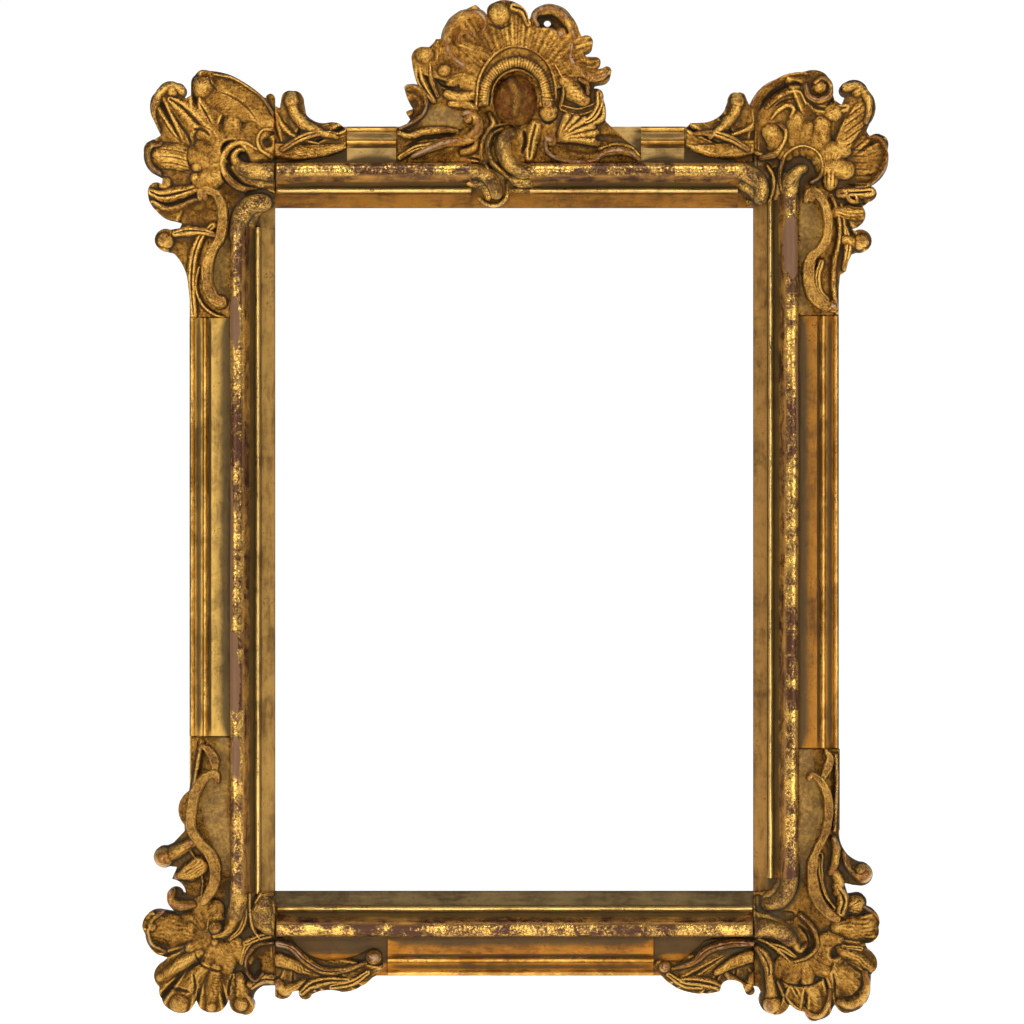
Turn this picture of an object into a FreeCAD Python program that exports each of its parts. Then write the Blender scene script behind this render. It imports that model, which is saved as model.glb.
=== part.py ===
import FreeCAD, Part
import math
import os
import re
import Sketcher
from FreeCAD import Placement, Rotation, Vector

# Carved and gilded picture frame, seen from the front with X to the right and Z up.
# The back lies in the plane Y = 0 and every height is counted from it towards the viewer (-Y).
# The origin is behind the middle of the opening.

# Driving sizes in millimetres
SIZES = {
    "sight_width": 455.0,
    "sight_height": 650.0,
    # moulding bands, from the opening outwards
    "sight_flat_width": 12.5,
    "sight_quirk_width": 1.2,
    "sight_bead_width": 5.0,
    "roll_width": 23.0,
    "stile_frieze_width": 18.8,
    "top_frieze_width": 14.8,
    "bottom_frieze_width": 17.8,
    "ridge_quirk_width": 2.0,
    "ridge_width": 6.0,
    "hollow_width": 7.0,
    "outer_bead_width": 5.5,
    # moulding heights above the back
    "sight_edge_height": 16.5,
    "sight_flat_height": 19.0,
    "moulding_height": 21.0,
    "frieze_height": 21.5,
    "ridge_quirk_height": 20.0,
    "roll_height": 38.0,
    "roll_radius": 8.3,
    "sight_bead_rise": 2.2,
    "ridge_rise": 3.0,
    "hollow_sink": 2.5,
    "outer_bead_rise": 2.6,
    # joints and rebate
    "ground_height": 18.0,
    "lap_depth": 10.0,
    "lap_reach": 68.0,
    "rebate_width": 8.0,
    "rebate_depth": 10.0,
    "peg_radius": 4.0,
    "peg_length": 15.0,
    "peg_clearance": 0.1,
    "peg_edge_distance": 22.0,
    "peg_recess": 0.5,
    "overrun": 10.0,
    # carving
    "carving_pitch": 0.95,
    "carving_back": 7.0,
    "shell_height": 27.0,
    "flute_depth": 5.0,
    "flute_half_width": 7.0,
    "flute_lift": 0.5,
    "scroll_height": 35.0,
    "knob_height": 34.0,
    "spray_height": 27.0,
    "crest_board_height": 26.0,
    "crest_arch_height": 37.0,
    "crest_cabochon_height": 42.0,
    "crest_band_height": 34.0,
    "gadroon_depth": 2.5,
    "gadroon_half_width": 4.0,
    # hangers
    "strap_width": 13.0,
    "strap_length": 52.0,
    "strap_thickness": 1.6,
    "hanger_drop": 120.0,
    "ring_bar_radius": 1.6,
    "ring_inner_width": 19.0,
    "ring_inner_length": 16.0,
    "ring_clearance": 0.08,
    "ring_lift": 0.3,
    "knuckle_length": 12.0,
    "screw_radius": 1.6,
    "screw_head_radius": 3.2,
    "screw_head_depth": 1.3,
    "screw_reach": 10.5,
    "screw_hole_spare": 1.0,
    "screw_clearance": 0.1,
    "strap_screw_spacing": 26.0,
    "strap_screw_inset": 8.0,
    # turn buttons
    "button_length": 38.0,
    "button_width": 12.0,
    "button_thickness": 2.4,
    "button_overlap": 7.0,
    "button_lift": 0.3,
    "button_distance": 270.0,
}

# Pixels of the photograph that the carving is laid out from: the opening's corners
TOP_LEFT_PX = (275.6, 207.3)
TOP_RIGHT_PX = (754.6, 207.3)
BOTTOM_LEFT_PX = (272.8, 891.8)
BOTTOM_RIGHT_PX = (753.4, 891.8)
CREST_PX = (514.8, 207.3)

# Lines where the mouldings stop and the flat ground of the carving begins
TOP_LEFT_STOP_PX = (348.0, 318.0)
TOP_RIGHT_STOP_PX = (685.0, 316.0)
BOTTOM_LEFT_STOP_PX = (386.0, 736.0)
BOTTOM_RIGHT_STOP_PX = (653.0, 748.0)
TOP_ROLL_STOP_PX = 193.0
BOTTOM_ROLL_STOP_PX = 925.0
CREST_LEFT_PX = 397.0
CREST_RIGHT_PX = 642.0
CURL_LEFT_PX = 472.0
CURL_RIGHT_PX = 531.0
CURL_LOW_PX = 201.0

doc = FreeCAD.newDocument("gilded_frame")
sheet = doc.addObject("Spreadsheet::Sheet", "Sizes")
for row, (alias, value) in enumerate(SIZES.items(), start=1):
    sheet.set(f"A{row}", alias)
    sheet.set(f"B{row}", str(value))
    sheet.setAlias(f"B{row}", alias)
doc.recompute()
parts = []


def size(alias):
    return float(sheet.get(alias))


def bound(text):
    """The expression with each alias taken from the sheet."""
    return re.sub(r"[a-z_]+", lambda word: f"Sizes.{word[0]}", text)


def number(text):
    """The value of an expression at the sheet's present sizes."""
    return float(sheet.evalExpression(bound(text)))


def place_part(part, x="0", y="0", z="0", rotation=Rotation()):
    """Puts a sub-part in its place, bound to the sheet."""
    part.Placement = Placement(Vector(number(x), number(y), number(z)), rotation)
    for axis, text in (("x", x), ("y", y), ("z", z)):
        if text != "0":
            part.setExpression(f"Placement.Base.{axis}", bound(text))


def keep(part, name):
    part.Label = name
    parts.append(part)


# Sketches

def new_sketch(body, name, role, offset="0"):
    sketch = body.newObject("Sketcher::SketchObject", name)
    plane = next(f for f in body.Origin.OriginFeatures if f.Role == role)
    sketch.AttachmentSupport = [(plane, "")]
    sketch.MapMode = "FlatFace"
    if offset != "0":
        sketch.AttachmentOffset = Placement(Vector(0, 0, number(offset)), Rotation())
        sketch.setExpression("AttachmentOffset.Base.z", bound(offset))
    return sketch


def fix_point(sketch, geometry, end, across, along):
    """Ties one point of the sketch to two expressions, counted from its origin."""
    for kind, text in (("DistanceX", across), ("DistanceY", along)):
        constraint = Sketcher.Constraint(kind, -1, 1, geometry, end, number(text))
        index = sketch.addConstraint(constraint)
        if text != "0":
            sketch.setExpression(f"Constraints[{index}]", bound(text))


def join(sketch, first, first_end, second, second_end):
    sketch.addConstraint(Sketcher.Constraint("Coincident", first, first_end, second, second_end))


def rectangle(sketch, left, right, low, high):
    corners = ((left, low), (right, low), (right, high), (left, high))
    points = [Vector(number(across), number(along), 0) for across, along in corners]
    lines = []
    for start, end in zip(points, points[1:] + points[:1]):
        lines.append(sketch.addGeometry(Part.LineSegment(start, end), False))
    for line, following in zip(lines, lines[1:] + lines[:1]):
        join(sketch, line, 2, following, 1)
    for line, (across, along) in zip(lines, corners):
        fix_point(sketch, line, 1, across, along)


def circle(sketch, across, along, radius):
    centre = Vector(number(across), number(along), 0)
    index = sketch.addGeometry(Part.Circle(centre, Vector(0, 0, 1), number(radius)), False)
    fix_point(sketch, index, 3, across, along)
    bend = sketch.addConstraint(Sketcher.Constraint("Radius", index, number(radius)))
    sketch.setExpression(f"Constraints[{bend}]", bound(radius))


def profile(sketch, rows):
    """Closed outline: each row is a shape, its end point and, on an arc, its centre's height.

    A bump is an arc that stands out from its chord, a hollow one that is sunk below it."""
    ends = [(row[1], row[2]) for row in rows]
    starts = ends[-1:] + ends[:-1]
    drawn = []
    for start, row in zip(starts, rows):
        a = Vector(number(start[0]), number(start[1]), 0)
        b = Vector(number(row[1]), number(row[2]), 0)
        if row[0] == "line":
            drawn.append((sketch.addGeometry(Part.LineSegment(a, b), False), 1, 2))
            continue
        height = number(row[3])
        middle = (b.x ** 2 - a.x ** 2 + (b.y - height) ** 2 - (a.y - height) ** 2) / (2 * (b.x - a.x))
        centre = Vector(middle, height, 0)
        first, last = (a, b) if (row[0] == "hollow") == (a.x < b.x) else (b, a)
        turns = [math.atan2(end.y - height, end.x - middle) for end in (first, last)]
        bend = Part.Circle(centre, Vector(0, 0, 1), (a - centre).Length)
        arc = sketch.addGeometry(Part.ArcOfCircle(bend, turns[0], turns[1]), False)
        forward = first is a
        drawn.append((arc, 1 if forward else 2, 2 if forward else 1))
        tie = sketch.addConstraint(Sketcher.Constraint("DistanceY", -1, 1, arc, 3, height))
        sketch.setExpression(f"Constraints[{tie}]", bound(row[3]))
    for (geometry, _, finish), (following, begin, _) in zip(drawn, drawn[1:] + drawn[:1]):
        join(sketch, geometry, finish, following, begin)
    for (geometry, begin, _), (across, along) in zip(drawn, starts):
        fix_point(sketch, geometry, begin, across, along)


def pad(body, sketch, length, name, backwards=False):
    feature = body.newObject("PartDesign::Pad", name)
    feature.Profile = sketch
    feature.Length = number(length)
    feature.setExpression("Length", bound(length))
    feature.Reversed = backwards
    doc.recompute()
    return feature


def pocket(body, sketch, depth, name):
    """Cuts towards the front from the sketch's plane: to a depth, or right through when depth is None."""
    before = body.Shape.Volume
    feature = body.newObject("PartDesign::Pocket", name)
    feature.Profile = sketch
    if depth is None:
        feature.Type = "ThroughAll"
    else:
        feature.Length = number(depth)
        feature.setExpression("Length", bound(depth))
    doc.recompute()
    if body.Shape.Volume >= before:
        raise RuntimeError(f"{name} cut nothing")
    return feature


# Moulded members: in their own frame X runs outwards from the opening, Y to the front, Z along

BEAD_IN = "sight_flat_width + sight_quirk_width"
ROLL_IN = f"{BEAD_IN} + sight_bead_width"
ROLL_OUT = f"{ROLL_IN} + roll_width"
ROLL_AXIS = "roll_height - roll_radius"
OUTER_BANDS = "ridge_quirk_width + ridge_width + hollow_width + outer_bead_width"


def member_width(frieze):
    return f"{ROLL_OUT} + {frieze} + {OUTER_BANDS}"


def arc_centre(chord, rise, side):
    """Height of an arc's centre, from its chord's length and how far it rises or sinks."""
    swing = f"({chord} ^ 2 / 4 + {rise} ^ 2) / (2 * {rise})"
    if side == "bump":
        return f"moulding_height + {rise} - {swing}"
    return f"moulding_height - {rise} + {swing}"


def moulding(frieze):
    frieze_out = f"{ROLL_OUT} + {frieze}"
    ridge_in = f"{frieze_out} + ridge_quirk_width"
    ridge_out = f"{ridge_in} + ridge_width"
    bead_low = f"{ridge_out} + hollow_width"
    outer = member_width(frieze)
    return (
        ("line", "0", "0"),
        ("line", "0", "sight_edge_height"),
        ("line", "sight_flat_width", "sight_flat_height"),
        ("line", BEAD_IN, "sight_flat_height"),
        ("line", BEAD_IN, "moulding_height"),
        ("bump", ROLL_IN, "moulding_height", arc_centre("sight_bead_width", "sight_bead_rise", "bump")),
        ("hollow", f"{ROLL_OUT} - 2 * roll_radius", ROLL_AXIS, ROLL_AXIS),
        ("bump", ROLL_OUT, ROLL_AXIS, ROLL_AXIS),
        ("line", ROLL_OUT, "frieze_height"),
        ("line", frieze_out, "frieze_height"),
        ("line", frieze_out, "ridge_quirk_height"),
        ("line", ridge_in, "ridge_quirk_height"),
        ("line", ridge_in, "moulding_height"),
        ("bump", ridge_out, "moulding_height", arc_centre("ridge_width", "ridge_rise", "bump")),
        ("hollow", bead_low, "moulding_height", arc_centre("hollow_width", "hollow_sink", "hollow")),
        ("bump", outer, "moulding_height", arc_centre("outer_bead_width", "outer_bead_rise", "bump")),
        ("line", outer, "0"),
    )


def ground_pocket(body, name, left, right, low, high):
    """Cuts the moulding down to the flat ground on which carving is glued."""
    sketch = new_sketch(body, f"{name}_outline", "XZ_Plane", "-ground_height")
    rectangle(sketch, left, right, low, high)
    pocket(body, sketch, None, name)


def back_pocket(body, name, left, right, low, high, depth):
    sketch = new_sketch(body, f"{name}_outline", "XZ_Plane")
    rectangle(sketch, left, right, low, high)
    pocket(body, sketch, depth, name)


def back_holes(body, name, places, radius, depth):
    sketch = new_sketch(body, f"{name}_outline", "XZ_Plane")
    for across, along in places:
        circle(sketch, across, along, radius)
    pocket(body, sketch, depth, name)


STILE_WIDTH = member_width("stile_frieze_width")
TOP_WIDTH = member_width("top_frieze_width")
BOTTOM_WIDTH = member_width("bottom_frieze_width")
STILE_LENGTH = f"sight_height + {TOP_WIDTH} + {BOTTOM_WIDTH}"
TENON = "lap_reach"
RAIL_LENGTH = f"sight_width + 2 * {TENON}"
PEG_HOLE = "peg_radius + peg_clearance"
PEG_HOLE_DEPTH = "peg_length + peg_recess"
SCREW_HOLE = "screw_radius + screw_clearance"
STILE_BACK_MIDDLE = f"(rebate_width + {STILE_WIDTH}) / 2"


def pixels(count):
    """A distance counted in the photograph's pixels, as an expression."""
    return f"{count:g} * carving_pitch"


def stile(name, foot, head, foot_px, head_px, screws):
    """A full-height stile. foot and head are the widths of the rails at its two ends.

    foot_px and head_px give, from each corner of the opening, how far its side ground reaches
    and how far back its roll stops."""
    body = doc.addObject("PartDesign::Body", f"{name}_body")
    outline = new_sketch(body, f"{name}_profile", "XY_Plane")
    profile(outline, moulding("stile_frieze_width"))
    pad(body, outline, STILE_LENGTH, f"{name}_length")
    edge = f"{STILE_WIDTH} + overrun"
    foot_roll = f"{foot} - {pixels(foot_px[1])}"
    head_roll = f"{STILE_LENGTH} - ({head}) + {pixels(head_px[1])}"
    foot_side = f"{foot} + {pixels(foot_px[0])}"
    head_side = f"{STILE_LENGTH} - ({head}) - {pixels(head_px[0])}"
    ground_pocket(body, f"{name}_foot_ground", "0", edge, "0", foot_roll)
    ground_pocket(body, f"{name}_head_ground", "0", edge, head_roll, STILE_LENGTH)
    ground_pocket(body, f"{name}_foot_side_ground", ROLL_OUT, edge, "0", foot_side)
    ground_pocket(body, f"{name}_head_side_ground", ROLL_OUT, edge, head_side, STILE_LENGTH)
    back_pocket(body, f"{name}_foot_lap", "0", "lap_reach", "0", foot, "lap_depth")
    back_pocket(body, f"{name}_head_lap", "0", "lap_reach", f"{STILE_LENGTH} - ({head})", STILE_LENGTH,
                "lap_depth")
    back_pocket(body, f"{name}_rebate", "0", "rebate_width", f"{foot} - rebate_width",
                f"{STILE_LENGTH} - ({head}) + rebate_width", "rebate_depth")
    pegs = (("peg_edge_distance", f"{foot} - peg_edge_distance"),
            ("lap_reach - peg_edge_distance", "peg_edge_distance"),
            ("peg_edge_distance", f"{STILE_LENGTH} - ({head}) + peg_edge_distance"),
            ("lap_reach - peg_edge_distance", f"{STILE_LENGTH} - peg_edge_distance"))
    back_holes(body, f"{name}_peg_holes", pegs, PEG_HOLE, PEG_HOLE_DEPTH)
    back_holes(body, f"{name}_screw_holes", screws, SCREW_HOLE, "screw_reach + screw_hole_spare")
    keep(body, name)
    return body


def rail(name, frieze, grounds):
    """A rail between the stiles, with a tongue at each end that lies in the stile's lap.

    grounds are stretches without moulding: where they start above the opening, and their ends
    along the rail, counted from its middle."""
    width = member_width(frieze)
    middle = f"({RAIL_LENGTH}) / 2"
    body = doc.addObject("PartDesign::Body", f"{name}_body")
    outline = new_sketch(body, f"{name}_profile", "XY_Plane", "lap_reach")
    profile(outline, moulding(frieze))
    pad(body, outline, "sight_width", f"{name}_length")
    tongue = new_sketch(body, f"{name}_tongue_outline", "XZ_Plane")
    rectangle(tongue, "0", width, "0", RAIL_LENGTH)
    pad(body, tongue, "lap_depth", f"{name}_tongues", backwards=True)
    for index, (inner, low, high) in enumerate(grounds):
        ground_pocket(body, f"{name}_ground_{index}", inner, f"{width} + overrun",
                      f"{middle} + {low}", f"{middle} + {high}")
    back_pocket(body, f"{name}_rebate", "0", "rebate_width", "lap_reach - rebate_width",
                f"{RAIL_LENGTH} - lap_reach + rebate_width", "rebate_depth")
    pegs = (("peg_edge_distance", "lap_reach - peg_edge_distance"),
            (f"{width} - peg_edge_distance", "peg_edge_distance"),
            ("peg_edge_distance", f"{RAIL_LENGTH} - lap_reach + peg_edge_distance"),
            (f"{width} - peg_edge_distance", f"{RAIL_LENGTH} - peg_edge_distance"))
    back_holes(body, f"{name}_peg_holes", pegs, PEG_HOLE, PEG_HOLE_DEPTH)
    keep(body, name)
    return body


# Hardware places on a stile: out from the opening, and up from the opening's middle

HANGER_HEIGHT = "sight_height / 2 - hanger_drop"
STRAP_SCREWS = ("strap_screw_inset", "strap_screw_inset + strap_screw_spacing")
BUTTON_REACH = "button_length - button_width / 2"
BUTTON_OUT = f"rebate_width - button_overlap + {BUTTON_REACH}"


def stile_screws(foot, up):
    """Screw holes in a stile's frame: up is + where that frame climbs and - where it hangs."""
    down = "-" if up == "+" else "+"
    centre = f"{foot} + sight_height / 2"
    hangers = [(STILE_BACK_MIDDLE, f"{centre} {up} ({HANGER_HEIGHT} - ({drop}))") for drop in STRAP_SCREWS]
    buttons = [(BUTTON_OUT, f"{centre} {sign} button_distance") for sign in (up, down)]
    return hangers + buttons


left_stile = stile("left_stile", BOTTOM_WIDTH, TOP_WIDTH,
                   (BOTTOM_LEFT_PX[1] - BOTTOM_LEFT_STOP_PX[1], BOTTOM_ROLL_STOP_PX - BOTTOM_LEFT_PX[1]),
                   (TOP_LEFT_STOP_PX[1] - TOP_LEFT_PX[1], TOP_LEFT_PX[1] - TOP_ROLL_STOP_PX),
                   stile_screws(BOTTOM_WIDTH, "+"))
place_part(left_stile, "-sight_width / 2", "0", f"-sight_height / 2 - ({BOTTOM_WIDTH})",
           Rotation(Vector(0, 0, 1), 180))

right_stile = stile("right_stile", TOP_WIDTH, BOTTOM_WIDTH,
                    (TOP_RIGHT_STOP_PX[1] - TOP_RIGHT_PX[1], TOP_RIGHT_PX[1] - TOP_ROLL_STOP_PX),
                    (BOTTOM_RIGHT_PX[1] - BOTTOM_RIGHT_STOP_PX[1],
                     BOTTOM_ROLL_STOP_PX - BOTTOM_RIGHT_PX[1]),
                    stile_screws(TOP_WIDTH, "-"))
place_part(right_stile, "sight_width / 2", "0", f"sight_height / 2 + {TOP_WIDTH}",
           Rotation(Vector(1, 0, 0), 180))

# The rails' grounds: at each corner's spray, under the crest and where the top rolls curl
HALF_RAIL = "sight_width / 2"
top_grounds = (
    (ROLL_OUT, f"(0 - {HALF_RAIL})", f"({pixels(TOP_LEFT_STOP_PX[0] - TOP_LEFT_PX[0])} - {HALF_RAIL})"),
    (ROLL_OUT, f"({HALF_RAIL} - {pixels(TOP_RIGHT_PX[0] - TOP_RIGHT_STOP_PX[0])})", HALF_RAIL),
    (ROLL_OUT, f"({pixels(CREST_LEFT_PX - CREST_PX[0])})", f"({pixels(CREST_RIGHT_PX - CREST_PX[0])})"),
    (pixels(CREST_PX[1] - CURL_LOW_PX), f"({pixels(CURL_LEFT_PX - CREST_PX[0])})",
     f"({pixels(CURL_RIGHT_PX - CREST_PX[0])})"),
)
top_rail = rail("top_rail", "top_frieze_width", top_grounds)
place_part(top_rail, f"-({RAIL_LENGTH}) / 2", "0", "sight_height / 2",
           Rotation(Vector(0, 0, 1), Vector(0, -1, 0), Vector(1, 0, 0), "XYZ"))
bottom_grounds = (
    (ROLL_OUT, f"(0 - {HALF_RAIL})",
     f"({pixels(BOTTOM_RIGHT_PX[0] - BOTTOM_RIGHT_STOP_PX[0])} - {HALF_RAIL})"),
    (ROLL_OUT, f"({HALF_RAIL} - {pixels(BOTTOM_LEFT_STOP_PX[0] - BOTTOM_LEFT_PX[0])})", HALF_RAIL),
)
bottom_rail = rail("bottom_rail", "bottom_frieze_width", bottom_grounds)
place_part(bottom_rail, f"({RAIL_LENGTH}) / 2", "0", "-sight_height / 2",
           Rotation(Vector(0, 0, -1), Vector(0, -1, 0), Vector(-1, 0, 0), "XYZ"))
members = Part.Compound([left_stile.Shape, right_stile.Shape, top_rail.Shape, bottom_rail.Shape])


# Corner pegs: whittled to eight sides and driven in from the back

def corner_pegs():
    pegs = []
    for side in (-1, 1):
        for rail_width, above in ((TOP_WIDTH, 1), (BOTTOM_WIDTH, -1)):
            edge = size("peg_edge_distance")
            places = ((edge, edge), (size("lap_reach") - edge, number(rail_width) - edge))
            for out, up in places:
                x = side * (size("sight_width") / 2 + out)
                z = above * (size("sight_height") / 2 + up)
                corners = []
                for turn in range(9):
                    angle = math.radians(45 * turn)
                    step = Vector(math.cos(angle), 0, math.sin(angle)) * size("peg_radius")
                    corners.append(Vector(x, -size("peg_recess"), z) + step)
                face = Part.Face(Part.makePolygon(corners))
                pegs.append(face.extrude(Vector(0, -size("peg_length"), 0)))
    return Part.Compound(pegs)


# Carving: outlines are laid out in pixels from the nearest corner of the opening

KNOB_SIDES = 14
KNOB_BEVEL_SHARE = 0.45
BAND_CREST_SHARE = 0.45
FLUTE_SECTION_SHARES = ((-1, -1), (-1, 0), (-0.5, 0.85), (0.5, 0.85), (1, 0), (1, -1))


def solid_of(polygons):
    """A solid with flat faces, from the corners of each of them."""
    faces = [Part.Face(Part.makePolygon(corners + corners[:1])) for corners in polygons]
    solid = Part.makeSolid(Part.makeShell(faces))
    if solid.Volume < 0:
        solid.reverse()
    return solid


def spread(point, rim):
    """Triangles from one point to each side of a closed rim."""
    return [[point, first, second] for first, second in zip(rim, rim[1:] + rim[:1])]


def skin(sections):
    """Triangles along a row of sections with equal numbers of corners, and its two ends."""
    polygons = [sections[0], sections[-1]]
    for near, far in zip(sections, sections[1:]):
        for index in range(len(near)):
            following = (index + 1) % len(near)
            polygons.append([near[index], near[following], far[following]])
            polygons.append([near[index], far[following], far[index]])
    return polygons


class Carver:
    """Turns pixel coordinates into places in the frame, round one anchor."""

    def __init__(self, anchor_px, side, above):
        self.anchor_px = anchor_px
        self.pitch = size("carving_pitch")
        self.origin = Vector(side * size("sight_width") / 2, 0, above * size("sight_height") / 2)

    def spot(self, x_px, y_px, height):
        across = (x_px - self.anchor_px[0]) * self.pitch
        up = (self.anchor_px[1] - y_px) * self.pitch
        return self.origin + Vector(across, -height, up)

    def outline(self, rows, height):
        """Closed wire. A row of two numbers is a corner, a row of four an arc's middle and its end."""
        here = self.spot(*rows[0][-2:], height)
        edges = []
        for row in rows[1:] + rows[:1]:
            end = self.spot(*row[-2:], height)
            if len(row) == 2 or row is rows[0]:
                edges.append(Part.LineSegment(here, end).toShape())
            else:
                edges.append(Part.Arc(here, self.spot(row[0], row[1], height), end).toShape())
            here = end
        return Part.Wire(edges)

    def prism(self, rows, low, high):
        face = Part.Face(self.outline(rows, low))
        return face.extrude(Vector(0, low - high, 0))

    def block(self, rows, top):
        """A carved block: on the ground over the members, and deeper where it stands out past them."""
        ground = size("ground_height")
        raised = self.prism(rows, ground, top).cut(members)
        behind = self.prism(rows, size("carving_back"), ground).cut(board())
        return raised.fuse(behind).removeSplitter() if behind.Volume else raised

    def flute(self, start_px, end_px, top, depth, half_width):
        """A groove that widens and deepens from a point towards its end, as a gouge cuts it."""
        start = self.spot(*start_px, top + size("flute_lift"))
        end = self.spot(*end_px, top)
        across = (end - start).cross(Vector(0, 1, 0)).normalize() * half_width
        down = Vector(0, depth, 0)
        rim = [end + across * side + down * sunk for side, sunk in FLUTE_SECTION_SHARES]
        return solid_of(spread(start, rim) + [rim])

    def flutes(self, focus_px, tips_px, start_share, end_share, top):
        """Grooves that spread from a focus to the tips, run past them by the end share."""
        grooves = []
        for tip in tips_px:
            near = [f + (t - f) * start_share for f, t in zip(focus_px, tip)]
            past = [f + (t - f) * end_share for f, t in zip(focus_px, tip)]
            grooves.append(self.flute(near, past, top, size("flute_depth"), size("flute_half_width")))
        return grooves

    def knob(self, x_px, y_px, radius_px, low, high):
        """A boss whittled to flat sides, with a bevelled top."""
        radius = radius_px * self.pitch
        bevel = radius * KNOB_BEVEL_SHARE
        rings = []
        for reach, height in ((radius, low), (radius, high - bevel), (radius - bevel, high)):
            turns = [2 * math.pi * side / KNOB_SIDES for side in range(KNOB_SIDES)]
            rings.append([self.spot(x_px, y_px, height) + Vector(math.cos(turn), 0, math.sin(turn)) * reach
                          for turn in turns])
        return solid_of(skin(rings))

    def band(self, path_px, widths_px, low, high, count):
        """A scroll's band: a bevelled section carried along a smooth line, its width changing evenly."""
        curve = Part.BSplineCurve()
        curve.interpolate([self.spot(x, y, low) for x, y in path_px])
        sections = []
        for step in range(count):
            share = step / (count - 1)
            at = curve.FirstParameter + share * (curve.LastParameter - curve.FirstParameter)
            slot = share * (len(widths_px) - 1)
            index = min(int(slot), len(widths_px) - 2)
            mixed = widths_px[index] + (widths_px[index + 1] - widths_px[index]) * (slot - index)
            half = mixed * self.pitch / 2
            middle = curve.value(at)
            across = curve.tangent(at)[0].cross(Vector(0, 1, 0)).normalize()
            rise = Vector(0, low - high, 0)
            corners = [middle - across * half, middle + across * half,
                       middle + across * half * BAND_CREST_SHARE + rise,
                       middle - across * half * BAND_CREST_SHARE + rise]
            sections.append(corners)
        return solid_of(skin(sections))


def board():
    """The frame's own rectangle, right through, past which carving reaches further back."""
    width = size("sight_width") + 2 * number(STILE_WIDTH)
    top = size("sight_height") / 2 + number(TOP_WIDTH)
    low = -size("sight_height") / 2 - number(BOTTOM_WIDTH)
    depth = size("roll_height")
    return Part.makeBox(width, depth, top - low, Vector(-width / 2, -depth, low))


def add_carving(name, shape):
    part = doc.addObject("Part::Feature", f"{name}_carving")
    part.Shape = shape
    part.Placement = Placement()
    keep(part, name)


TOP_LEFT = Carver(TOP_LEFT_PX, -1, 1)
TOP_RIGHT = Carver(TOP_RIGHT_PX, 1, 1)
BOTTOM_LEFT = Carver(BOTTOM_LEFT_PX, -1, -1)
BOTTOM_RIGHT = Carver(BOTTOM_RIGHT_PX, 1, -1)
CREST = Carver(CREST_PX, 0, 1)

# Each corner: the shell's outline, flute focus and tips, and its knobs (x, y, radius).
# Raised bands and the stubs of the rolls that run out in the shell are lines with their widths.
TOP_LEFT_SHELL_PX = (
    (275.4, 193), (275.4, 97), (272, 93.5, 268, 100.5), (252, 87, 233, 76.2), (222, 72.8, 211, 71.5),
    (197, 74, 192.5, 84), (192.3, 96), (187.5, 98.8), (183.5, 97), (186.5, 88, 179, 83.8),
    (171, 81.8, 161, 88), (152, 102, 155, 120), (162, 135.5), (156, 139.5), (147.5, 143.5, 145, 152.5),
    (146.5, 164, 152, 172), (164, 178.3), (163.5, 185), (154, 183, 149.3, 189.5),
    (150.5, 201, 158, 211.4), (165, 217.5, 175, 220.5), (183, 223), (181, 228), (172, 230),
    (156, 240, 167, 251), (174.5, 253), (184, 266, 189, 283), (190.8, 300), (190.8, 317.5),
    (231.5, 317.5), (231.5, 193),
)
TOP_LEFT_FOCUS_PX = (199, 172)
TOP_LEFT_TIPS_PX = ((219, 78), (176, 92), (156, 122), (147, 155), (151, 192), (168, 216))
TOP_LEFT_KNOBS_PX = ((204, 87.5, 12), (166, 241, 9.5), (174, 91, 8))
TOP_LEFT_BANDS_PX = (
    (((268, 160), (250, 146), (236, 146), (226, 157), (226, 171), (236, 183), (248, 190)), (6, 8, 6)),
    (((267, 128), (262, 138), (264, 149), (271, 157)), (5, 7, 5)),
)
TOP_LEFT_STUBS_PX = ((((275.4, 175), (262, 175), (249, 172), (240, 165)), (21, 21, 17, 11)),)

TOP_RIGHT_SHELL_PX = (
    (754.8, 193), (754.8, 109), (750.5, 104.7), (761, 89, 776, 80.3), (789, 74.5, 803.4, 73),
    (824, 73.5, 833.3, 87), (833.5, 96), (835, 100.5), (842.6, 105.5), (846.3, 96.5),
    (840.5, 89, 846, 82.8), (860, 81.5, 868, 91), (876, 108, 870, 124), (867.1, 131), (870, 137),
    (882, 134.5, 887.3, 150.6), (886, 172, 870, 186.3), (877, 191, 871, 200.8), (863.2, 207),
    (865, 220, 851, 227.8), (855, 231), (872.3, 241, 858, 252), (852.6, 254), (849, 262), (846.8, 271),
    (841, 275), (839.5, 290), (839.5, 315.5), (798.5, 315.5), (798.5, 193),
)
TOP_RIGHT_FOCUS_PX = (829, 176)
TOP_RIGHT_TIPS_PX = ((808, 80), (852, 92), (870, 122), (884, 152), (874, 194), (860, 217))
TOP_RIGHT_KNOBS_PX = ((820, 88, 11.5), (862, 242, 9.5), (858, 92, 8))
TOP_RIGHT_BANDS_PX = (
    (((783, 184), (781, 169), (787, 156), (800, 151), (813, 154), (819, 163), (817, 174)), (6, 8, 6)),
    (((786, 127), (777, 128), (772, 138), (774, 150), (780, 156)), (5, 7, 5)),
)
TOP_RIGHT_STUBS_PX = (
    (((755, 175), (762, 177), (767, 184), (767, 192)), (21, 18, 14, 12)),
    (((788, 192.8), (790, 182), (796, 172), (804, 166)), (20, 18, 14, 10)),
)

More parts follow.
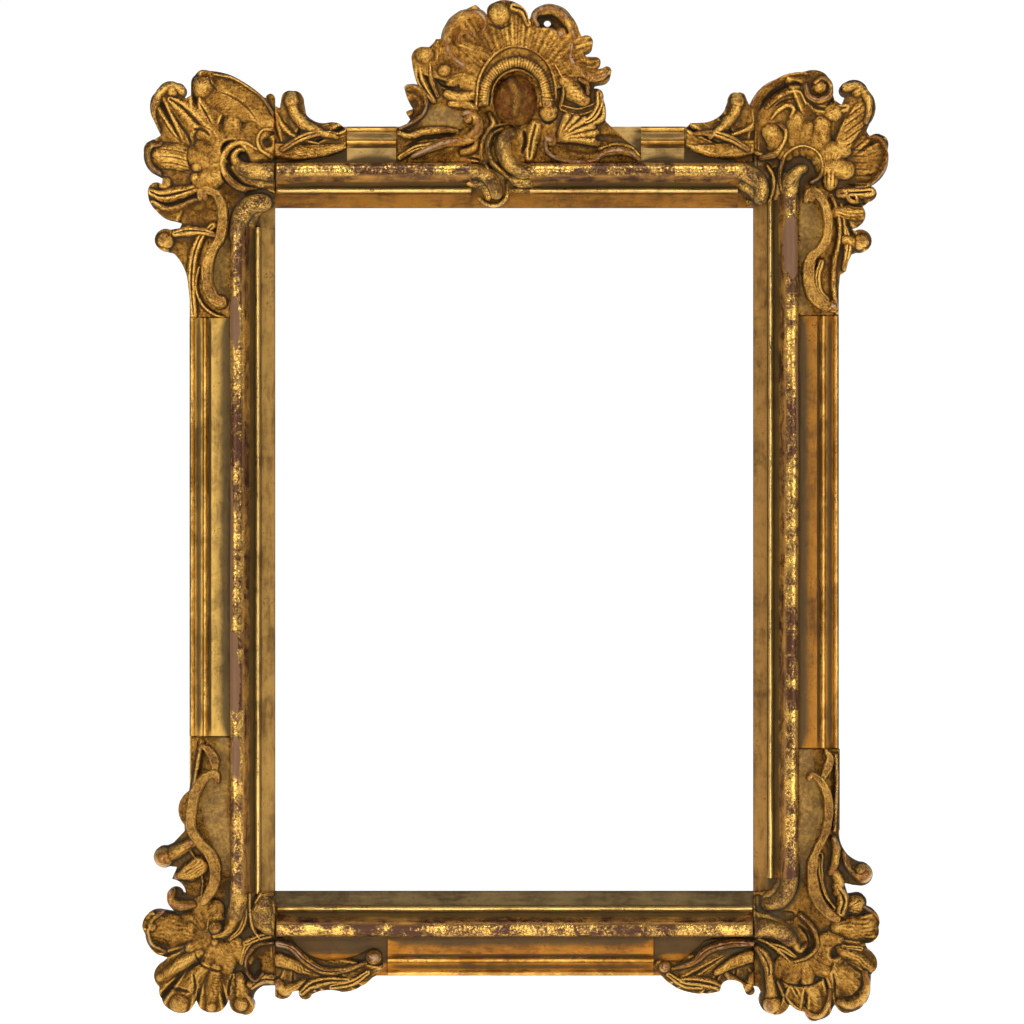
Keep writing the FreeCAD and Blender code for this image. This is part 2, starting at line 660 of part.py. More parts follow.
BOTTOM_LEFT_SHELL_PX = (
    (272.6, 925), (272.6, 985.5), (262, 986), (254, 992, 251, 1000), (250, 1012, 240, 1013),
    (231, 1009, 228, 998), (226.5, 996.5), (223, 1007, 211.4, 1011.8), (201, 1009, 194, 994.5),
    (192.3, 993.3), (190, 1008, 180.6, 1012.4), (166, 1007, 158, 986), (152.5, 976, 160.5, 962.6),
    (166.8, 957.3), (150, 949, 144, 934), (144, 916, 158, 909.8), (174, 912.5),
    (166.8, 903, 165.8, 892.6), (172, 887.5, 181, 893.3), (184, 894), (179, 883, 170, 879), (175.3, 867.1),
    (168, 866.3), (151.8, 856.5, 165, 846.2), (171, 843.4), (182.7, 831), (182.5, 825),
    (176.5, 808, 187, 791), (189, 780), (189, 737), (228.7, 737), (228.7, 925),
)
BOTTOM_LEFT_FOCUS_PX = (208, 938)
BOTTOM_LEFT_TIPS_PX = ((150, 921), (150, 943), (158, 976), (178, 1004), (211, 1006), (240, 1006))
BOTTOM_LEFT_KNOBS_PX = ((162, 856.7, 10), (177, 1002, 9))
BOTTOM_LEFT_BANDS_PX = ((((269, 944), (255, 950), (248, 962), (252, 973), (260, 973)), (6, 8, 6)),)
BOTTOM_LEFT_STUBS_PX = ((((240, 923.5), (237, 933), (228, 936), (214, 930)), (19, 15, 11, 9)),)

BOTTOM_RIGHT_SHELL_PX = (
    (753.6, 925), (753.6, 986), (757.7, 987), (761, 993), (762, 1009, 771.5, 1013.5),
    (783, 1011.5, 789, 1003.3), (796, 1009, 804.3, 1011), (808, 1018.5, 818, 1019.2),
    (830, 1012, 833.2, 995), (834.7, 996.5), (838, 1009.5, 849, 1012), (864, 1003, 869.5, 984),
    (870.2, 974), (876, 966, 868, 950), (863.8, 942.4), (875, 938, 877.6, 926.5),
    (875.5, 912, 865.5, 906.3), (863, 895, 854, 893.5), (847.5, 894.5), (844, 883), (852, 885),
    (858, 885.6), (872.4, 874.5, 860, 862.5), (846, 853, 838.9, 831), (839.5, 829), (839.5, 749),
    (797.5, 749), (797.5, 925),
)
BOTTOM_RIGHT_FOCUS_PX = (812, 936)
BOTTOM_RIGHT_TIPS_PX = ((872, 925), (870, 955), (862, 984), (849, 1005), (817, 1013), (790, 1006))
BOTTOM_RIGHT_KNOBS_PX = ((861, 873, 10), (772.5, 1003, 9))
BOTTOM_RIGHT_BANDS_PX = ((((756, 943), (764, 950), (770, 961), (769, 972), (763, 976)), (6, 8, 6)),)
BOTTOM_RIGHT_STUBS_PX = ((((754, 932), (769, 932), (783, 937), (793, 946), (795, 957)), (13, 14, 14, 11, 9)),)
SHELL_BAND_SECTIONS = 9
FLUTE_START_SHARE = 0.35
FLUTE_END_SHARE = 1.15


def shell(name, carver, outline_px, focus_px, tips_px, knobs_px, bands_px, stubs_px):
    """A corner's rocaille shell: block, flutes from its focus, knobs on its rim and roll-end bands."""
    top = size("shell_height")
    ground = size("ground_height")
    solid = carver.block(outline_px, top)
    for groove in carver.flutes(focus_px, tips_px, FLUTE_START_SHARE, FLUTE_END_SHARE, top):
        solid = solid.cut(groove)
    for x_px, y_px, radius_px in knobs_px:
        solid = solid.fuse(carver.knob(x_px, y_px, radius_px, ground, size("knob_height")))
    for path_px, widths_px in bands_px:
        solid = solid.fuse(carver.band(path_px, widths_px, ground, size("knob_height"), SHELL_BAND_SECTIONS))
    for path_px, widths_px in stubs_px:
        solid = solid.fuse(carver.band(path_px, widths_px, ground, size("roll_height"), SHELL_BAND_SECTIONS))
    add_carving(name, solid.cut(members).removeSplitter())


shell("top_left_shell", TOP_LEFT, TOP_LEFT_SHELL_PX, TOP_LEFT_FOCUS_PX, TOP_LEFT_TIPS_PX,
      TOP_LEFT_KNOBS_PX, TOP_LEFT_BANDS_PX, TOP_LEFT_STUBS_PX)
shell("top_right_shell", TOP_RIGHT, TOP_RIGHT_SHELL_PX, TOP_RIGHT_FOCUS_PX, TOP_RIGHT_TIPS_PX,
      TOP_RIGHT_KNOBS_PX, TOP_RIGHT_BANDS_PX, TOP_RIGHT_STUBS_PX)
shell("bottom_left_shell", BOTTOM_LEFT, BOTTOM_LEFT_SHELL_PX, BOTTOM_LEFT_FOCUS_PX, BOTTOM_LEFT_TIPS_PX,
      BOTTOM_LEFT_KNOBS_PX, BOTTOM_LEFT_BANDS_PX, BOTTOM_LEFT_STUBS_PX)
shell("bottom_right_shell", BOTTOM_RIGHT, BOTTOM_RIGHT_SHELL_PX, BOTTOM_RIGHT_FOCUS_PX,
      BOTTOM_RIGHT_TIPS_PX, BOTTOM_RIGHT_KNOBS_PX, BOTTOM_RIGHT_BANDS_PX, BOTTOM_RIGHT_STUBS_PX)

# Side scrolls on the shells' lower ground: each curl's line and widths, and its eyes (x, y, radius)
SIDE_SCROLLS = (
    ("top_left_side_scroll", TOP_LEFT,
     ((((201, 199), (202, 192), (209, 189.5), (218, 193), (225, 203), (227.5, 217), (225, 232), (217, 246),
        (209, 261), (206, 277), (208, 292), (217, 304)), (6, 9, 10, 9, 7)),),
     ((206, 199, 5.5), (222, 304, 6))),
    ("top_right_side_scroll", TOP_RIGHT,
     ((((815, 190), (823, 196), (829, 207), (831, 222), (829, 238), (819, 251), (808, 263), (805, 278),
        (810, 295), (820, 306)), (7, 10, 10, 9, 7)),),
     ((813, 198, 8), (825, 307, 6))),
    ("bottom_left_side_scroll", BOTTOM_LEFT,
     ((((205, 779), (196, 789), (192, 805), (191, 822), (195, 836), (205, 846), (214, 858), (218, 872),
        (216, 886), (208, 896)), (7, 10, 10, 9, 7)),
      (((215, 777), (213, 763), (207, 751), (199, 744)), (7, 9, 5))),
     ((210, 781, 7),)),
    ("bottom_right_side_scroll", BOTTOM_RIGHT,
     ((((820, 777), (827, 788), (830, 803), (829, 821), (823, 836), (814, 850), (808, 864), (808, 881),
        (812, 898), (820, 910)), (7, 10, 10, 9, 7)),
      (((822, 779), (828, 768), (829, 759), (824, 751)), (7, 9, 5))),
     ((814, 779, 7),)),
)
SCROLL_SECTIONS = 15

for name, carver, paths, eyes_px in SIDE_SCROLLS:
    low = size("shell_height")
    top = size("scroll_height")
    pieces = [carver.band(path_px, widths_px, low, top, SCROLL_SECTIONS) for path_px, widths_px in paths]
    pieces += [carver.knob(x_px, y_px, radius_px, low, top) for x_px, y_px, radius_px in eyes_px]
    solid = pieces[0].fuse(pieces[1:])
    add_carving(name, solid.removeSplitter())

# Rail sprays: outline, flute focus and tips, knobs and a raised leaf rib
SPRAYS = (
    ("top_left_spray", TOP_LEFT,
     ((275.8, 162), (275.8, 106), (281, 108.5), (282.5, 99), (286, 92.5, 293.7, 91.3),
      (302, 94, 304.3, 101), (306.6, 113.6), (314, 120.5, 330, 122.7), (341, 124.5, 347, 130),
      (347, 148), (335, 154.5, 320, 157), (298, 162)),
     (286, 158), ((292, 97), (328, 126), (343, 141)), ((293, 101, 9),),
     ((284, 150), (300, 140), (318, 134), (338, 134))),
    ("top_right_spray", TOP_RIGHT,
     ((754.4, 162), (754.4, 109), (749.8, 105.3), (746.5, 98), (744, 93.8, 737.9, 93.4),
      (731, 94.5, 729, 100), (725.3, 110.5), (717, 118.5, 705, 122.8), (691, 123.6), (687, 128),
      (687, 146), (700, 154, 715, 158), (740, 162)),
     (746, 158), ((738, 98), (704, 127), (691, 140)), ((738, 102, 8.3),),
     ((748, 150), (732, 140), (714, 134), (696, 134))),
    ("bottom_left_spray", BOTTOM_LEFT,
     ((273.2, 937), (273.2, 996), (281, 999, 290.9, 991.2), (297.3, 990.2), (303.5, 999.5, 310, 994.4),
      (325, 990, 340, 991.9), (357, 987.5, 370.5, 977.4), (379, 970, 380.5, 957), (374, 948.5, 366, 950),
      (345, 958, 325, 960), (304, 953, 292, 941), (286, 937)),
     (290, 950), ((281, 996), (303, 996), (340, 989), (366, 975)), ((372, 957, 8),),
     ((276, 943), (290, 947), (304, 960), (322, 970), (344, 969), (364, 962))),
    ("bottom_right_spray", BOTTOM_RIGHT,
     ((753.2, 937), (753.2, 987), (751, 995, 745, 992.5), (741.8, 983.8), (731, 979.5, 720.6, 985),
      (719.5, 991), (704, 993.5, 688.8, 992), (671, 984.5, 657, 970), (654.8, 964, 660, 959.5),
      (679, 961.5), (692, 952, 703.6, 941.5), (712, 938)),
     (738, 948), ((748, 992), (718, 988), (690, 991), (664, 972)), ((664, 966, 7),),
     ((752, 943), (730, 943), (708, 949), (692, 962), (672, 968))),
)
SPRAY_BAND_PX = (7, 8, 5)
SPRAY_SECTIONS = 10
SPRAY_START_SHARE = 0.3

for name, carver, outline_px, focus_px, tips_px, knobs_px, rib_px in SPRAYS:
    top = size("spray_height")
    ground = size("ground_height")
    solid = carver.block(outline_px, top)
    for groove in carver.flutes(focus_px, tips_px, SPRAY_START_SHARE, FLUTE_END_SHARE, top):
        solid = solid.cut(groove)
    for x_px, y_px, radius_px in knobs_px:
        solid = solid.fuse(carver.knob(x_px, y_px, radius_px, ground, size("knob_height")))
    solid = solid.fuse(carver.band(rib_px, SPRAY_BAND_PX, ground, size("knob_height"), SPRAY_SECTIONS))
    add_carving(name, solid.cut(members).removeSplitter())

# Crest: its board stands on the rail's ground, and everything else is glued to the board's face
CREST_BOARD_PX = (
    (397.4, 162.5), (397.4, 128), (407.6, 124), (411, 119), (406.5, 112), (414, 108.6),
    (408, 98, 405, 88), (411, 84, 419.7, 87.3), (414.5, 73, 412.7, 62), (415.5, 51, 424, 47.8),
    (430, 48), (435, 43), (436.5, 40), (443, 39.5), (449, 25, 460.6, 14), (468, 9.5, 476.4, 5.6),
    (480.5, 9), (481, 12.5), (486.6, 17.6), (488, 15.5), (488.5, 8, 494, 3.7), (507, 0.9, 519, 5),
    (526, 11, 529.3, 20), (530.5, 20.5), (532, 14.5), (538, 8, 548, 5.5), (569, 14, 579.4, 31.6),
    (582.2, 37.7), (592, 38.5, 593, 45.5), (590, 52, 583.5, 53), (587, 57.5), (596, 57.7),
    (600.8, 61, 600, 66), (596, 70.5), (603.6, 68.7), (610, 68, 611.3, 74), (609, 80.5, 602, 84),
    (596, 85), (593.3, 88.8), (602, 91, 603.8, 99), (606.5, 110, 606, 121), (622, 136, 641.5, 152),
    (641.5, 162.5),
)
CREST_LEFT_FOCUS_PX = (500, 112)
CREST_LEFT_TIPS_PX = ((424, 62), (437, 46))
CREST_RIGHT_FOCUS_PX = (530, 112)
CREST_RIGHT_TIPS_PX = ((508, 12), (588, 46), (597, 64), (602, 98))
CREST_FLUTE_SHARE = 0.62
CREST_HOLE_PX = (548, 22.8, 3.6)
CREST_KNOB_PX = (582, 98, 7)

board_top = size("crest_board_height")
crest_board = CREST.block(CREST_BOARD_PX, board_top)
grooves = CREST.flutes(CREST_LEFT_FOCUS_PX, CREST_LEFT_TIPS_PX, CREST_FLUTE_SHARE, FLUTE_END_SHARE, board_top)
grooves += CREST.flutes(CREST_RIGHT_FOCUS_PX, CREST_RIGHT_TIPS_PX, CREST_FLUTE_SHARE, FLUTE_END_SHARE,
                        board_top)
grooves.append(Part.makeCylinder(CREST_HOLE_PX[2] * CREST.pitch, board_top, CREST.spot(*CREST_HOLE_PX[:2], 0),
                                 Vector(0, -1, 0)))
for groove in grooves:
    crest_board = crest_board.cut(groove)
crest_board = crest_board.fuse(CREST.knob(*CREST_KNOB_PX, board_top, size("crest_band_height")))
add_carving("crest_board", crest_board.removeSplitter())

CREST_ARCH_PX = (
    (475.5, 107), (479, 71, 517, 46.6), (549, 65, 557, 98), (553.5, 108), (539.5, 107),
    (536, 81, 518, 71.5), (499, 81, 494, 106),
)
GADROON_CENTRE_PX = (516, 100)
GADROON_INNER_PX = 18
GADROON_OUTER_PX = 58
GADROONS = 13
GADROON_SPREAD = 190


def crest_arch():
    """The arch round the cabochon, its face cut by radiating gouge strokes."""
    top = size("crest_arch_height")
    solid = CREST.prism(CREST_ARCH_PX, board_top, top)
    for index in range(GADROONS):
        turn = math.radians(90 + GADROON_SPREAD * (index / (GADROONS - 1) - 0.5))
        ends_px = [(GADROON_CENTRE_PX[0] + reach_px * math.cos(turn),
                    GADROON_CENTRE_PX[1] - reach_px * math.sin(turn))
                   for reach_px in (GADROON_INNER_PX, GADROON_OUTER_PX)]
        solid = solid.cut(CREST.flute(*ends_px, top, size("gadroon_depth"), size("gadroon_half_width")))
    return solid


CABOCHON_PX = (516, 101.3)
CABOCHON_HALF_PX = (22, 26)
CABOCHON_RINGS = 4
CABOCHON_SIDES = 16


def crest_cabochon():
    """The egg in the arch: rings that shrink as they rise to its top, flat where it sits on the board."""
    wide, tall = (value * CREST.pitch for value in CABOCHON_HALF_PX)
    rise = size("crest_cabochon_height") - board_top
    rings = []
    for ring in range(CABOCHON_RINGS):
        tilt = math.pi / 2 * ring / CABOCHON_RINGS
        middle = CREST.spot(*CABOCHON_PX, board_top + rise * math.sin(tilt))
        turns = [2 * math.pi * side / CABOCHON_SIDES for side in range(CABOCHON_SIDES)]
        rings.append([middle + Vector(wide * math.cos(tilt) * math.cos(turn), 0,
                                      tall * math.cos(tilt) * math.sin(turn)) for turn in turns])
    top = CREST.spot(*CABOCHON_PX, board_top + rise)
    sides = skin(rings)
    del sides[1]
    return solid_of(sides + spread(top, rings[-1]))


add_carving("crest_arch", crest_arch())
add_carving("crest_cabochon", crest_cabochon())

CREST_FAN_PX = ((549, 133), (556, 122, 566, 118), (584, 119, 594.5, 132), (593.5, 140.5), (575, 143, 553, 143))
CREST_FAN_FOCUS_PX = (551, 141)
CREST_FAN_TIPS_PX = ((562, 119), (573, 117), (584, 122), (593, 130))
CREST_FAN_SHARE = 0.3
CREST_BANDS = (
    ("crest_left_hook",
     ((459, 61), (450, 48), (449, 34), (455, 23), (465, 15.5), (476, 13.5), (484, 19), (484, 28)),
     (9, 13, 12, 8), ((479, 30, 6), (447, 60, 6))),
    ("crest_right_hook",
     ((536, 21), (541, 12.5), (550, 10.5), (561, 15.5), (570.5, 26), (575, 38), (573.5, 50), (573, 62),
      (579, 71.5), (588, 76.5), (599, 78), (607, 73)), (8, 11, 11, 11, 8), ((562, 34, 6.5),)),
    ("crest_left_leaf", ((476, 121), (475, 132), (462, 139), (446, 142), (430, 149), (412, 157)),
     (9, 12, 6), ((471, 118, 6),)),
    ("crest_right_fan", ((548, 146), (557, 155), (572, 158), (588, 154), (604, 151), (622, 152)),
     (8, 10, 7), ((551, 140, 6), (627, 154, 6))),
)
CREST_BAND_SECTIONS = 13

for name, path_px, widths_px, eyes_px in CREST_BANDS:
    top = size("crest_band_height")
    pieces = [CREST.band(path_px, widths_px, board_top, top, CREST_BAND_SECTIONS)]
    pieces += [CREST.knob(x_px, y_px, radius_px, board_top, top) for x_px, y_px, radius_px in eyes_px]
    if name == "crest_right_fan":
        fan_top = (board_top + top) / 2
        fan = CREST.prism(CREST_FAN_PX, board_top, fan_top)
        for groove in CREST.flutes(CREST_FAN_FOCUS_PX, CREST_FAN_TIPS_PX, CREST_FAN_SHARE, FLUTE_END_SHARE,
                                   fan_top):
            fan = fan.cut(groove)
        pieces.append(fan)
    add_carving(name, pieces[0].fuse(pieces[1:]).removeSplitter())

# The top rolls end in the middle: the left one bends down to a cup, the right one starts in a curl
ROLL_ENDS = (
    ("crest_left_roll_end", ((472.6, 175), (482, 177), (490, 184), (495, 194)), (21, 19, 14), ()),
    ("crest_right_roll_curl", ((530, 175), (519, 172), (509, 162), (503, 149), (505, 137), (513, 133)),
     (21, 17, 10), ((518, 138, 5.5),)),
)
ROLL_END_SECTIONS = 9

for name, path_px, widths_px, eyes_px in ROLL_ENDS:
    ground = size("ground_height")
    top = size("roll_height")
    solid = CREST.band(path_px, widths_px, ground, top, ROLL_END_SECTIONS)
    for x_px, y_px, radius_px in eyes_px:
        solid = solid.fuse(CREST.knob(x_px, y_px, radius_px, ground, top))
    add_carving(name, solid.cut(members).cut(crest_board).removeSplitter())

pegs = doc.addObject("Part::Feature", "corner_pegs_group")
pegs.Shape = corner_pegs()
pegs.Placement = Placement()
keep(pegs, "corner_pegs")


# Hangers: in a strap's own frame Z is up, Y points away from the wood and the ring's bar is at Z = 0

KNUCKLE_AXIS = "strap_thickness + ring_lift + ring_bar_radius"
STRAP_FOOT = "strap_length"
RING_WIDTH = "ring_inner_width + 4 * ring_bar_radius"


def hanger_strap(name, side):
    """A plate screwed to the stile, rolled at its top into the knuckle that holds the ring's bar."""
    body = doc.addObject("PartDesign::Body", f"{name}_body")
    plate = new_sketch(body, f"{name}_plate", "XZ_Plane")
    rectangle(plate, "0", "strap_width", "0", STRAP_FOOT)
    pad(body, plate, "strap_thickness", f"{name}_plate_thickness", backwards=True)
    roll = new_sketch(body, f"{name}_knuckle_outline", "YZ_Plane", "(strap_width - knuckle_length) / 2")
    circle(roll, KNUCKLE_AXIS, STRAP_FOOT, KNUCKLE_AXIS)
    pad(body, roll, "knuckle_length", f"{name}_knuckle")
    bore = new_sketch(body, f"{name}_bore_outline", "YZ_Plane")
    circle(bore, KNUCKLE_AXIS, STRAP_FOOT, "ring_bar_radius + ring_clearance")
    feature = body.newObject("PartDesign::Pocket", f"{name}_bore")
    feature.Profile = bore
    feature.Type = "ThroughAll"
    feature.Reversed = True
    doc.recompute()
    holes = [("strap_width / 2", f"{STRAP_FOOT} - ({drop})") for drop in STRAP_SCREWS]
    back_holes(body, f"{name}_screw_holes", holes, SCREW_HOLE, "strap_thickness")
    place_part(body, f"{side} * (sight_width / 2 + {STILE_BACK_MIDDLE}) - strap_width / 2", "0",
               f"{HANGER_HEIGHT} - {STRAP_FOOT}")
    keep(body, name)


def hanger_ring(name, side):
    """A D ring: a straight round bar in the knuckle and a flat bow that hangs from it."""
    body = doc.addObject("PartDesign::Body", f"{name}_body")
    bow = new_sketch(body, f"{name}_bow_outline", "XZ_Plane", "0 - ring_bar_radius")
    wire = "2 * ring_bar_radius"
    inner_right = f"{RING_WIDTH} - {wire}"
    rows = (
        ("line", "0", "0"),
        ("line", wire, "0"),
        ("line", wire, "ring_inner_length"),
        ("bump", inner_right, "ring_inner_length", "ring_inner_length - ring_bar_radius"),
        ("line", inner_right, "0"),
        ("line", RING_WIDTH, "0"),
        ("line", RING_WIDTH, "ring_inner_length"),
        ("bump", "0", "ring_inner_length", "ring_inner_length - ring_bar_radius"),
    )
    profile(bow, rows)
    pad(body, bow, wire, f"{name}_bow")
    bar = new_sketch(body, f"{name}_bar_outline", "YZ_Plane")
    circle(bar, "0", "0", "ring_bar_radius")
    pad(body, bar, RING_WIDTH, f"{name}_bar")
    place_part(body, f"{side} * (sight_width / 2 + {STILE_BACK_MIDDLE}) - ({RING_WIDTH}) / 2",
               KNUCKLE_AXIS, HANGER_HEIGHT, Rotation(Vector(1, 0, 0), 180))
    keep(body, name)


for name, side in (("left", "-1"), ("right", "1")):
    hanger_strap(f"{name}_hanger_strap", side)
    hanger_ring(f"{name}_hanger_ring", side)


def screw_group(name, places, seat):
    """Identical screws whose heads sit at a height above the wood; places are (x, z) expressions."""
    screws = []
    for index, (x, z) in enumerate(places):
        shank = doc.addObject("Part::Cylinder", f"{name}_shank_{index}")
        head = doc.addObject("Part::Cone", f"{name}_head_{index}")
        depth = f"screw_reach + {seat}"
        for feature, values in ((shank, (("Radius", "screw_radius"), ("Height", depth))),
                                (head, (("Radius1", "screw_head_radius"), ("Radius2", "screw_radius"),
                                        ("Height", "screw_head_depth")))):
            for key, text in values:
                setattr(feature, key, number(text))
                feature.setExpression(key, bound(text))
        place_part(shank, x, seat, z, Rotation(Vector(1, 0, 0), 90))
        place_part(head, x, seat, z, Rotation(Vector(1, 0, 0), -90))
        whole = doc.addObject("Part::Fuse", f"{name}_{index}")
        whole.Base = head
        whole.Tool = shank
        screws.append(whole)
    group = doc.addObject("Part::Compound", f"{name}_group")
    group.Links = screws
    doc.recompute()
    keep(group, name)


SIDES = ("-1", "1")
screw_group("hanger_screws",
            [(f"{side} * (sight_width / 2 + {STILE_BACK_MIDDLE})", f"{HANGER_HEIGHT} - ({drop})")
             for side in SIDES for drop in STRAP_SCREWS], "strap_thickness")


# Turn buttons: flat keys that swing over the rebate to hold a picture in it

def turn_button(name, side, above):
    body = doc.addObject("PartDesign::Body", f"{name}_body")
    outline = new_sketch(body, f"{name}_outline", "XZ_Plane", "0 - button_lift")
    end = "button_width / 2"
    rows = (
        ("line", "0", end),
        ("hollow", "button_width", end, end),
        ("line", "button_width", f"button_length - {end}"),
        ("bump", "0", f"button_length - {end}", f"button_length - {end}"),
    )
    profile(outline, rows)
    pad(body, outline, "button_thickness", f"{name}_plate", backwards=True)
    hole = new_sketch(body, f"{name}_hole_outline", "XZ_Plane")
    circle(hole, end, end, SCREW_HOLE)
    pocket(body, hole, None, f"{name}_hole")
    place_part(body, f"{side} * (sight_width / 2 + {BUTTON_OUT}) - button_width / 2", "0",
               f"{above} * button_distance - button_width / 2")
    keep(body, name)


for above_name, above in (("upper", "1"), ("lower", "-1")):
    for side_name, side in (("left", "-1"), ("right", "1")):
        turn_button(f"{above_name}_{side_name}_turn_button", side, above)
screw_group("turn_button_screws",
            [(f"{side} * (sight_width / 2 + {BUTTON_OUT})", f"{above} * button_distance")
             for side in SIDES for above in SIDES], "2 * button_lift + button_thickness")

doc.recompute()
for item in doc.Objects:
    if "Invalid" in item.State or "Error" in item.State:
        raise RuntimeError(f"{item.Label} did not recompute")
os.makedirs("parts", exist_ok=True)
for part in parts:
    shape = part.Shape
    if shape.isNull() or not shape.isValid() or not shape.Solids:
        raise RuntimeError(f"{part.Label} has no valid solid")
    shape.exportStep(f"parts/{part.Label}.step")
    print(part.Label, len(shape.Solids), round(shape.Volume), shape.BoundBox)
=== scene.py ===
import bmesh
import bpy
import math
import numpy as np
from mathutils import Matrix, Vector


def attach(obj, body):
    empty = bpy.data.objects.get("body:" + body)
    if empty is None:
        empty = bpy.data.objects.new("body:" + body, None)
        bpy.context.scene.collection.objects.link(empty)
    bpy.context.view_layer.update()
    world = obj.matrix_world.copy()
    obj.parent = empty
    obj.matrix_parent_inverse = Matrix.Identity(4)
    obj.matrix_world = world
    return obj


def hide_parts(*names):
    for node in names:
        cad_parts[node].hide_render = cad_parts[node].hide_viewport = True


# Carved and gilded picture frame: mouldings as profiles drawn along the members, and the carving
# as relief built up from strokes. Plan coordinates are pixels of the photograph, heights are
# millimetres above the frame's back.

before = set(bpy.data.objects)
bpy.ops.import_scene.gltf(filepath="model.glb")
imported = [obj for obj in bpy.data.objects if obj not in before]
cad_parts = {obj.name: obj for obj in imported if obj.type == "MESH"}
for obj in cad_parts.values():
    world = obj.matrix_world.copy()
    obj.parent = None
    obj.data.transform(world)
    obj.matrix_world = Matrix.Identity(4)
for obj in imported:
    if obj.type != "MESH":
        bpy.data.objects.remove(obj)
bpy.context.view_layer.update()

MM = 0.001
PITCH = 0.95
SIGHT_HALF_WIDTH = 227.5
SIGHT_HALF_HEIGHT = 325.0
GROUND = 18.0
FIELD = 22.0
CARVING_BACK = 7.0
ROLL_HEIGHT = 38.0
LOBE_LOW = 20.5
LOBE_HIGH = 32.0
KNOB_TOP = 36.0
SCROLL_TOP = 35.0
BOARD = 26.0
ARCH_TOP = 37.0
CABOCHON_TOP = 42.0

# Finishes that the gilding shaders tell apart by the "finish" attribute
PAINTED = -1.0
MATTE = 0.0
BRIGHT = 0.5
BURNISHED = 1.0


class Anchor:
    """A corner of the opening: where it is in the photograph and in the frame."""

    def __init__(self, x_px, y_px, side, above):
        self.x_px = x_px
        self.y_px = y_px
        self.x = side * SIGHT_HALF_WIDTH
        self.z = above * SIGHT_HALF_HEIGHT

    def place(self, x_px, y_px, height):
        """Points in metres from plan coordinates and heights."""
        x = self.x + (x_px - self.x_px) * PITCH
        z = self.z + (self.y_px - y_px) * PITCH
        return np.stack([x * MM, -height * MM, z * MM], -1)


TOP_LEFT = Anchor(275.6, 207.3, -1, 1)
TOP_RIGHT = Anchor(754.6, 207.3, 1, 1)
BOTTOM_LEFT = Anchor(272.8, 891.8, -1, -1)
BOTTOM_RIGHT = Anchor(753.4, 891.8, 1, -1)
CREST = Anchor(514.8, 207.3, 0, 1)


# Noise and smoothing

LATTICE = 64
NOISE_OFFSET = 1000.0
STRAIGHT_POINTS = 24
BEND_POINTS = 16
LEAST_POINTS = 8
ARC_STEPS = 12
PATH_STEP_PX = 0.6
BOX_MARGIN_PX = 6


def ease(t):
    return t * t * (3 - 2 * t)


def lattice_noise(x, y, scale, seed):
    """Smooth noise from -1 to 1 with features about one scale wide."""
    table = np.random.default_rng(seed).uniform(-1, 1, (LATTICE, LATTICE))
    u = np.asarray(x) / scale + NOISE_OFFSET
    v = np.asarray(y) / scale + NOISE_OFFSET
    left = np.floor(u).astype(int)
    low = np.floor(v).astype(int)
    across = ease(u - left)
    up = ease(v - low)
    rows = [table[(left + side) % LATTICE, low % LATTICE] * (1 - up)
            + table[(left + side) % LATTICE, (low + 1) % LATTICE] * up for side in (0, 1)]
    return rows[0] * (1 - across) + rows[1] * across


def blur(field, cells):
    """Gaussian blur, the edges repeated."""
    reach = max(1, int(round(cells * 2.5)))
    steps = np.arange(-reach, reach + 1)
    weights = np.exp(-0.5 * (steps / cells) ** 2)
    weights /= weights.sum()
    for axis in (0, 1):
        pad = [(reach, reach) if a == axis else (0, 0) for a in (0, 1)]
        padded = np.pad(field, pad, mode="edge")
        total = np.zeros_like(field)
        for step, weight in zip(range(2 * reach + 1), weights):
            window = [slice(None), slice(None)]
            window[axis] = slice(step, step + field.shape[axis])
            total += weight * padded[tuple(window)]
        field = total
    return field


def smooth_path(points):
    """Points evenly spaced along a smooth line through the given ones."""
    points = np.array(points, float)
    if len(points) == 2:
        return points[0] + (points[1] - points[0]) * np.linspace(0, 1, STRAIGHT_POINTS)[:, None]
    ends = np.vstack([2 * points[0] - points[1], points, 2 * points[-1] - points[-2]])
    dense = []
    for p0, p1, p2, p3 in zip(ends, ends[1:], ends[2:], ends[3:]):
        t = np.linspace(0, 1, BEND_POINTS, endpoint=False)[:, None]
        dense.append(0.5 * (2 * p1 + (p2 - p0) * t + (2 * p0 - 5 * p1 + 4 * p2 - p3) * t ** 2
                            + (3 * p1 - p0 - 3 * p2 + p3) * t ** 3))
    dense = np.vstack(dense + [points[-1:]])
    run = np.r_[0, np.cumsum(np.linalg.norm(np.diff(dense, axis=0), axis=1))]
    even = np.linspace(0, run[-1], max(LEAST_POINTS, int(run[-1] / PATH_STEP_PX)))
    return np.stack([np.interp(even, run, dense[:, k]) for k in (0, 1)], -1)


def trace(rows):
    """Closed outline: a row of two numbers is a corner, a row of four an arc's middle and its end."""
    points = [np.array(rows[0][-2:], float)]
    for row in rows[1:] + rows[:1]:
        end = np.array(row[-2:], float)
        start = points[-1]
        if len(row) == 4 and row is not rows[0]:
            middle = np.array(row[:2], float)
            a, b = middle - start, end - start
            cross = 2 * (a[0] * b[1] - a[1] * b[0])
            centre = start + np.array([b[1] * (a @ a) - a[1] * (b @ b),
                                       a[0] * (b @ b) - b[0] * (a @ a)]) / cross
            turns = [math.atan2(*(p - centre)[::-1]) for p in (start, middle, end)]
            swing = (turns[2] - turns[0]) % math.tau
            if (turns[1] - turns[0]) % math.tau > swing:
                swing -= math.tau
            angles = turns[0] + swing * np.linspace(0, 1, ARC_STEPS)[1:-1]
            radius = np.linalg.norm(start - centre)
            points += [centre + radius * np.array([math.cos(t), math.sin(t)]) for t in angles]
        points.append(end)
    return np.array(points[:-1])


def box_of(rows, margin=BOX_MARGIN_PX):
    """Box round an outline."""
    points = trace(rows)
    return (*(points.min(0) - margin), *(points.max(0) + margin))


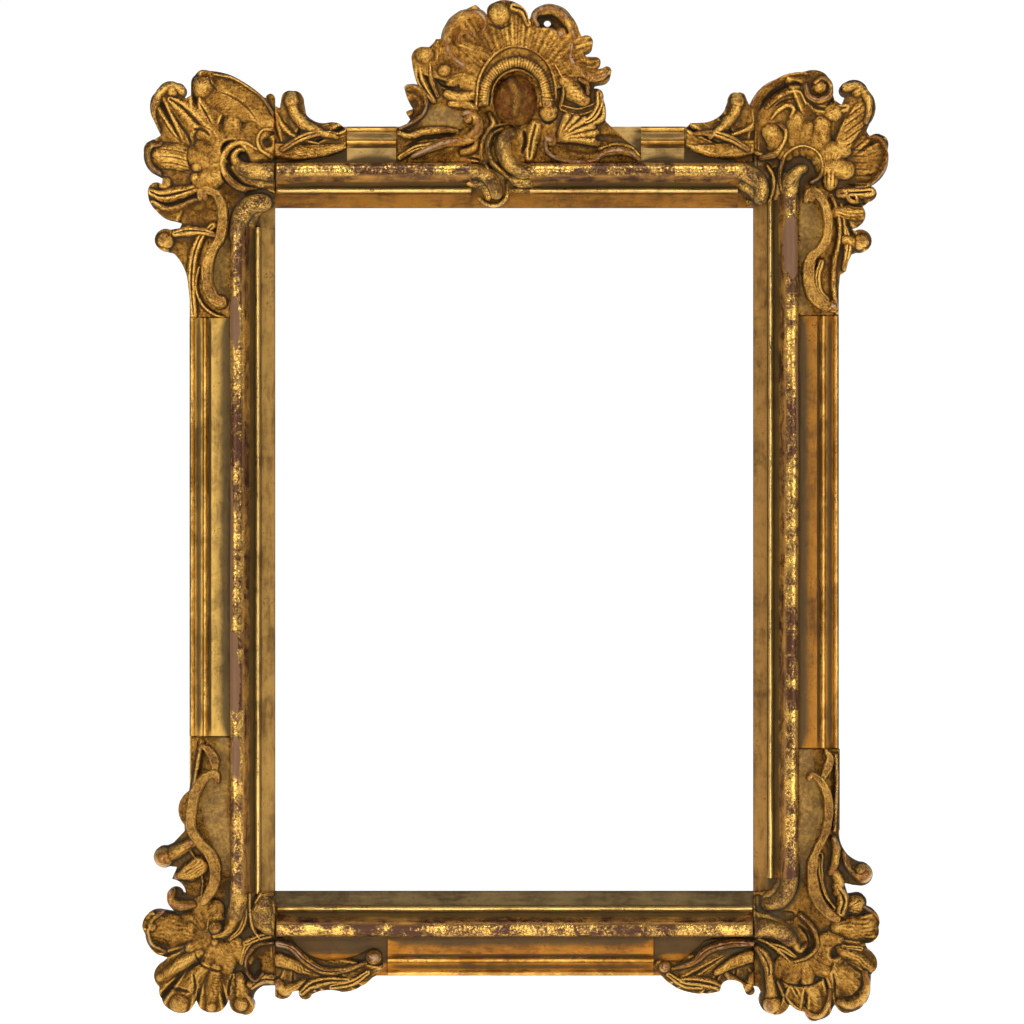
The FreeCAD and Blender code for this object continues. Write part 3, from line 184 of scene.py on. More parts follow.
def valleys_between(focus, tips):
    """Directions of the valleys between lobes, from the lobes' tips."""
    turns = sorted(math.degrees(math.atan2(y - focus[1], x - focus[0])) for x, y in tips)
    gaps = [(b - a) % 360 for a, b in zip(turns, turns[1:] + turns[:1])]
    first = (gaps.index(max(gaps)) + 1) % len(turns)
    turns = turns[first:] + [t + 360 for t in turns[:first]]
    middles = [(a + b) / 2 for a, b in zip(turns, turns[1:])]
    return [2 * turns[0] - middles[0]] + middles + [2 * turns[-1] - middles[-1]]


# Sections of a stroke: height from 0 to 1 by the place across it, from -1 to 1

ROLL_SIDES = 0.5


def fall(u, share):
    """1 inside a stroke, falling to 0 over the given share of its half width at each side."""
    return np.clip((1 - np.abs(u)) / share, 0, 1)


def bell(u, middle, width):
    return np.exp(-((u - middle) / width) ** 2)


def rounded(u):
    return np.clip(1 - u * u, 0, 1) ** 0.7


def ridge(u):
    return (1 - np.abs(u)) ** 0.8


def flat(u):
    return (1 - 0.35 * u * u) * fall(u, 1 / 3) ** 0.7


def scoop(u):
    """A hollow between two rounded rims."""
    return (0.35 + 0.65 * bell(np.abs(u), 0.78, 0.16)) * fall(u, 0.12) ** 0.5


def channel(u):
    """A broad band with a shallow hollow and thin raised rims."""
    body = 0.80 - 0.14 * np.cos(np.clip(u / 0.8, -1, 1) * math.pi / 2)
    return (body + 0.20 * bell(np.abs(u), 0.84, 0.10)) * fall(u, 0.14) ** 0.6


def half_round(u):
    """The mouldings' half-round roll, which stands on straight sides."""
    return ROLL_SIDES + (1 - ROLL_SIDES) * np.sqrt(np.clip(1 - u * u, 0, 1))


def left_rim(u):
    """High on the left of its direction, as the photograph shows it, and sloping down to the right."""
    slope = np.clip((1 + u) / 1.7, 0, 1)
    return slope ** 1.3 * np.clip((1 - u) / 0.2, 0, 1) ** 0.5


def right_rim(u):
    return left_rim(-u)


def leaf(u):
    """A rounded blade with a gouged middle vein."""
    return rounded(u) * (1 - 0.45 * bell(u, 0, 0.16))


# Relief: cell size, rounding of the edges and the width over which strokes melt together

STEP_MM = 0.65
ROUNDING_MM = 1.8
SOFT_UNION = 1.2
PROUD = 3
OUTSIDE = -9.0
FAR = 1e9
LEAST_DEPTH = 1.0
SOFTENING = 1.1
FINE_BLUR = 1.6
GROOVE_BLUR = 2.4
COARSE_BLUR = 8.0
FINISH_BLUR = 0.8
# Walls and backs read as deep hollows, so the shaders give them the dark dust-and-shade and crevice-shade
# colours.
WALL_VALUES = {"fine": -0.4, "coarse": -2.0, "groove": -1.0, "finish": 0.0}

# Waverings of a stroke and of the ground: amount, size in pixels and number of the pattern
EDGE_WAVER = (0.10, 9, 7)
GROOVE_WANDER = (0.22, 8, 6)
GROOVE_CHANGE = (0.4, 6, 8)
MARK_BEND = (1.4, 14, 3)
MARK_CHANGE = (0.5, 8, 4)
GROUND_SWELL = (1.0, 16, 0)
GROUND_GRAIN = ((1.0, 4.5, 1), (0.5, 2.2, 2))

GROOVE_DEPTH = 0.6
GROOVE_LEAST = 0.55
FRILL_WIDTH = 1.35
FRILL_SWAY = 0.16
FRILL_SPREAD = 0.10
FINE_MARKS = 0.57
MARK_CORE = 25


class Relief:
    """A height field over part of the photograph, with the signed distance to its outline."""

    def __init__(self, anchor, box_px, ground, seed):
        self.anchor = anchor
        self.seed = seed
        self.step = STEP_MM / PITCH
        x0, y0, x1, y1 = box_px
        self.x, self.y = np.meshgrid(np.arange(x0, x1, self.step), np.arange(y0, y1, self.step),
                                     indexing="ij")
        self.height = np.full(self.x.shape, float(ground))
        self.edge = np.full(self.x.shape, OUTSIDE)
        self.finish = np.zeros(self.x.shape)

    def waver(self, amount, size, number, window=...):
        return amount * lattice_noise(self.x[window], self.y[window], size, self.seed + number)

    def outline(self, rows):
        """Adds a closed outline to the piece's extent."""
        points = trace(rows)
        inside = np.zeros(self.x.shape, bool)
        nearest = np.full(self.x.shape, FAR)
        for a, b in zip(points, np.roll(points, -1, 0)):
            run = b - a
            t = ((self.x - a[0]) * run[0] + (self.y - a[1]) * run[1]) / max(run @ run, 1e-9)
            t = np.clip(t, 0, 1)
            gap = np.hypot(self.x - a[0] - t * run[0], self.y - a[1] - t * run[1])
            nearest = np.minimum(nearest, gap)
            if a[1] != b[1]:
                crossing = a[0] + (self.y - a[1]) * run[0] / run[1]
                inside ^= ((a[1] > self.y) != (b[1] > self.y)) & (self.x < crossing)
        self.edge = np.maximum(self.edge, np.where(inside, nearest, -nearest))

    def window(self, low, high):
        """Slices of the grid that cover a box of plan coordinates."""
        slices = []
        for axis, (a, b) in enumerate(zip(low, high)):
            start = self.x[0, 0] if axis == 0 else self.y[0, 0]
            count = self.x.shape[axis]
            first = int(np.clip((a - start) / self.step, 0, count))
            last = int(np.clip((b - start) / self.step + 2, 0, count))
            slices.append(slice(first, last))
        return tuple(slices)

    def along(self, path, widths):
        """Cells near a path: their window, distance from it (-1 to 1), place along it (0 to 1), half width
        and place across its direction."""
        line = smooth_path(path)
        reach = max(widths) / 2 + 1.5
        window = self.window(line.min(0) - reach, line.max(0) + reach)
        x = self.x[window]
        y = self.y[window]
        nearest = np.full(x.shape, FAR)
        index = np.zeros(x.shape, int)
        for k, (px, py) in enumerate(line):
            gap = (x - px) ** 2 + (y - py) ** 2
            closer = gap < nearest
            nearest[closer] = gap[closer]
            index[closer] = k
        t = index / (len(line) - 1)
        half = np.interp(t, np.linspace(0, 1, len(widths)), widths) / 2
        direction = np.gradient(line, axis=0)[index]
        offset = (x - line[index, 0]) * direction[..., 1] - (y - line[index, 1]) * direction[..., 0]
        across = offset / np.maximum(np.hypot(direction[..., 0], direction[..., 1]), 1e-6) / half
        return window, np.sign(offset) * np.sqrt(nearest) / half, t, half, across

    def band(self, path, widths, low, high, section=rounded, grooves=0, groove_depth=GROOVE_DEPTH,
             finish=MATTE, extend=False):
        """Raises a stroke: high may be one height or several that follow one another along it."""
        window, u, t, half, across = self.along(path, widths)
        u = u * (1 + self.waver(*EDGE_WAVER, window))
        heights = np.atleast_1d(high)
        top = np.interp(t, np.linspace(0, 1, len(heights)), heights)
        stroke = low + (top - low) * section(np.clip(u, -1, 1))
        if grooves:
            wander = across + self.waver(*GROOVE_WANDER, window)
            ribs = (0.5 + 0.5 * np.cos(math.pi * grooves * wander)) ** 1.5
            depth = groove_depth * (GROOVE_LEAST + self.waver(*GROOVE_CHANGE, window))
            stroke -= depth * ribs * np.clip(1.3 - np.abs(u), 0, 1)
        ground = self.height[window].copy()
        covered = (np.abs(u) < 1) & (stroke > ground - SOFT_UNION)
        joined = (stroke + ground + np.hypot(stroke - ground, SOFT_UNION / 2)) / 2
        self.height[window] = np.where(covered, np.where(stroke > ground + PROUD, stroke, joined), ground)
        covered &= stroke > ground
        self.finish[window] = np.where(covered, finish, self.finish[window])
        if extend:
            self.edge[window] = np.maximum(self.edge[window], (1 - np.abs(u)) * half)

    def roll(self, path, widths, high, finish):
        """The bent end of a moulding's roll."""
        self.band(path, widths, GROUND, high, half_round, finish=finish)

    def flank(self, path, widths, high, finish):
        """The low bed beside the end of a roll."""
        self.band(path, widths, GROUND, high, flat, finish=finish)

    def cut(self, path, widths, depth):
        """Gouges a groove below the present surface; it fades in and out at its ends."""
        window, u, t, _, _ = self.along(path, widths)
        fade = np.clip(np.minimum(t, 1 - t) * 6, 0, 1)
        self.height[window] -= depth * fade * fall(u, 1)

    def level(self, path, widths, height, softness=0.35, finish=MATTE):
        """Presses a stroke to one height, whether that lowers or raises it."""
        window, u, _, _, _ = self.along(path, widths)
        share = ease(fall(u, softness))
        self.height[window] = self.height[window] * (1 - share) + height * share
        self.finish[window] = self.finish[window] * (1 - share) + finish * share

    def frill(self, centre, inner, outer, start, end, count, low, high):
        """A fringe of small leaf tips round a centre, between two directions in degrees."""
        swing = math.radians(end - start) / (count - 1)
        width = FRILL_WIDTH * outer * abs(swing)
        for k in range(count):
            turn = math.radians(start) + swing * k
            sway = FRILL_SWAY * math.sin(1.7 * k)
            reach = outer * (1 + FRILL_SPREAD * math.sin(2.4 * k))
            steps = ((inner, turn), ((inner + reach) / 2, turn + sway / 2), (reach, turn + sway))
            points = [(centre[0] + r * math.cos(a), centre[1] + r * math.sin(a)) for r, a in steps]
            self.band(points, (0.8 * width, width, 0.75 * width), low, high, grooves=2)

    def inside_of(self, x, y, radius, stretch, turn):
        """Distance from a round or stretched spot's middle, 1 at its rim; turn is in degrees."""
        c, s = math.cos(math.radians(turn)), math.sin(math.radians(turn))
        dx = ((self.x - x) * c + (self.y - y) * s) / stretch
        dy = -(self.x - x) * s + (self.y - y) * c
        return np.hypot(dx, dy) / radius

    def ball(self, x, y, radius, low, high, stretch=1.0, turn=0.0, extend=False):
        """A dome; stretch lengthens it along the direction turn."""
        u = self.inside_of(x, y, radius, stretch, turn)
        dome = low + (high - low) * np.clip(1 - u * u, 0, 1) ** 0.6
        self.finish = np.where((u < 1) & (dome > self.height), MATTE, self.finish)
        self.height = np.where(u < 1, np.maximum(self.height, dome), self.height)
        if extend:
            self.edge = np.maximum(self.edge, (1 - u) * radius)

    def knob(self, x, y, radius, top=KNOB_TOP):
        self.ball(x, y, radius, LOBE_LOW, top)

    def pit(self, x, y, radius, depth, stretch=1.0, turn=0.0):
        u = self.inside_of(x, y, radius, stretch, turn)
        self.height -= depth * np.clip(1 - u * u, 0, 1) ** 1.5

    def pierce(self, x, y, radius):
        """A round hole right through the piece."""
        self.edge = np.minimum(self.edge, np.hypot(self.x - x, self.y - y) - radius)

    def fan(self, focus, valleys, low, high, start, reach, ribs=4, rib_depth=0.45, hollow=0.28):
        """Shell lobes between valley directions, in degrees as a clock's hand runs from the right, each
        hollow between rims that rise towards the edge."""
        dx = self.x - focus[0]
        dy = self.y - focus[1]
        radius = np.hypot(dx, dy)
        along = np.clip((radius - start) / (reach - start), 0, 1.3)
        first = valleys[0]
        angle = first + (np.degrees(np.arctan2(dy, dx)) - first) % 360
        for a, b in zip(valleys, valleys[1:]):
            within = (angle >= a) & (angle < b) & (radius > start)
            s = np.clip((angle - a) / (b - a) * 2 - 1, -1, 1)
            rim = fall(s, 1 / 4) ** 0.7
            scooped = 1 - hollow * np.cos(np.clip(s / 0.8, -1, 1) * math.pi / 2) ** 1.2
            lobe = low + (high - low) * np.clip(along, 0, 1) ** 0.7 * rim * scooped
            lobe -= rib_depth * (0.5 + 0.5 * np.cos(s * math.pi * ribs)) * np.clip(along * 2, 0, 1)
            blend = np.clip(along * 5, 0, 1)
            self.height = np.where(within, self.height * (1 - blend) + lobe * blend, self.height)

    def lobes(self, focus, tips, low, high, start_share, reach_share):
        """A fan whose lobes end at the given tips."""
        reach = max(math.dist(focus, tip) for tip in tips)
        self.fan(focus, valleys_between(focus, tips), low, high, start_share * reach, reach_share * reach)

    def draw(self, strokes):
        """Carries out a table of strokes, each a method's own name followed by its values."""
        for kind, *form in strokes:
            kind(self, *form)

    def tool_marks(self, focus, wavelength, depth):
        """Fine marks that run out from a focus."""
        dx = self.x - focus[0]
        dy = self.y - focus[1]
        across = np.arctan2(dy, dx) * np.maximum(np.hypot(dx, dy) + 1, MARK_CORE)
        bend = self.waver(*MARK_BEND) * wavelength
        marks = np.cos((across + bend) * math.tau / wavelength)
        marks += 0.5 * np.cos((across + 2 * bend) * math.tau / (FINE_MARKS * wavelength))
        strength = 0.5 + self.waver(*MARK_CHANGE)
        mask = np.clip(1 - np.abs(self.finish), 0, 1) * np.clip((self.height - FIELD) / 3, 0, 1)
        self.height += depth * marks * strength * mask

    def roughen(self, fine, coarse):
        self.height += coarse * self.waver(*GROUND_SWELL)
        for pattern in GROUND_GRAIN:
            self.height += fine * self.waver(*pattern)

    def build(self, name, back, rounding=ROUNDING_MM):
        """Closed mesh: the relief, walls straight back from its outline, and a flat back."""
        distance = np.clip(self.edge * PITCH, 0, rounding)
        drop = rounding - np.sqrt(np.clip(rounding ** 2 - (rounding - distance) ** 2, 0, None))
        height = np.maximum(blur(self.height, SOFTENING) - drop, back + LEAST_DEPTH)
        inside = self.edge > 0
        cells = inside[:-1, :-1] | inside[1:, :-1] | inside[1:, 1:] | inside[:-1, 1:]
        number = np.arange(self.x.size).reshape(self.x.shape)
        quads = np.stack([number[:-1, :-1][cells], number[:-1, 1:][cells],
                          number[1:, 1:][cells], number[1:, :-1][cells]], -1)
        slope_x, slope_y = np.gradient(self.edge, self.step)
        steep = np.maximum(slope_x ** 2 + slope_y ** 2, 0.3)
        shift = np.where(inside, 0, -self.edge / steep)
        shift = np.clip(shift, 0, 1.5 * self.step)
        x = self.x + shift * slope_x
        y = self.y + shift * slope_y
        used = np.unique(quads)
        compact = np.full(self.x.size, -1)
        compact[used] = np.arange(len(used))
        quads = compact[quads]
        top = self.anchor.place(x.ravel()[used], y.ravel()[used], height.ravel()[used])
        sides = np.concatenate([quads[:, [k, (k + 1) % 4]] for k in range(4)])
        key = np.sort(sides, 1)
        _, place, count = np.unique(key[:, 0] * len(used) + key[:, 1], return_index=True, return_counts=True)
        rim = sides[place[count == 1]]
        rim_points = np.unique(rim)
        low = np.full(len(used), -1)
        low[rim_points] = np.arange(len(rim_points)) + len(used)
        bottom = top[rim_points].copy()
        bottom[:, 1] = -back * MM
        walls = np.stack([rim[:, 1], rim[:, 0], low[rim[:, 0]], low[rim[:, 1]]], -1)
        mesh = bpy.data.meshes.new(name)
        mesh.from_pydata(np.vstack([top, bottom]).tolist(), [], np.vstack([quads, walls]).tolist())
        fill_back(mesh, low[rim])
        # How far each point stands above or sinks below its surroundings. The gilding shaders use these for
        # wear, and to paint shade in hollows and a highlight on what stands out.
        values = {"fine": self.height - blur(self.height, FINE_BLUR),
                  "coarse": self.height - blur(self.height, COARSE_BLUR),
                  "groove": self.height - blur(self.height, GROOVE_BLUR),
                  "finish": blur(self.finish, FINISH_BLUR)}
        for key_name, field in values.items():
            data = np.full(len(mesh.vertices), WALL_VALUES[key_name])
            data[:len(used)] = field.ravel()[used]
            put_attribute(mesh, key_name, data)
        return finish_piece(name, mesh)


BAND = Relief.band
ROLL = Relief.roll
FLANK = Relief.flank
CUT = Relief.cut
LEVEL = Relief.level
FRILL = Relief.frill
BALL = Relief.ball
KNOB = Relief.knob
PIT = Relief.pit
PIERCE = Relief.pierce
FAN = Relief.fan


def put_attribute(mesh, name, values):
    layer = mesh.attributes.new(name, "FLOAT", "POINT")
    layer.data.foreach_set("value", np.asarray(values, np.float32))


def fill_back(mesh, low_edges):
    """Closes a mesh with a flat face set on the loops of its lowest edges."""
    work = bmesh.new()
    work.from_mesh(mesh)
    work.verts.ensure_lookup_table()
    edges = [work.edges.get((work.verts[a], work.verts[b])) for a, b in low_edges.tolist()]
    edges = [edge for edge in edges if edge is not None]
    bmesh.ops.triangle_fill(work, edges=edges, use_beauty=False, use_dissolve=False)
    bmesh.ops.recalc_face_normals(work, faces=work.faces[:])
    work.to_mesh(mesh)
    work.free()


def finish_piece(name, mesh):
    mesh.shade_smooth()
    mesh.set_sharp_from_angle(angle=math.radians(55))
    piece = bpy.data.objects.new(name, mesh)
    bpy.context.scene.collection.objects.link(piece)
    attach(piece, "frame")
    return piece


# Carved pieces: outlines, the beds of the rolls' ends, the focus of each shell's lobes and their tips,
# and the strokes in the order in which they are cut. A BAND gives its path, its widths, the heights
# of its ground and its top, its section and its grooves; a CUT, a LEVEL and a FLANK begin alike.

TOP_LEFT_OUTLINE_PX = (
    (275.4, 193), (275.4, 97), (272, 93.5, 268, 100.5), (252, 87, 233, 76.2), (222, 72.8, 211, 71.5),
    (197, 74, 192.5, 84), (192.3, 96), (187.5, 98.8), (183.5, 97), (186.5, 88, 179, 83.8),
    (171, 81.8, 161, 88), (152, 102, 155, 120), (162, 135.5), (156, 139.5), (147.5, 143.5, 145, 152.5),
    (146.5, 164, 152, 172), (164, 178.3), (163.5, 185), (154, 183, 149.3, 189.5),
    (150.5, 201, 158, 211.4), (165, 217.5, 175, 220.5), (183, 223), (181, 228), (172, 230),
    (156, 240, 167, 251), (174.5, 253), (184, 266, 189, 283), (190.8, 300), (190.8, 317.5),
    (231.5, 317.5), (231.5, 193),
)
TOP_LEFT_BED_PX = ((226, 190), (275.6, 190), (275.6, 206.5), (263, 212), (256, 229), (226, 229))
TOP_LEFT_FOCUS_PX = (199, 172)
TOP_LEFT_TIPS_PX = ((219, 78), (176, 92), (156, 122), (147, 155), (151, 192), (168, 216))
TOP_LEFT_STROKES_PX = (
    # the leaf at the upper right, with a rolled rim and gouged veins
    (LEVEL, ((222, 96), (238, 102), (252, 110), (264, 124)), (40, 46, 40, 24), 26),
    (BAND, ((222, 94), (238, 99), (253, 109), (265, 123)), (36, 44, 38, 22), 25, 32),
    (BAND, ((216, 76), (232, 80), (250, 90), (264, 101), (273, 114)), (4, 6, 6, 5), 25, 34, left_rim),
    (CUT, ((218, 92), (234, 98), (248, 108), (259, 122)), (2, 3.5, 3.5, 2), 1.6),
    # hook lobe, main petal with its crease and the scalloped lobes down the side
    (BAND, ((186, 92), (173, 87), (162, 94), (156, 106), (155, 118), (160, 130)), (12, 13, 11, 8, 5),
     24, 35),
    (BAND, ((216, 140), (200, 124), (184, 108), (172, 100)), (30, 34, 26, 12), 21, 31, leaf),
    (CUT, ((170, 107), (181, 124), (190, 138), (194, 153)), (2.5, 4, 4, 2.5), 2.6),
    (CUT, ((200, 102), (206, 112), (214, 126)), (2, 3.5, 2), 2),
    (CUT, ((163, 118), (172, 132), (184, 144)), (2, 3, 2), 1.6),
    (BAND, ((200, 164), (182, 158), (162, 156)), (14, 30, 28), 20, 30, rounded, 6),
    (BAND, ((160, 143), (151, 145), (147.5, 154), (150, 166), (160, 174)), (8, 10, 9, 8, 5),
     22, 34, left_rim),
    (BALL, 166, 184, 7, 21, 31),
    (BAND, ((198, 188), (178, 194), (162, 196), (152, 192)), (10, 16, 18, 10), 20, 31, leaf, 4, 1),
    (BAND, ((196, 202), (180, 210), (166, 212), (154, 204)), (8, 11, 12, 8), 20, 32, right_rim, 3),
    *[(CUT, ((160, y), (176, y + 1), (193, y + 6)), (1.5, 2.6, 1.5), 1.4)
      for y in (142, 150, 157, 163, 169)],
    # pierced rocaille round the focus
    (LEVEL, ((205, 140), (200, 160), (203, 182)), (26, 26, 20), 22),
    (FRILL, (240, 164), 20, 42, 155, 335, 8, 24, 30),
    *[(BALL, x, y, r, 22, 30) for x, y, r in ((207, 133, 6), (199, 166, 7), (197, 178, 6))],
    (CUT, ((194, 130), (204, 130), (212, 137)), (3, 6, 3), 4),
    # channel beside the roll, and the leaf that runs down from the lowest knob
    (BAND, ((214, 226), (203, 236), (196, 252), (193, 272), (193, 292), (195, 315)), (9, 12, 12, 11, 9),
     20, 28, leaf, 3),
    (BAND, ((176, 234), (190, 231), (206, 232), (218, 236)), (8, 12, 10, 5), 21, 31, leaf, 4),
    (LEVEL, ((224, 244), (221, 262), (221, 282), (226, 300)), (14, 20, 20, 12), 20.5, 0.6, PAINTED),
    (BAND, ((200, 268), (197, 286), (202, 302), (213, 313), (224, 317)), (4, 5, 5, 4), 21, 27, ridge),
    (KNOB, 204, 87.5, 12),
    (KNOB, 166, 241, 9.5),
    (KNOB, 174, 91, 8),
    (KNOB, 205, 87, 13.5, 38),
    (CUT, ((210, 77), (213, 85), (219, 92)), (2, 3.5, 2), 3),
    # ends of the rolls: the top one curls round a dark hollow, the left one bends right under it
    (LEVEL, ((232, 150), (240, 162), (232, 176), (250, 182)), (22, 26, 20, 14), 19.5),
    (BAND, ((258, 150), (247, 143.5), (236, 144), (227.5, 151), (223.5, 161), (225, 172), (232, 181),
     (242, 188), (256, 191)), (5, 7, 8, 8, 8, 8, 8, 7), 21, 31),
    (FLANK, ((276, 177), (262, 178), (248, 176), (236, 168)), (24, 24, 20, 10), 27, 0.6),
    (ROLL, ((276.5, 172.1), (262, 172), (250, 170.5), (242, 167)), (17.5, 17.5, 16, 11),
     (ROLL_HEIGHT, ROLL_HEIGHT, 35), 1),
    (BAND, ((250, 171), (241, 166), (235, 157), (240, 150), (248, 150)), (15, 13, 10, 8, 5),
     GROUND, (34, 30, 27), rounded, 2, 0.9, 0.3),
    (LEVEL, ((252, 196), (262, 194), (272, 196)), (14, 14, 10), 19.5),
    (FLANK, ((246, 236), (247, 222), (253, 212), (262, 208)), (23, 23, 20, 14), 27, 0.8),
    (ROLL, ((240.4, 236), (241.2, 222), (245.5, 211), (254, 204), (264, 203.5)), (17.5, 17.5, 18, 18, 17),
     ROLL_HEIGHT, 1),
    (BALL, 265, 204, 8.8, GROUND, ROLL_HEIGHT - 0.5),
    (CUT, ((246, 210), (251, 213), (256, 214)), (1.5, 2.5, 1.5), 1.6),
    (BAND, ((275, 130), (264, 131), (259, 140), (262, 150), (272, 157)), (4, 6, 7, 5), 21, 32),
    (PIT, 269, 143, 7, 6),
)

TOP_RIGHT_OUTLINE_PX = (
    (754.8, 193), (754.8, 109), (750.5, 104.7), (761, 89, 776, 80.3), (789, 74.5, 803.4, 73),
    (824, 73.5, 833.3, 87), (833.5, 96), (835, 100.5), (842.6, 105.5), (846.3, 96.5),
    (840.5, 89, 846, 82.8), (860, 81.5, 868, 91), (876, 108, 870, 124), (867.1, 131), (870, 137),
    (882, 134.5, 887.3, 150.6), (886, 172, 870, 186.3), (877, 191, 871, 200.8), (863.2, 207),
    (865, 220, 851, 227.8), (855, 231), (872.3, 241, 858, 252), (852.6, 254), (849, 262), (846.8, 271),
    (841, 275), (839.5, 290), (839.5, 315.5), (798.5, 315.5), (798.5, 193),
)
TOP_RIGHT_BED_PX = ((737, 163), (760, 163), (760, 190), (797, 190), (797, 196), (776, 200),
                    (756, 206.5), (748, 206.5), (743, 193), (737, 184))
TOP_RIGHT_FOCUS_PX = (829, 176)
TOP_RIGHT_TIPS_PX = ((808, 80), (852, 92), (870, 122), (884, 152), (874, 194), (860, 217))
TOP_RIGHT_STROKES_PX = (
    # the leaf at the upper left, with its rolled rim, its furrows and a small hook
    (BAND, ((790, 150), (782, 130), (780, 112), (788, 94)), (18, 40, 50, 34), LOBE_LOW, 27),
    (BAND, ((751, 122), (756, 103), (766, 90), (784, 80), (804, 76)), (7, 10, 11, 10, 9), 23, 35, left_rim),
    (CUT, ((759, 112), (768, 98), (782, 88), (796, 84), (807, 89)), (3, 6, 7, 7, 4), 6),
    (BAND, ((767, 108), (777, 99), (789, 93), (800, 93), (806, 104)), (4, 8, 9, 8, 5), 23, 32, ridge),
    (CUT, ((774, 108), (785, 101), (797, 99)), (2, 4, 2), 3),
    (BAND, ((772, 119), (779, 111), (788, 106), (794, 110), (791, 118)), (3, 6, 7, 5), 23, 30),
    (BAND, ((806, 100), (818, 108), (832, 110), (846, 108)), (14, 20, 20, 14), 20, 30, leaf, 5),
    (BALL, 833, 112, 12, 21, 32),
    # hook lobe, hatched neck, scallop with a raised rim and the lobes below it
    (BAND, ((846, 88), (857, 88), (867, 97), (869, 110), (866, 122)), (12, 14, 13, 9, 6), 24, 36),
    (BAND, ((836, 158), (846, 138), (856, 120), (862, 108)), (12, 24, 26, 18), 20, 31, flat),
    *[(CUT, ((866, y - 8), (854, y + 1), (843, y + 9)), (1.5, 3, 1.5), 1.7)
      for y in 112 + 7.2 * np.arange(6)],
    (BAND, ((870, 138), (880, 142), (885, 154), (881, 170), (870, 183), (858, 186)), (6, 9, 9, 7, 6),
     23, 35, left_rim),
    *[(CUT, ((842, y), (856, y), (870, y + 0.5)), (1.6, 3, 1.5), 1.6)
      for y in (150, 156, 162.5, 169, 175.5)],
    (CUT, ((846, 184), (860, 186), (872, 186)), (2, 4, 3), 5),
    (BAND, ((840, 194), (856, 193), (871, 192)), (10, 13, 13), 21, 32, leaf, 3),
    (CUT, ((846, 203), (858, 204), (868, 203)), (2, 4, 2), 4),
    (BAND, ((838, 212), (850, 213), (861, 214)), (14, 18, 17), 21, 31, rounded, 5, 1.3),
    (BAND, ((846, 240), (856, 242)), (12, 14), 22, 31),
    (BAND, ((846, 228), (849, 246), (845, 268)), (6, 9, 6), 22, 29, leaf),
    # mask of rocaille round the focus: a split leaf, a rosette, a curl and beads
    (LEVEL, ((800, 140), (815, 138), (828, 150)), (28, 34, 26), 21),
    (FRILL, (800, 172), 26, 48, 235, 350, 6, 24, 32),
    (BALL, 831, 180, 8.5, 20, 31, 1.35, 90),
    *[(CUT, ((x, 171), (x, 189)), (1.5, 2.4, 1.5), 2) for x in (827, 831, 835)],
    (BAND, ((845, 190), (850, 200), (857, 202), (856, 195)), (5, 6, 4), 22, 31),
    # the two channels that run down beside the scroll
    (BAND, ((832, 196), (839, 215), (840, 238), (835, 262), (834, 288), (838, 312)), (6, 7, 8, 8, 7),
     21, 29, ridge),
    (BAND, ((842, 205), (845, 225), (846, 250)), (5, 7, 5), 21, 28, ridge),
    (BAND, ((822, 262), (818, 276), (820, 290), (828, 300)), (8, 9, 7, 5), 20, 27, leaf, 2),
    (LEVEL, ((808, 206), (810, 222), (810, 240), (803, 256)), (18, 28, 24, 14), 20.5, 0.6, PAINTED),
    (LEVEL, ((801, 270), (801, 290), (806, 310)), (10, 10, 12), 20.5, 0.6, PAINTED),
    (KNOB, 820, 88, 11.5),
    (KNOB, 862, 242, 9.5),
    (KNOB, 858, 92, 8),
    (KNOB, 820, 88, 14, 34),
    (BAND, ((806, 86), (809, 97), (820, 101), (830, 95), (830, 84), (822, 79), (815, 84)),
     (5, 7, 8, 8, 7, 6, 5), 26, 38),
    # ends of the rolls
    (LEVEL, ((740, 184), (750, 194), (772, 190), (776, 172)), (12, 16, 18, 12), 19.5),
    (FLANK, ((734, 177), (744, 179), (752, 185), (757, 194)), (24, 24, 20, 14), 27, 0.8),
    (ROLL, ((734, 172.1), (745, 172.8), (754, 177), (760.5, 184), (762.5, 192), (761, 199)),
     (17.5, 17.5, 17.5, 16, 14, 12), ROLL_HEIGHT, 1),
    (BAND, ((768, 166), (774, 177), (774, 190), (770, 202)), (5, 6, 6, 4), GROUND, 27),
    (CUT, ((758, 131), (758, 168), (759.5, 205)), (1.6, 1.8, 1.4), 4),
    (FLANK, ((784, 200), (784.5, 188), (788, 178)), (23, 21, 14), 27, 0.8),
    (ROLL, ((789.8, 200), (790.5, 188), (793.5, 178), (799, 171), (804, 169)), (17.5, 17, 15.5, 12, 8),
     ROLL_HEIGHT, 1),
    (BAND, ((783, 190), (782, 172), (788, 157), (800, 150), (813, 153), (820, 163), (819, 175),
     (812, 181)), (5, 6, 8, 8, 7, 6), 21, 34, left_rim),
    (BAND, ((762, 158), (776, 154), (784, 143), (786, 132), (780, 125)), (5, 8, 8, 6, 4), 22, 34),
    (BALL, 777, 131, 6.5, 21, 29, 1.3, 90),
    (BAND, ((754, 152), (764, 155), (776, 153)), (4, 5, 4), 21, 28),
)

BOTTOM_LEFT_OUTLINE_PX = (
    (272.6, 925), (272.6, 985.5), (262, 986), (254, 992, 251, 1000), (250, 1012, 240, 1013),
    (231, 1009, 228, 998), (226.5, 996.5), (223, 1007, 211.4, 1011.8), (201, 1009, 194, 994.5),
    (192.3, 993.3), (190, 1008, 180.6, 1012.4), (166, 1007, 158, 986), (152.5, 976, 160.5, 962.6),
    (166.8, 957.3), (150, 949, 144, 934), (144, 916, 158, 909.8), (174, 912.5),
    (166.8, 903, 165.8, 892.6), (172, 887.5, 181, 893.3), (184, 894), (179, 883, 170, 879), (175.3, 867.1),
    (168, 866.3), (151.8, 856.5, 165, 846.2), (171, 843.4), (182.7, 831), (182.5, 825),
    (176.5, 808, 187, 791), (189, 780), (189, 737), (228.7, 737), (228.7, 925),
)
BOTTOM_LEFT_BED_PX = ((227, 892), (273.6, 892), (273.6, 930), (227, 930))
BOTTOM_LEFT_FOCUS_PX = (208, 938)
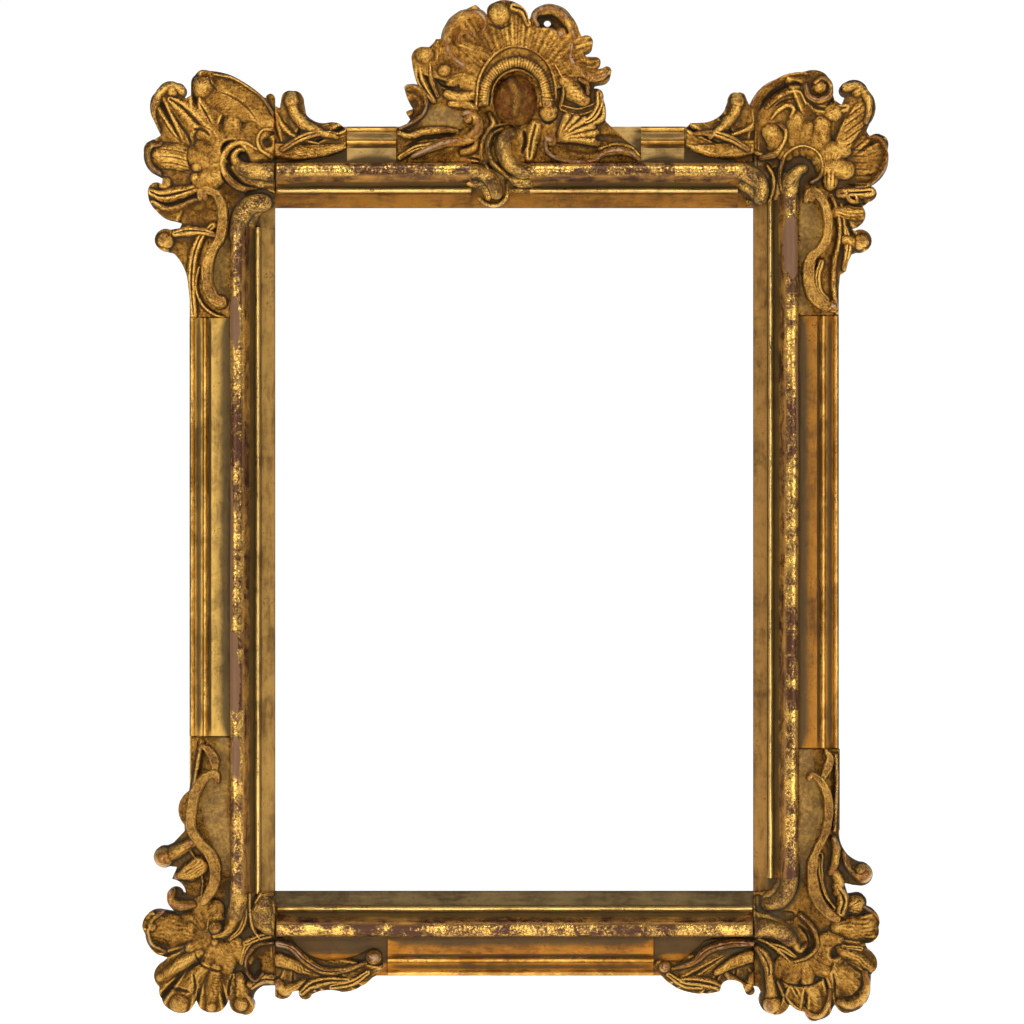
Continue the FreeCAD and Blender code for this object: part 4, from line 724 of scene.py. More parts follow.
BOTTOM_LEFT_TIPS_PX = ((150, 921), (150, 943), (158, 976), (178, 1004), (211, 1006), (240, 1006))
BOTTOM_LEFT_STROKES_PX = (
    # channel beside the roll, the hollow band inside the scroll and the fluted wedge
    (LEVEL, ((220, 742), (218, 775), (212, 805), (218, 835), (226, 870)), (16, 26, 34, 26, 12),
     20.5, 0.6, PAINTED),
    (BAND, ((200, 742), (196, 765), (192, 790), (188, 815), (190, 835)), (8, 8, 7, 8, 7), 20, 28, ridge),
    (BAND, ((192, 848), (202, 862), (206, 880), (203, 897)), (10, 13, 13, 9), 20, 27, scoop),
    (BAND, ((176, 876), (188, 872), (197, 866)), (8, 20, 22), 21, 31, flat, 6, 1.4),
    (BAND, ((164, 857), (177, 850), (190, 842)), (15, 15, 12), 21, 33, rounded, 3, 0.8),
    (KNOB, 162, 857, 10.5),
    (BAND, ((170, 890), (169, 900), (178, 905), (192, 904)), (9, 12, 13, 8), 21, 34, rounded, 2),
    # lobes from the left round to the bottom
    (BAND, ((186, 930), (172, 930), (156, 930)), (26, 40, 38), 20, 31, rounded, 8, 0.9),
    (BAND, ((160, 910), (149, 918), (144.5, 930), (149, 944), (162, 951)), (7, 9, 9, 8, 6),
     23, 34, left_rim),
    (BALL, 151, 926, 6, 22, 36),
    (BAND, ((198, 952), (180, 963), (160, 977)), (12, 19, 17), 20, 32, rounded, 4, 1.1),
    (CUT, ((164, 983), (178, 973), (196, 962)), (2.5, 4, 2.5), 3),
    (BAND, ((204, 966), (192, 980), (180, 996)), (16, 26, 24), 20, 31, rounded, 4, 0.8),
    (CUT, ((168, 987), (178, 989), (189, 991)), (4, 6, 4), 4),
    (KNOB, 178, 1003, 13, 37),
    (CUT, ((192, 972), (194, 984), (193, 996)), (2, 4, 3), 4),
    (BAND, ((214, 968), (212, 986), (210, 1004)), (18, 24, 22), 20, 31, rounded, 4, 0.8),
    (BALL, 210, 1006, 8, 22, 33),
    (CUT, ((232, 972), (228, 984), (227, 996)), (2, 4, 3), 4),
    (BAND, ((238, 976), (240, 990), (240, 1002)), (12, 18, 20), 20, 32, rounded, 3),
    (BALL, 240, 1003, 9.5, 22, 36),
    (CUT, ((192, 946), (198, 962), (208, 968), (226, 972), (240, 972)), (2, 4, 4, 4, 2), 3),
    # lumps and strokes round the focus
    (BALL, 189, 928, 7.5, 21, 31, 1.6, 100),
    (BALL, 213, 942, 4.5, 22, 30),
    (FRILL, (222, 928), 20, 38, 55, 165, 6, 23.5, 28),
    (FRILL, (206, 924), 8, 19, 190, 300, 3, 24, 29),
    (BAND, ((252, 938), (244, 948), (240, 962)), (9, 9, 6), 20, 29, leaf),
    (BAND, ((272, 934), (258, 937), (244, 943)), (10, 12, 8), 20, 30, leaf, 3),
    (BAND, ((276, 980), (262, 979), (250, 986)), (12, 12, 8), 20, 29, leaf, 2),
    (BALL, 248, 984, 4.5, 22, 31),
    # ends of the rolls: the left one breaks into leaf strokes round a knob, the lower one is a ball
    (LEVEL, ((232, 915), (246, 918), (250, 896)), (20, 20, 14), 19.5),
    (FLANK, ((243, 886), (243, 902), (238, 918)), (23, 22, 14), 27, 0.7),
    (ROLL, ((237.6, 886), (236.8, 902), (233.5, 914)), (17.5, 18, 16), (ROLL_HEIGHT, 35), 0.9),
    (BAND, ((234, 908), (231, 922), (224, 932), (213, 936)), (19, 18, 13, 7), GROUND, (35, 32, 29),
     rounded, 3, 1.1),
    (BAND, ((244, 905), (243, 918), (238, 930), (228, 939)), (6, 9, 8, 4), 19, 29, leaf),
    (BAND, ((231, 899), (232, 906), (233, 912)), (4, 7, 3), 32, 37, scoop),
    (BALL, 213.5, 927, 7, 22, 36),
    (BAND, ((206, 928), (208, 918), (216, 917)), (3, 4, 3), 22, 29),
    (BAND, ((248, 893), (248.5, 908), (251, 926), (258, 938)), (5, 6, 6, 4), 20, 30),
    (FLANK, ((282, 922), (270, 916), (266, 904)), (26, 26, 18), 28, 0.8),
    (ROLL, ((282, 927), (270, 925.5), (262.5, 919), (260.5, 909), (263, 902)), (17.5, 19, 21, 20, 15),
     (ROLL_HEIGHT, ROLL_HEIGHT, ROLL_HEIGHT + 1, 36, 33), 1),
    (BAND, ((254, 902), (260, 894), (270, 894)), (5, 6, 5), GROUND, 31),
    (CUT, ((271.5, 893), (270.5, 925), (271.5, 968)), (1.4, 1.8, 1.2), 3.5),
    (BAND, ((271, 943), (257, 946), (248, 956), (246.5, 969), (253, 978), (260, 973)), (5, 7, 7, 6, 4),
     21, 35, right_rim),
    (PIT, 255, 966, 7, 4, 1.5, 100),
)

BOTTOM_RIGHT_OUTLINE_PX = (
    (753.6, 925), (753.6, 986), (757.7, 987), (761, 993), (762, 1009, 771.5, 1013.5),
    (783, 1011.5, 789, 1003.3), (796, 1009, 804.3, 1011), (808, 1018.5, 818, 1019.2),
    (830, 1012, 833.2, 995), (834.7, 996.5), (838, 1009.5, 849, 1012), (864, 1003, 869.5, 984),
    (870.2, 974), (876, 966, 868, 950), (863.8, 942.4), (875, 938, 877.6, 926.5),
    (875.5, 912, 865.5, 906.3), (863, 895, 854, 893.5), (847.5, 894.5), (844, 883), (852, 885),
    (858, 885.6), (872.4, 874.5, 860, 862.5), (846, 853, 838.9, 831), (839.5, 829), (839.5, 749),
    (797.5, 749), (797.5, 925),
)
BOTTOM_RIGHT_BED_PX = ((753, 892), (771, 890), (779, 876), (799, 876), (799, 930), (753, 930))
BOTTOM_RIGHT_FOCUS_PX = (812, 936)
BOTTOM_RIGHT_TIPS_PX = ((872, 925), (870, 955), (862, 984), (849, 1005), (817, 1013), (790, 1006))
BOTTOM_RIGHT_STROKES_PX = (
    # channel beside the roll, band inside the scroll and the chain of bosses down the edge
    (LEVEL, ((806, 752), (807, 785), (811, 812), (805, 840), (800, 870)), (18, 24, 30, 24, 14),
     20.5, 0.6, PAINTED),
    (BAND, ((835, 755), (836, 780), (835, 805), (834, 830)), (6, 7, 7, 6), 20, 28, ridge),
    (BAND, ((818, 856), (816, 875), (820, 893), (830, 908)), (10, 14, 13, 9), 20, 27, scoop),
    (BAND, ((833, 838), (836, 850), (834, 864), (830, 872)), (7, 11, 11, 7), 20, 31, rounded, 1),
    (BAND, ((832, 868), (838, 880), (837, 892)), (9, 13, 11), 20, 30, rounded, 1),
    (BAND, ((836, 886), (843, 899), (840, 912)), (10, 15, 13), 20, 32, leaf, 2),
    (BAND, ((818, 858), (819, 876), (825, 896), (838, 912)), (4, 5, 5, 4), 20, 28, ridge),
    (BAND, ((845, 852), (849, 864), (860, 874)), (8, 11, 14), 21, 33, right_rim),
    (KNOB, 862, 873, 10.5),
    (CUT, ((850, 866), (858, 873), (866, 868)), (2, 3, 2), 3),
    # lobes: a fan, the ringed scallop, the tongue and the three that hang
    (BALL, 855, 904, 10, 21, 32),
    *[(CUT, ((846, 908), (860, y)), (1.5, 2.5), 2) for y in 899 + 4 * np.arange(4)],
    (BAND, ((838, 927), (852, 927), (866, 926)), (18, 30, 28), 20, 31, rounded, 6, 0.9),
    (BAND, ((864, 908), (875, 917), (878, 928), (872, 939), (861, 943)), (5, 6, 6, 6, 4), 22, 34, left_rim),
    (BAND, ((842, 946), (860, 948)), (6, 8), 21, 29, leaf, 2),
    (BAND, ((838, 950), (856, 957), (869, 967)), (12, 18, 16), 20, 32, rounded, 4, 1.1),
    (CUT, ((845, 962), (858, 970), (866, 975)), (2, 5, 3), 4),
    (BAND, ((828, 966), (842, 978), (854, 990)), (20, 36, 34), 20, 30, rounded, 5, 0.8),
    (BAND, ((864, 972), (866, 985), (860, 998), (848, 1004), (838, 1001)), (8, 11, 14, 14, 10), 22, 36),
    (CUT, ((861, 975), (860, 986), (850, 996), (838, 996)), (3, 4, 4, 3), 4),
    (CUT, ((832, 972), (834, 984), (834, 996)), (2, 4, 3), 4),
    (BAND, ((808, 984), (814, 996), (817, 1006)), (20, 26, 22), 20, 30, rounded, 4, 0.8),
    (BAND, ((803, 1009), (812, 1015), (821, 1013), (827, 1003), (829, 990)), (8, 9, 9, 8, 5), 22, 35),
    (BAND, ((777, 982), (783, 994), (793, 1005), (803, 1010)), (6, 9, 9, 6), 21, 32, ridge),
    (BAND, ((790, 982), (796, 992), (802, 1002)), (12, 14, 8), 20, 29, leaf, 3),
    (BAND, ((769, 976), (771, 990), (772, 1002)), (11, 14, 18), 20, 32, rounded, 2),
    (BALL, 772, 1004, 10, 22, 37),
    (CUT, ((783, 984), (784, 996), (788, 1004)), (2, 4, 3), 4),
    # pitted ground round the focus and the leaves below the roll
    (LEVEL, ((776, 966), (792, 976), (808, 977), (822, 968), (830, 950)), (14, 18, 18, 18, 14), 20),
    (FRILL, (797, 942), 24, 40, -4, 128, 8, 23.5, 28),
    (CUT, ((778, 978), (790, 984), (808, 985), (822, 979)), (2, 3.5, 3.5, 2), 3),
    (PIT, 834, 953, 7, 6),
    (BAND, ((756, 947), (763, 955), (768, 967), (768, 974)), (7, 12, 13, 9), 21, 33, leaf),
    (BAND, ((757, 938), (770, 944), (782, 954), (790, 962)), (5, 8, 8, 5), 20, 29, ridge),
    (BAND, ((754, 912), (770, 918), (788, 917)), (5, 6, 4), 20, 27),
    # ends of the rolls: the right one bends left, the lower one curls under a rim
    (LEVEL, ((757, 900), (768, 914), (790, 916)), (14, 14, 12), 19.5),
    (FLANK, ((783, 868), (781, 882), (774, 894), (766, 900)), (24, 23, 20, 12), 27, 0.8),
    (ROLL, ((788.8, 868), (788, 884), (782.5, 896), (773.5, 903), (766, 904)), (17.5, 17.5, 17.5, 15, 11),
     ROLL_HEIGHT, 1),
    (FLANK, ((748, 922), (764, 922), (780, 928), (790, 936)), (24, 24, 20, 12), 27, 0.8),
    (ROLL, ((748, 927), (766, 928), (780, 932), (789, 939)), (17.5, 17.5, 17, 14),
     (ROLL_HEIGHT, ROLL_HEIGHT - 1, 35), 1),
    (BAND, ((782, 933), (792, 941), (799, 950), (806, 944)), (16, 14, 10, 6), GROUND, (34, 30, 28),
     rounded, 3, 1.2),
    (BAND, ((770, 944), (782, 948), (794, 956)), (7, 10, 6), 20, 29, leaf, 2),
    (CUT, ((755.5, 893), (755.5, 925), (755, 958)), (1.4, 1.8, 1.2), 3.5),
    (CUT, ((797, 924), (808, 935), (809, 948), (800, 956)), (3, 6, 6, 4), 5),
    (BAND, ((800, 915), (812, 928), (817, 944), (808, 956), (794, 961)), (6, 8, 8, 6, 4), 21, 31, ridge),
)

CREST_BOARD_PX = (
    (397.4, 162.5), (397.4, 128), (407.6, 124), (411, 119), (406.5, 112), (414, 108.6),
    (408, 98, 405, 88), (411, 84, 419.7, 87.3), (414.5, 73, 412.7, 62), (415.5, 51, 424, 47.8),
    (430, 48), (435, 43), (436.5, 40), (443, 39.5), (449, 25, 460.6, 14), (468, 9.5, 476.4, 5.6),
    (480.5, 9), (481, 12.5), (486.6, 17.6), (488, 15.5), (488.5, 8, 494, 3.7), (507, 0.9, 519, 5),
    (526, 11, 529.3, 20), (530.5, 20.5), (532, 14.5), (538, 8, 548, 5.5), (569, 14, 579.4, 31.6),
    (582.2, 37.7), (592, 38.5, 593, 45.5), (590, 52, 583.5, 53), (587, 57.5), (596, 57.7),
    (600.8, 61, 600, 66), (596, 70.5), (603.6, 68.7), (610, 68, 611.3, 74), (609, 80.5, 602, 84),
    (596, 85), (593.3, 88.8), (602, 91, 603.8, 99), (606.5, 110, 606, 121), (622, 136, 641.5, 152),
    (641.5, 162.5),
)
CREST_HOLE_PX = (548, 22.8, 3.6)
CREST_FOCUS_PX = (516, 100)
CREST_BOARD_STROKES_PX = (
    # fluted leaves that radiate behind the arch, and the lumps on top
    (FAN, CREST_FOCUS_PX, (195, 222, 240, 258, 272, 286, 304, 322, 345), 28, 31, 34, 92, 3, 1.1, 0.04),
    (BALL, 500, 15, 13, 24, 38),
    (BAND, ((514, 8), (524, 12), (529, 25)), (13, 14, 8), 24, 35, leaf, 2),
    (CUT, ((488, 24), (501, 29), (513, 24)), (3, 4, 3), 2.5),
    # left side: knob, standing leaves, ear and the bare panel
    (BALL, 425, 55, 12.5, 22, 36),
    (BAND, ((419, 66), (420, 80), (427, 92), (434, 101)), (13, 15, 12, 6), 21, 31, leaf, 3),
    (BAND, ((431, 66), (432, 80), (438, 96)), (5, 8, 4), 22, 33, ridge),
    (BAND, ((439, 43), (438, 54), (437, 62)), (8, 9, 5), 22, 31),
    (BALL, 445, 71, 8.5, 22, 36),
    (BAND, ((474, 82), (460, 78), (452, 82)), (24, 26, 14), 21, 31, rounded, 5, 0.8),
    (BAND, ((488, 56), (476, 50), (464, 46)), (22, 28, 16), 21, 31, rounded, 5, 0.8),
    (BAND, ((474, 96), (460, 98), (448, 94)), (12, 16, 10), 21, 29, rounded, 3),
    (BAND, ((476, 108), (464, 104), (452, 104)), (8, 12, 8), 21, 28, rounded, 2),
    (CUT, ((437, 80), (444, 86), (456, 88)), (2, 4, 2), 4),
    (LEVEL, ((428, 118), (444, 116), (458, 120)), (22, 28, 20), 23, 0.8, PAINTED),
    (PIT, 413, 104, 8, 4),
    (BAND, ((407, 89), (417, 91), (424, 100), (423, 111), (414, 120), (402, 127)), (10, 10, 8, 7, 6),
     21, 33, left_rim),
    (BALL, 410, 113, 4.5, 21, 29),
    (BAND, ((400, 133), (410, 136), (424, 132), (444, 130), (458, 132)), (6, 9, 8, 5), 21, 29),
    (CUT, ((404, 148), (424, 138), (448, 136), (466, 128)), (3, 6, 6, 4), 4),
    (BAND, ((400, 158), (418, 148), (438, 146), (452, 142)), (6, 9, 9, 6), 21, 29, leaf, 2),
    (BAND, ((464, 152), (474, 148), (478, 140)), (9, 10, 6), 21, 28),
    (CUT, ((468, 158), (480, 160), (492, 168)), (2, 4, 3), 4),
    (BAND, ((488, 132), (494, 124), (490, 114)), (6, 7, 4), 21, 29),
    # right side: hook's bed, stubs, fluted knob and ear
    (LEVEL, ((540, 22), (554, 22), (564, 30)), (14, 16, 12), 20.5),
    (BAND, ((578, 48), (586, 45), (592, 44)), (9, 11, 9), 22, 31),
    (BAND, ((582, 60), (590, 63), (598, 62)), (8, 11, 10), 22, 31),
    (BAND, ((565, 82), (574, 91), (584, 101)), (16, 23, 15), 21, 34, rounded, 3, 0.8),
    (BAND, ((580, 80), (587, 85), (588, 94)), (6, 8, 5), 23, 35, ridge),
    (BAND, ((600, 94), (600, 106), (594, 117), (586, 123)), (10, 11, 10, 6), 21, 31, leaf, 2),
    (BAND, ((604, 108), (603, 118), (594, 124)), (6, 8, 6), 21, 29),
    (BAND, ((563, 108), (578, 112), (592, 108), (600, 102)), (6, 8, 8, 4), 21, 27, scoop),
    (BAND, ((556, 66), (562, 78), (564, 92), (561, 106)), (4, 6, 6, 4), 22, 31, ridge),
    (BAND, ((562, 62), (568, 72), (574, 78)), (10, 12, 6), 21, 29, leaf, 3),
    (BALL, 549, 112, 10, 21, 31),
    (CUT, ((540, 120), (549, 123), (558, 118)), (2, 4, 2), 3),
    # below: sloping leaf beds and the long hollow that ends in a handle-like scroll
    (BAND, ((536, 126), (532, 142), (530, 158)), (16, 18, 12), 20, 27, leaf, 3),
    (CUT, ((524, 130), (526, 142), (522, 154)), (4, 6, 4), 6),
    *[(BAND, ((558, 141), ((558 + x) / 2, (141 + y) / 2 - 1), (x, y)), (3, 7, 9), 24, 31)
      for x, y in ((568, 117), (577, 118), (585, 121), (592, 127), (596, 134), (597, 142))],
    (CUT, ((566, 150), (590, 153), (612, 148)), (3, 6, 3), 1.5),
    (LEVEL, ((600, 138), (618, 140), (636, 150)), (12, 14, 10), 20, 0.8),
    (BAND, ((600, 149), (616, 144.5), (632, 148), (640, 156)), (4, 5, 5, 3), 21, 27, ridge),
    (PIERCE, *CREST_HOLE_PX),
)

CREST_ARCH_PX = (
    (475.5, 107), (479, 71, 517, 46.6), (549, 65, 557, 98), (553.5, 108), (539.5, 107),
    (536, 81, 518, 71.5), (499, 81, 494, 106),
)
CREST_ARCH_STROKES_PX = (
    (BAND, ((480, 108), (482, 84), (492, 66), (507, 55), (520, 53), (536, 58), (547, 72), (552, 88),
     (554, 107)), (24, 26, 26, 24), 24, 31, flat),
    (BAND, ((477, 106), (480, 80), (490, 61), (505, 49), (519, 47), (534, 51), (548, 63), (555, 82),
     (557, 104)), (3.5, 4, 4, 3.5), 27, 34),
    (BAND, ((484, 106), (487, 85), (499, 70), (516, 63), (532, 68), (543, 81), (548, 104)),
     (13, 13, 13, 14), 26, ARCH_TOP + 1),
    (BAND, ((492, 106), (495, 88), (503, 77), (517, 71.5), (531, 77), (539, 89), (541, 106)), (4, 5, 5, 4),
     27, 34),
    (CUT, ((540, 98), (549, 99), (558, 97)), (3, 3), 2),
)

SIDE_SCROLLS_PX = (
    ("top_left_side_scroll", TOP_LEFT,
     ((((201, 199), (202, 192.5), (209, 190.5), (217, 194), (222.5, 203), (224.5, 214), (224, 227),
        (220.5, 240), (213.5, 252), (209, 265), (208.5, 279), (211, 291), (217, 300), (223, 302)),
       (5, 8, 9, 10, 11, 11, 11, 9, 11, 12, 12, 12, 13, 12)),),
     ((206, 197, 4), (221.5, 302, 8))),
    ("top_right_side_scroll", TOP_RIGHT,
     ((((806, 201), (808, 194), (815, 192), (822, 199), (826.5, 210), (828.5, 223), (827, 238), (820, 250),
        (811, 259), (808.5, 274), (810, 288), (816, 299), (826, 306)),
       (6, 9, 9, 10, 10.5, 10, 9.5, 9, 13, 13, 13, 13, 12)),),
     ((812, 198, 4.5), (833, 306.5, 6.5))),
    ("bottom_left_side_scroll", BOTTOM_LEFT,
     ((((216, 781), (215, 774), (207, 775), (198, 784), (192.5, 798), (190, 814), (190.5, 829), (198, 841),
        (208, 852), (213.5, 866), (213.5, 880), (208, 893), (202, 902)),
       (7, 9, 11, 11, 11, 11.5, 11, 10, 12, 13, 13, 12, 9)),
      (((214, 772), (213, 760), (207, 750), (200, 745)), (6, 11, 10, 4))),
     ()),
    ("bottom_right_side_scroll", BOTTOM_RIGHT,
     ((((808, 778), (811, 774), (818, 779), (824.5, 789), (827.5, 803), (827, 820), (823, 836), (816, 849),
        (811.5, 862), (811, 876), (813, 890), (819, 903), (828, 913), (836, 918.5)),
       (6, 8, 9, 10, 10, 10, 9, 8, 12, 12, 13, 13, 12, 8)),
      (((822, 777), (827, 767), (829, 758), (825, 750)), (6, 10, 9, 4))),
     ()),
)

SPRAYS_PX = (
    ("top_left_spray", TOP_LEFT,
     ((275.8, 162), (275.8, 106), (281, 108.5), (282.5, 99), (286, 92.5, 293.7, 91.3),
      (302, 94, 304.3, 101), (306.6, 113.6), (314, 120.5, 330, 122.7), (341, 124.5, 347, 130),
      (347, 148), (335, 154.5, 320, 157), (298, 162)),
     (286, 158), ((292, 97), (328, 126), (343, 141)), ((293, 101, 9),),
     ((284, 150), (300, 140), (318, 134), (338, 134))),
    ("top_right_spray", TOP_RIGHT,
     ((754.4, 162), (754.4, 109), (749.8, 105.3), (746.5, 98), (744, 93.8, 737.9, 93.4),
      (731, 94.5, 729, 100), (725.3, 110.5), (717, 118.5, 705, 122.8), (691, 123.6), (687, 128),
      (687, 146), (700, 154, 715, 158), (740, 162)),
     (746, 158), ((738, 98), (704, 127), (691, 140)), ((738, 102, 8.3),),
     ((748, 150), (732, 140), (714, 134), (696, 134))),
    ("bottom_left_spray", BOTTOM_LEFT,
     ((273.2, 937), (273.2, 996), (281, 999, 290.9, 991.2), (297.3, 990.2), (303.5, 999.5, 310, 994.4),
      (325, 990, 340, 991.9), (357, 987.5, 370.5, 977.4), (379, 970, 380.5, 957), (374, 948.5, 366, 950),
      (345, 958, 325, 960), (304, 953, 292, 941), (286, 937)),
     (290, 950), ((281, 996), (303, 996), (340, 989), (366, 975)), ((372, 957, 8),),
     ((276, 943), (290, 947), (304, 960), (322, 970), (344, 969), (364, 962))),
    ("bottom_right_spray", BOTTOM_RIGHT,
     ((753.2, 937), (753.2, 987), (751, 995, 745, 992.5), (741.8, 983.8), (731, 979.5, 720.6, 985),
      (719.5, 991), (704, 993.5, 688.8, 992), (671, 984.5, 657, 970), (654.8, 964, 660, 959.5),
      (679, 961.5), (692, 952, 703.6, 941.5), (712, 938)),
     (738, 948), ((748, 992), (718, 988), (690, 991), (664, 972)), ((664, 966, 7),),
     ((752, 943), (730, 943), (708, 949), (692, 962), (672, 968))),
)

CREST_SCROLLS_PX = (
    ("crest_left_hook",
     ((((464, 66), (455, 60), (448.5, 49), (448.5, 36), (455, 24), (465, 16.5), (476, 13.5), (484.5, 19),
        (486, 28), (481, 34)), (7, 10, 12, 14, 14, 13, 11, 9, 5)),
      (((458, 44), (461, 35), (469, 32.5), (476, 37)), (5, 7, 6, 4))),
     ()),
    ("crest_right_hook",
     ((((538, 26), (534.5, 18), (540, 11.5), (550, 9.5), (561, 14), (570, 25), (575, 38)),
       (5, 8, 10, 12, 13, 13, 9)),
      (((572, 46), (571.5, 60), (578, 71), (590, 77.5), (602, 77), (608, 71)), (5, 9, 11, 11, 10, 7)),
      (((569, 24), (573, 36), (573, 50)), (6, 8, 6))),
     ((562, 34, 6.5),)),
    ("crest_left_leaf",
     ((((465, 114), (473, 115), (479, 126), (474, 135.5), (462, 141), (446, 143), (431, 149), (414, 157)),
       (7, 12, 13, 12, 11, 10, 8, 5)),),
     ((470, 118, 6.5),)),
    ("crest_right_fan",
     ((((547, 138), (546.5, 149), (553, 157), (566, 162), (582, 163), (598, 161)), (4, 5, 5.5, 5.5, 5, 4)),
      (((596, 162), (604, 154), (618, 151), (632, 154), (639, 161)), (5, 8, 9.5, 8, 6))),
     ((551, 141, 6.5),)),
)

ROLL_ENDS_PX = (
    ("crest_left_roll_end",
     ((((470, 172.1), (480, 173), (488.5, 178), (494.5, 186), (496.5, 194)), (17.5, 17.5, 17, 15.5, 13)),
      (((470, 181), (480, 183), (487, 190), (489, 197)), (13, 13, 11, 8)),
      (((506, 181), (508, 190), (506, 199), (499, 204.5), (488, 204.5), (479, 198)),
       (3, 4.5, 5, 5, 4.5, 3))),
     ()),
    ("crest_right_roll_curl",
     ((((532, 172.1), (521, 171), (510, 164), (503.5, 152), (504, 140), (512, 134)),
       (17.5, 17.5, 18, 18, 17, 13)),
      (((532, 182), (520, 182), (508, 177)), (12, 12, 7)),
      (((507, 176), (493, 163), (489, 148), (492, 136), (503, 129)), (4, 7, 8, 7, 4)),
      (((500, 180), (485.5, 165), (482, 148), (487, 134), (498, 126), (511, 124.5), (522, 130)),
       (3, 5, 6, 5.5, 5, 4, 3)),
      (((508, 190.2), (520, 190.2), (532, 190.2)), (4, 5.3, 5.3))),
     ()),
)
ROLL_END_TOPS = {"crest_left_roll_end": (38.0, 27.0, 24.0),
                 "crest_right_roll_curl": (38.0, 27.0, 33.0, 29.0, 23.4)}

SPRAY_LEAVES_PX = {
    "top_left_spray": (
        (((293, 98), (296, 112), (305, 124), (320, 132), (338, 138)), (17, 15, 14, 11, 5), 33, rounded, 3),
        (((277, 112), (284, 126), (298, 138), (320, 144)), (6, 10, 9, 4), 29, ridge, 0),
        (((276, 150), (296, 151), (318, 151), (344, 147)), (16, 20, 16, 8), 28, flat, 4),
    ),
    "top_right_spray": (
        (((737.5, 98), (736, 110), (729, 121), (720, 130), (711, 137)), (17, 14, 14, 12, 6), 33, rounded, 3),
        (((753, 112), (754, 124), (742, 132), (722, 138)), (6, 10, 9, 4), 29, ridge, 0),
        (((757, 147), (736, 149), (714, 151), (694, 148)), (16, 20, 17, 8), 28, flat, 4),
    ),
    "bottom_left_spray": (
        (((276, 984), (283, 990), (293, 987), (302, 980)), (12, 15, 12, 6), 31, rounded, 3),
        (((300, 992), (310, 984), (326, 980), (346, 980)), (9, 15, 14, 8), 31, leaf, 3),
        (((330, 986), (350, 982), (366, 972)), (8, 11, 8), 31, leaf, 2),
        (((277, 960), (296, 966), (316, 976)), (16, 14, 8), 28, flat, 4),
    ),
    "bottom_right_spray": (
        (((752, 978), (746, 986), (736, 982), (726, 974)), (12, 14, 12, 6), 31, rounded, 3),
        (((722, 988), (712, 984), (696, 981), (680, 980)), (9, 15, 14, 8), 31, leaf, 3),
        (((700, 986), (684, 984), (668, 974)), (8, 11, 8), 31, leaf, 2),
        (((750, 956), (734, 962), (716, 972)), (16, 14, 8), 28, flat, 4),
    ),
}


# Shares of the reach at which lobes start and are full
SHELL_LOBE_SHARES = (0.3, 0.95)
SPRAY_LOBE_SHARES = (0.1, 1)

# Tool marks: their spacing in pixels and their depth
SHELL_MARKS_PX = 4.4
SCROLL_MARKS = (4.5, 0.25)
SPRAY_MARKS = (4.0, 0.4)
BOARD_MARKS = (4.4, 0.25)

# Unevenness of the ground: fine and coarse
SHELL_GRAIN = (0.20, 0.5)
SCROLL_GRAIN = (0.3, 0.4)
BOARD_GRAIN = (0.3, 0.5)
ARCH_GRAIN = (0.3, 0.3)
EGG_GRAIN = (0.25, 0.6)

SCROLL_GROOVE_DEPTH = 0.9
SCROLL_ROUNDING = 0.8
RIB_WIDTHS_PX = (7, 10, 9, 4)
BOARD_GROUND = 23
BOARD_SEED = 50
ARCH_GROUND = 25
ARCH_SEED = 51
EGG_SEED = 52
ARCH_BACK = BOARD - 4


def shell(name, anchor, outline_px, bed_px, focus_px, tips_px, strokes_px, mark_depth, seed):
    """A corner shell: its outline, the bed of the rolls' ends beside it, the lobes that spread from its
    focus and the strokes on them."""
    relief = Relief(anchor, box_of(outline_px + bed_px), FIELD, seed)
    relief.outline(outline_px)
    relief.outline(bed_px)
    relief.lobes(focus_px, tips_px, LOBE_LOW, LOBE_HIGH, *SHELL_LOBE_SHARES)
    relief.draw(strokes_px)
    relief.tool_marks(focus_px, SHELL_MARKS_PX, mark_depth)
    relief.roughen(*SHELL_GRAIN)
    return relief.build(name + "_carving", CARVING_BACK)


def scroll_piece(name, anchor, paths, eyes, low, back, tops, seed, grooves=0, finish=MATTE,
                 section=rounded):
    """A scroll glued on a shell or on the crest board, made of strokes and the eyes they curl round."""
    points = [p for path, _ in paths for p in path] + [(x, y) for x, y, _ in eyes]
    x, y = zip(*points)
    reach = max(max(w) for _, w in paths)
    relief = Relief(anchor, (min(x) - reach, min(y) - reach, max(x) + reach, max(y) + reach), low, seed)
    for (path, widths), top in zip(paths, tops):
        relief.band(path, widths, low, top, section, grooves, SCROLL_GROOVE_DEPTH, finish, extend=True)
    for ex, ey, radius in eyes:
        relief.ball(ex, ey, radius, low, tops[0] - 1, extend=True)
    relief.tool_marks(points[0], *SCROLL_MARKS)
    relief.roughen(*SCROLL_GRAIN)
    return relief.build(name + "_carving", back, SCROLL_ROUNDING)


def spray(name, anchor, outline_px, focus_px, tips_px, knobs_px, rib_px, seed):
    """A leaf spray on a rail: its lobes, its other leaves, the rib over them and its knob."""
    relief = Relief(anchor, box_of(outline_px), LOBE_LOW, seed)
    relief.outline(outline_px)
    relief.lobes(focus_px, tips_px, LOBE_LOW - 1, LOBE_HIGH - 3, *SPRAY_LOBE_SHARES)
    for path, widths, top, section, grooves in SPRAY_LEAVES_PX[name]:
        relief.band(path, widths, LOBE_LOW - 1, top, section, grooves)
    relief.band(rib_px, RIB_WIDTHS_PX, LOBE_LOW, KNOB_TOP - 2, leaf)
    for x, y, radius in knobs_px:
        relief.knob(x, y, radius)
    relief.tool_marks(focus_px, *SPRAY_MARKS)
    relief.roughen(*SCROLL_GRAIN)
    return relief.build(name + "_carving", CARVING_BACK)


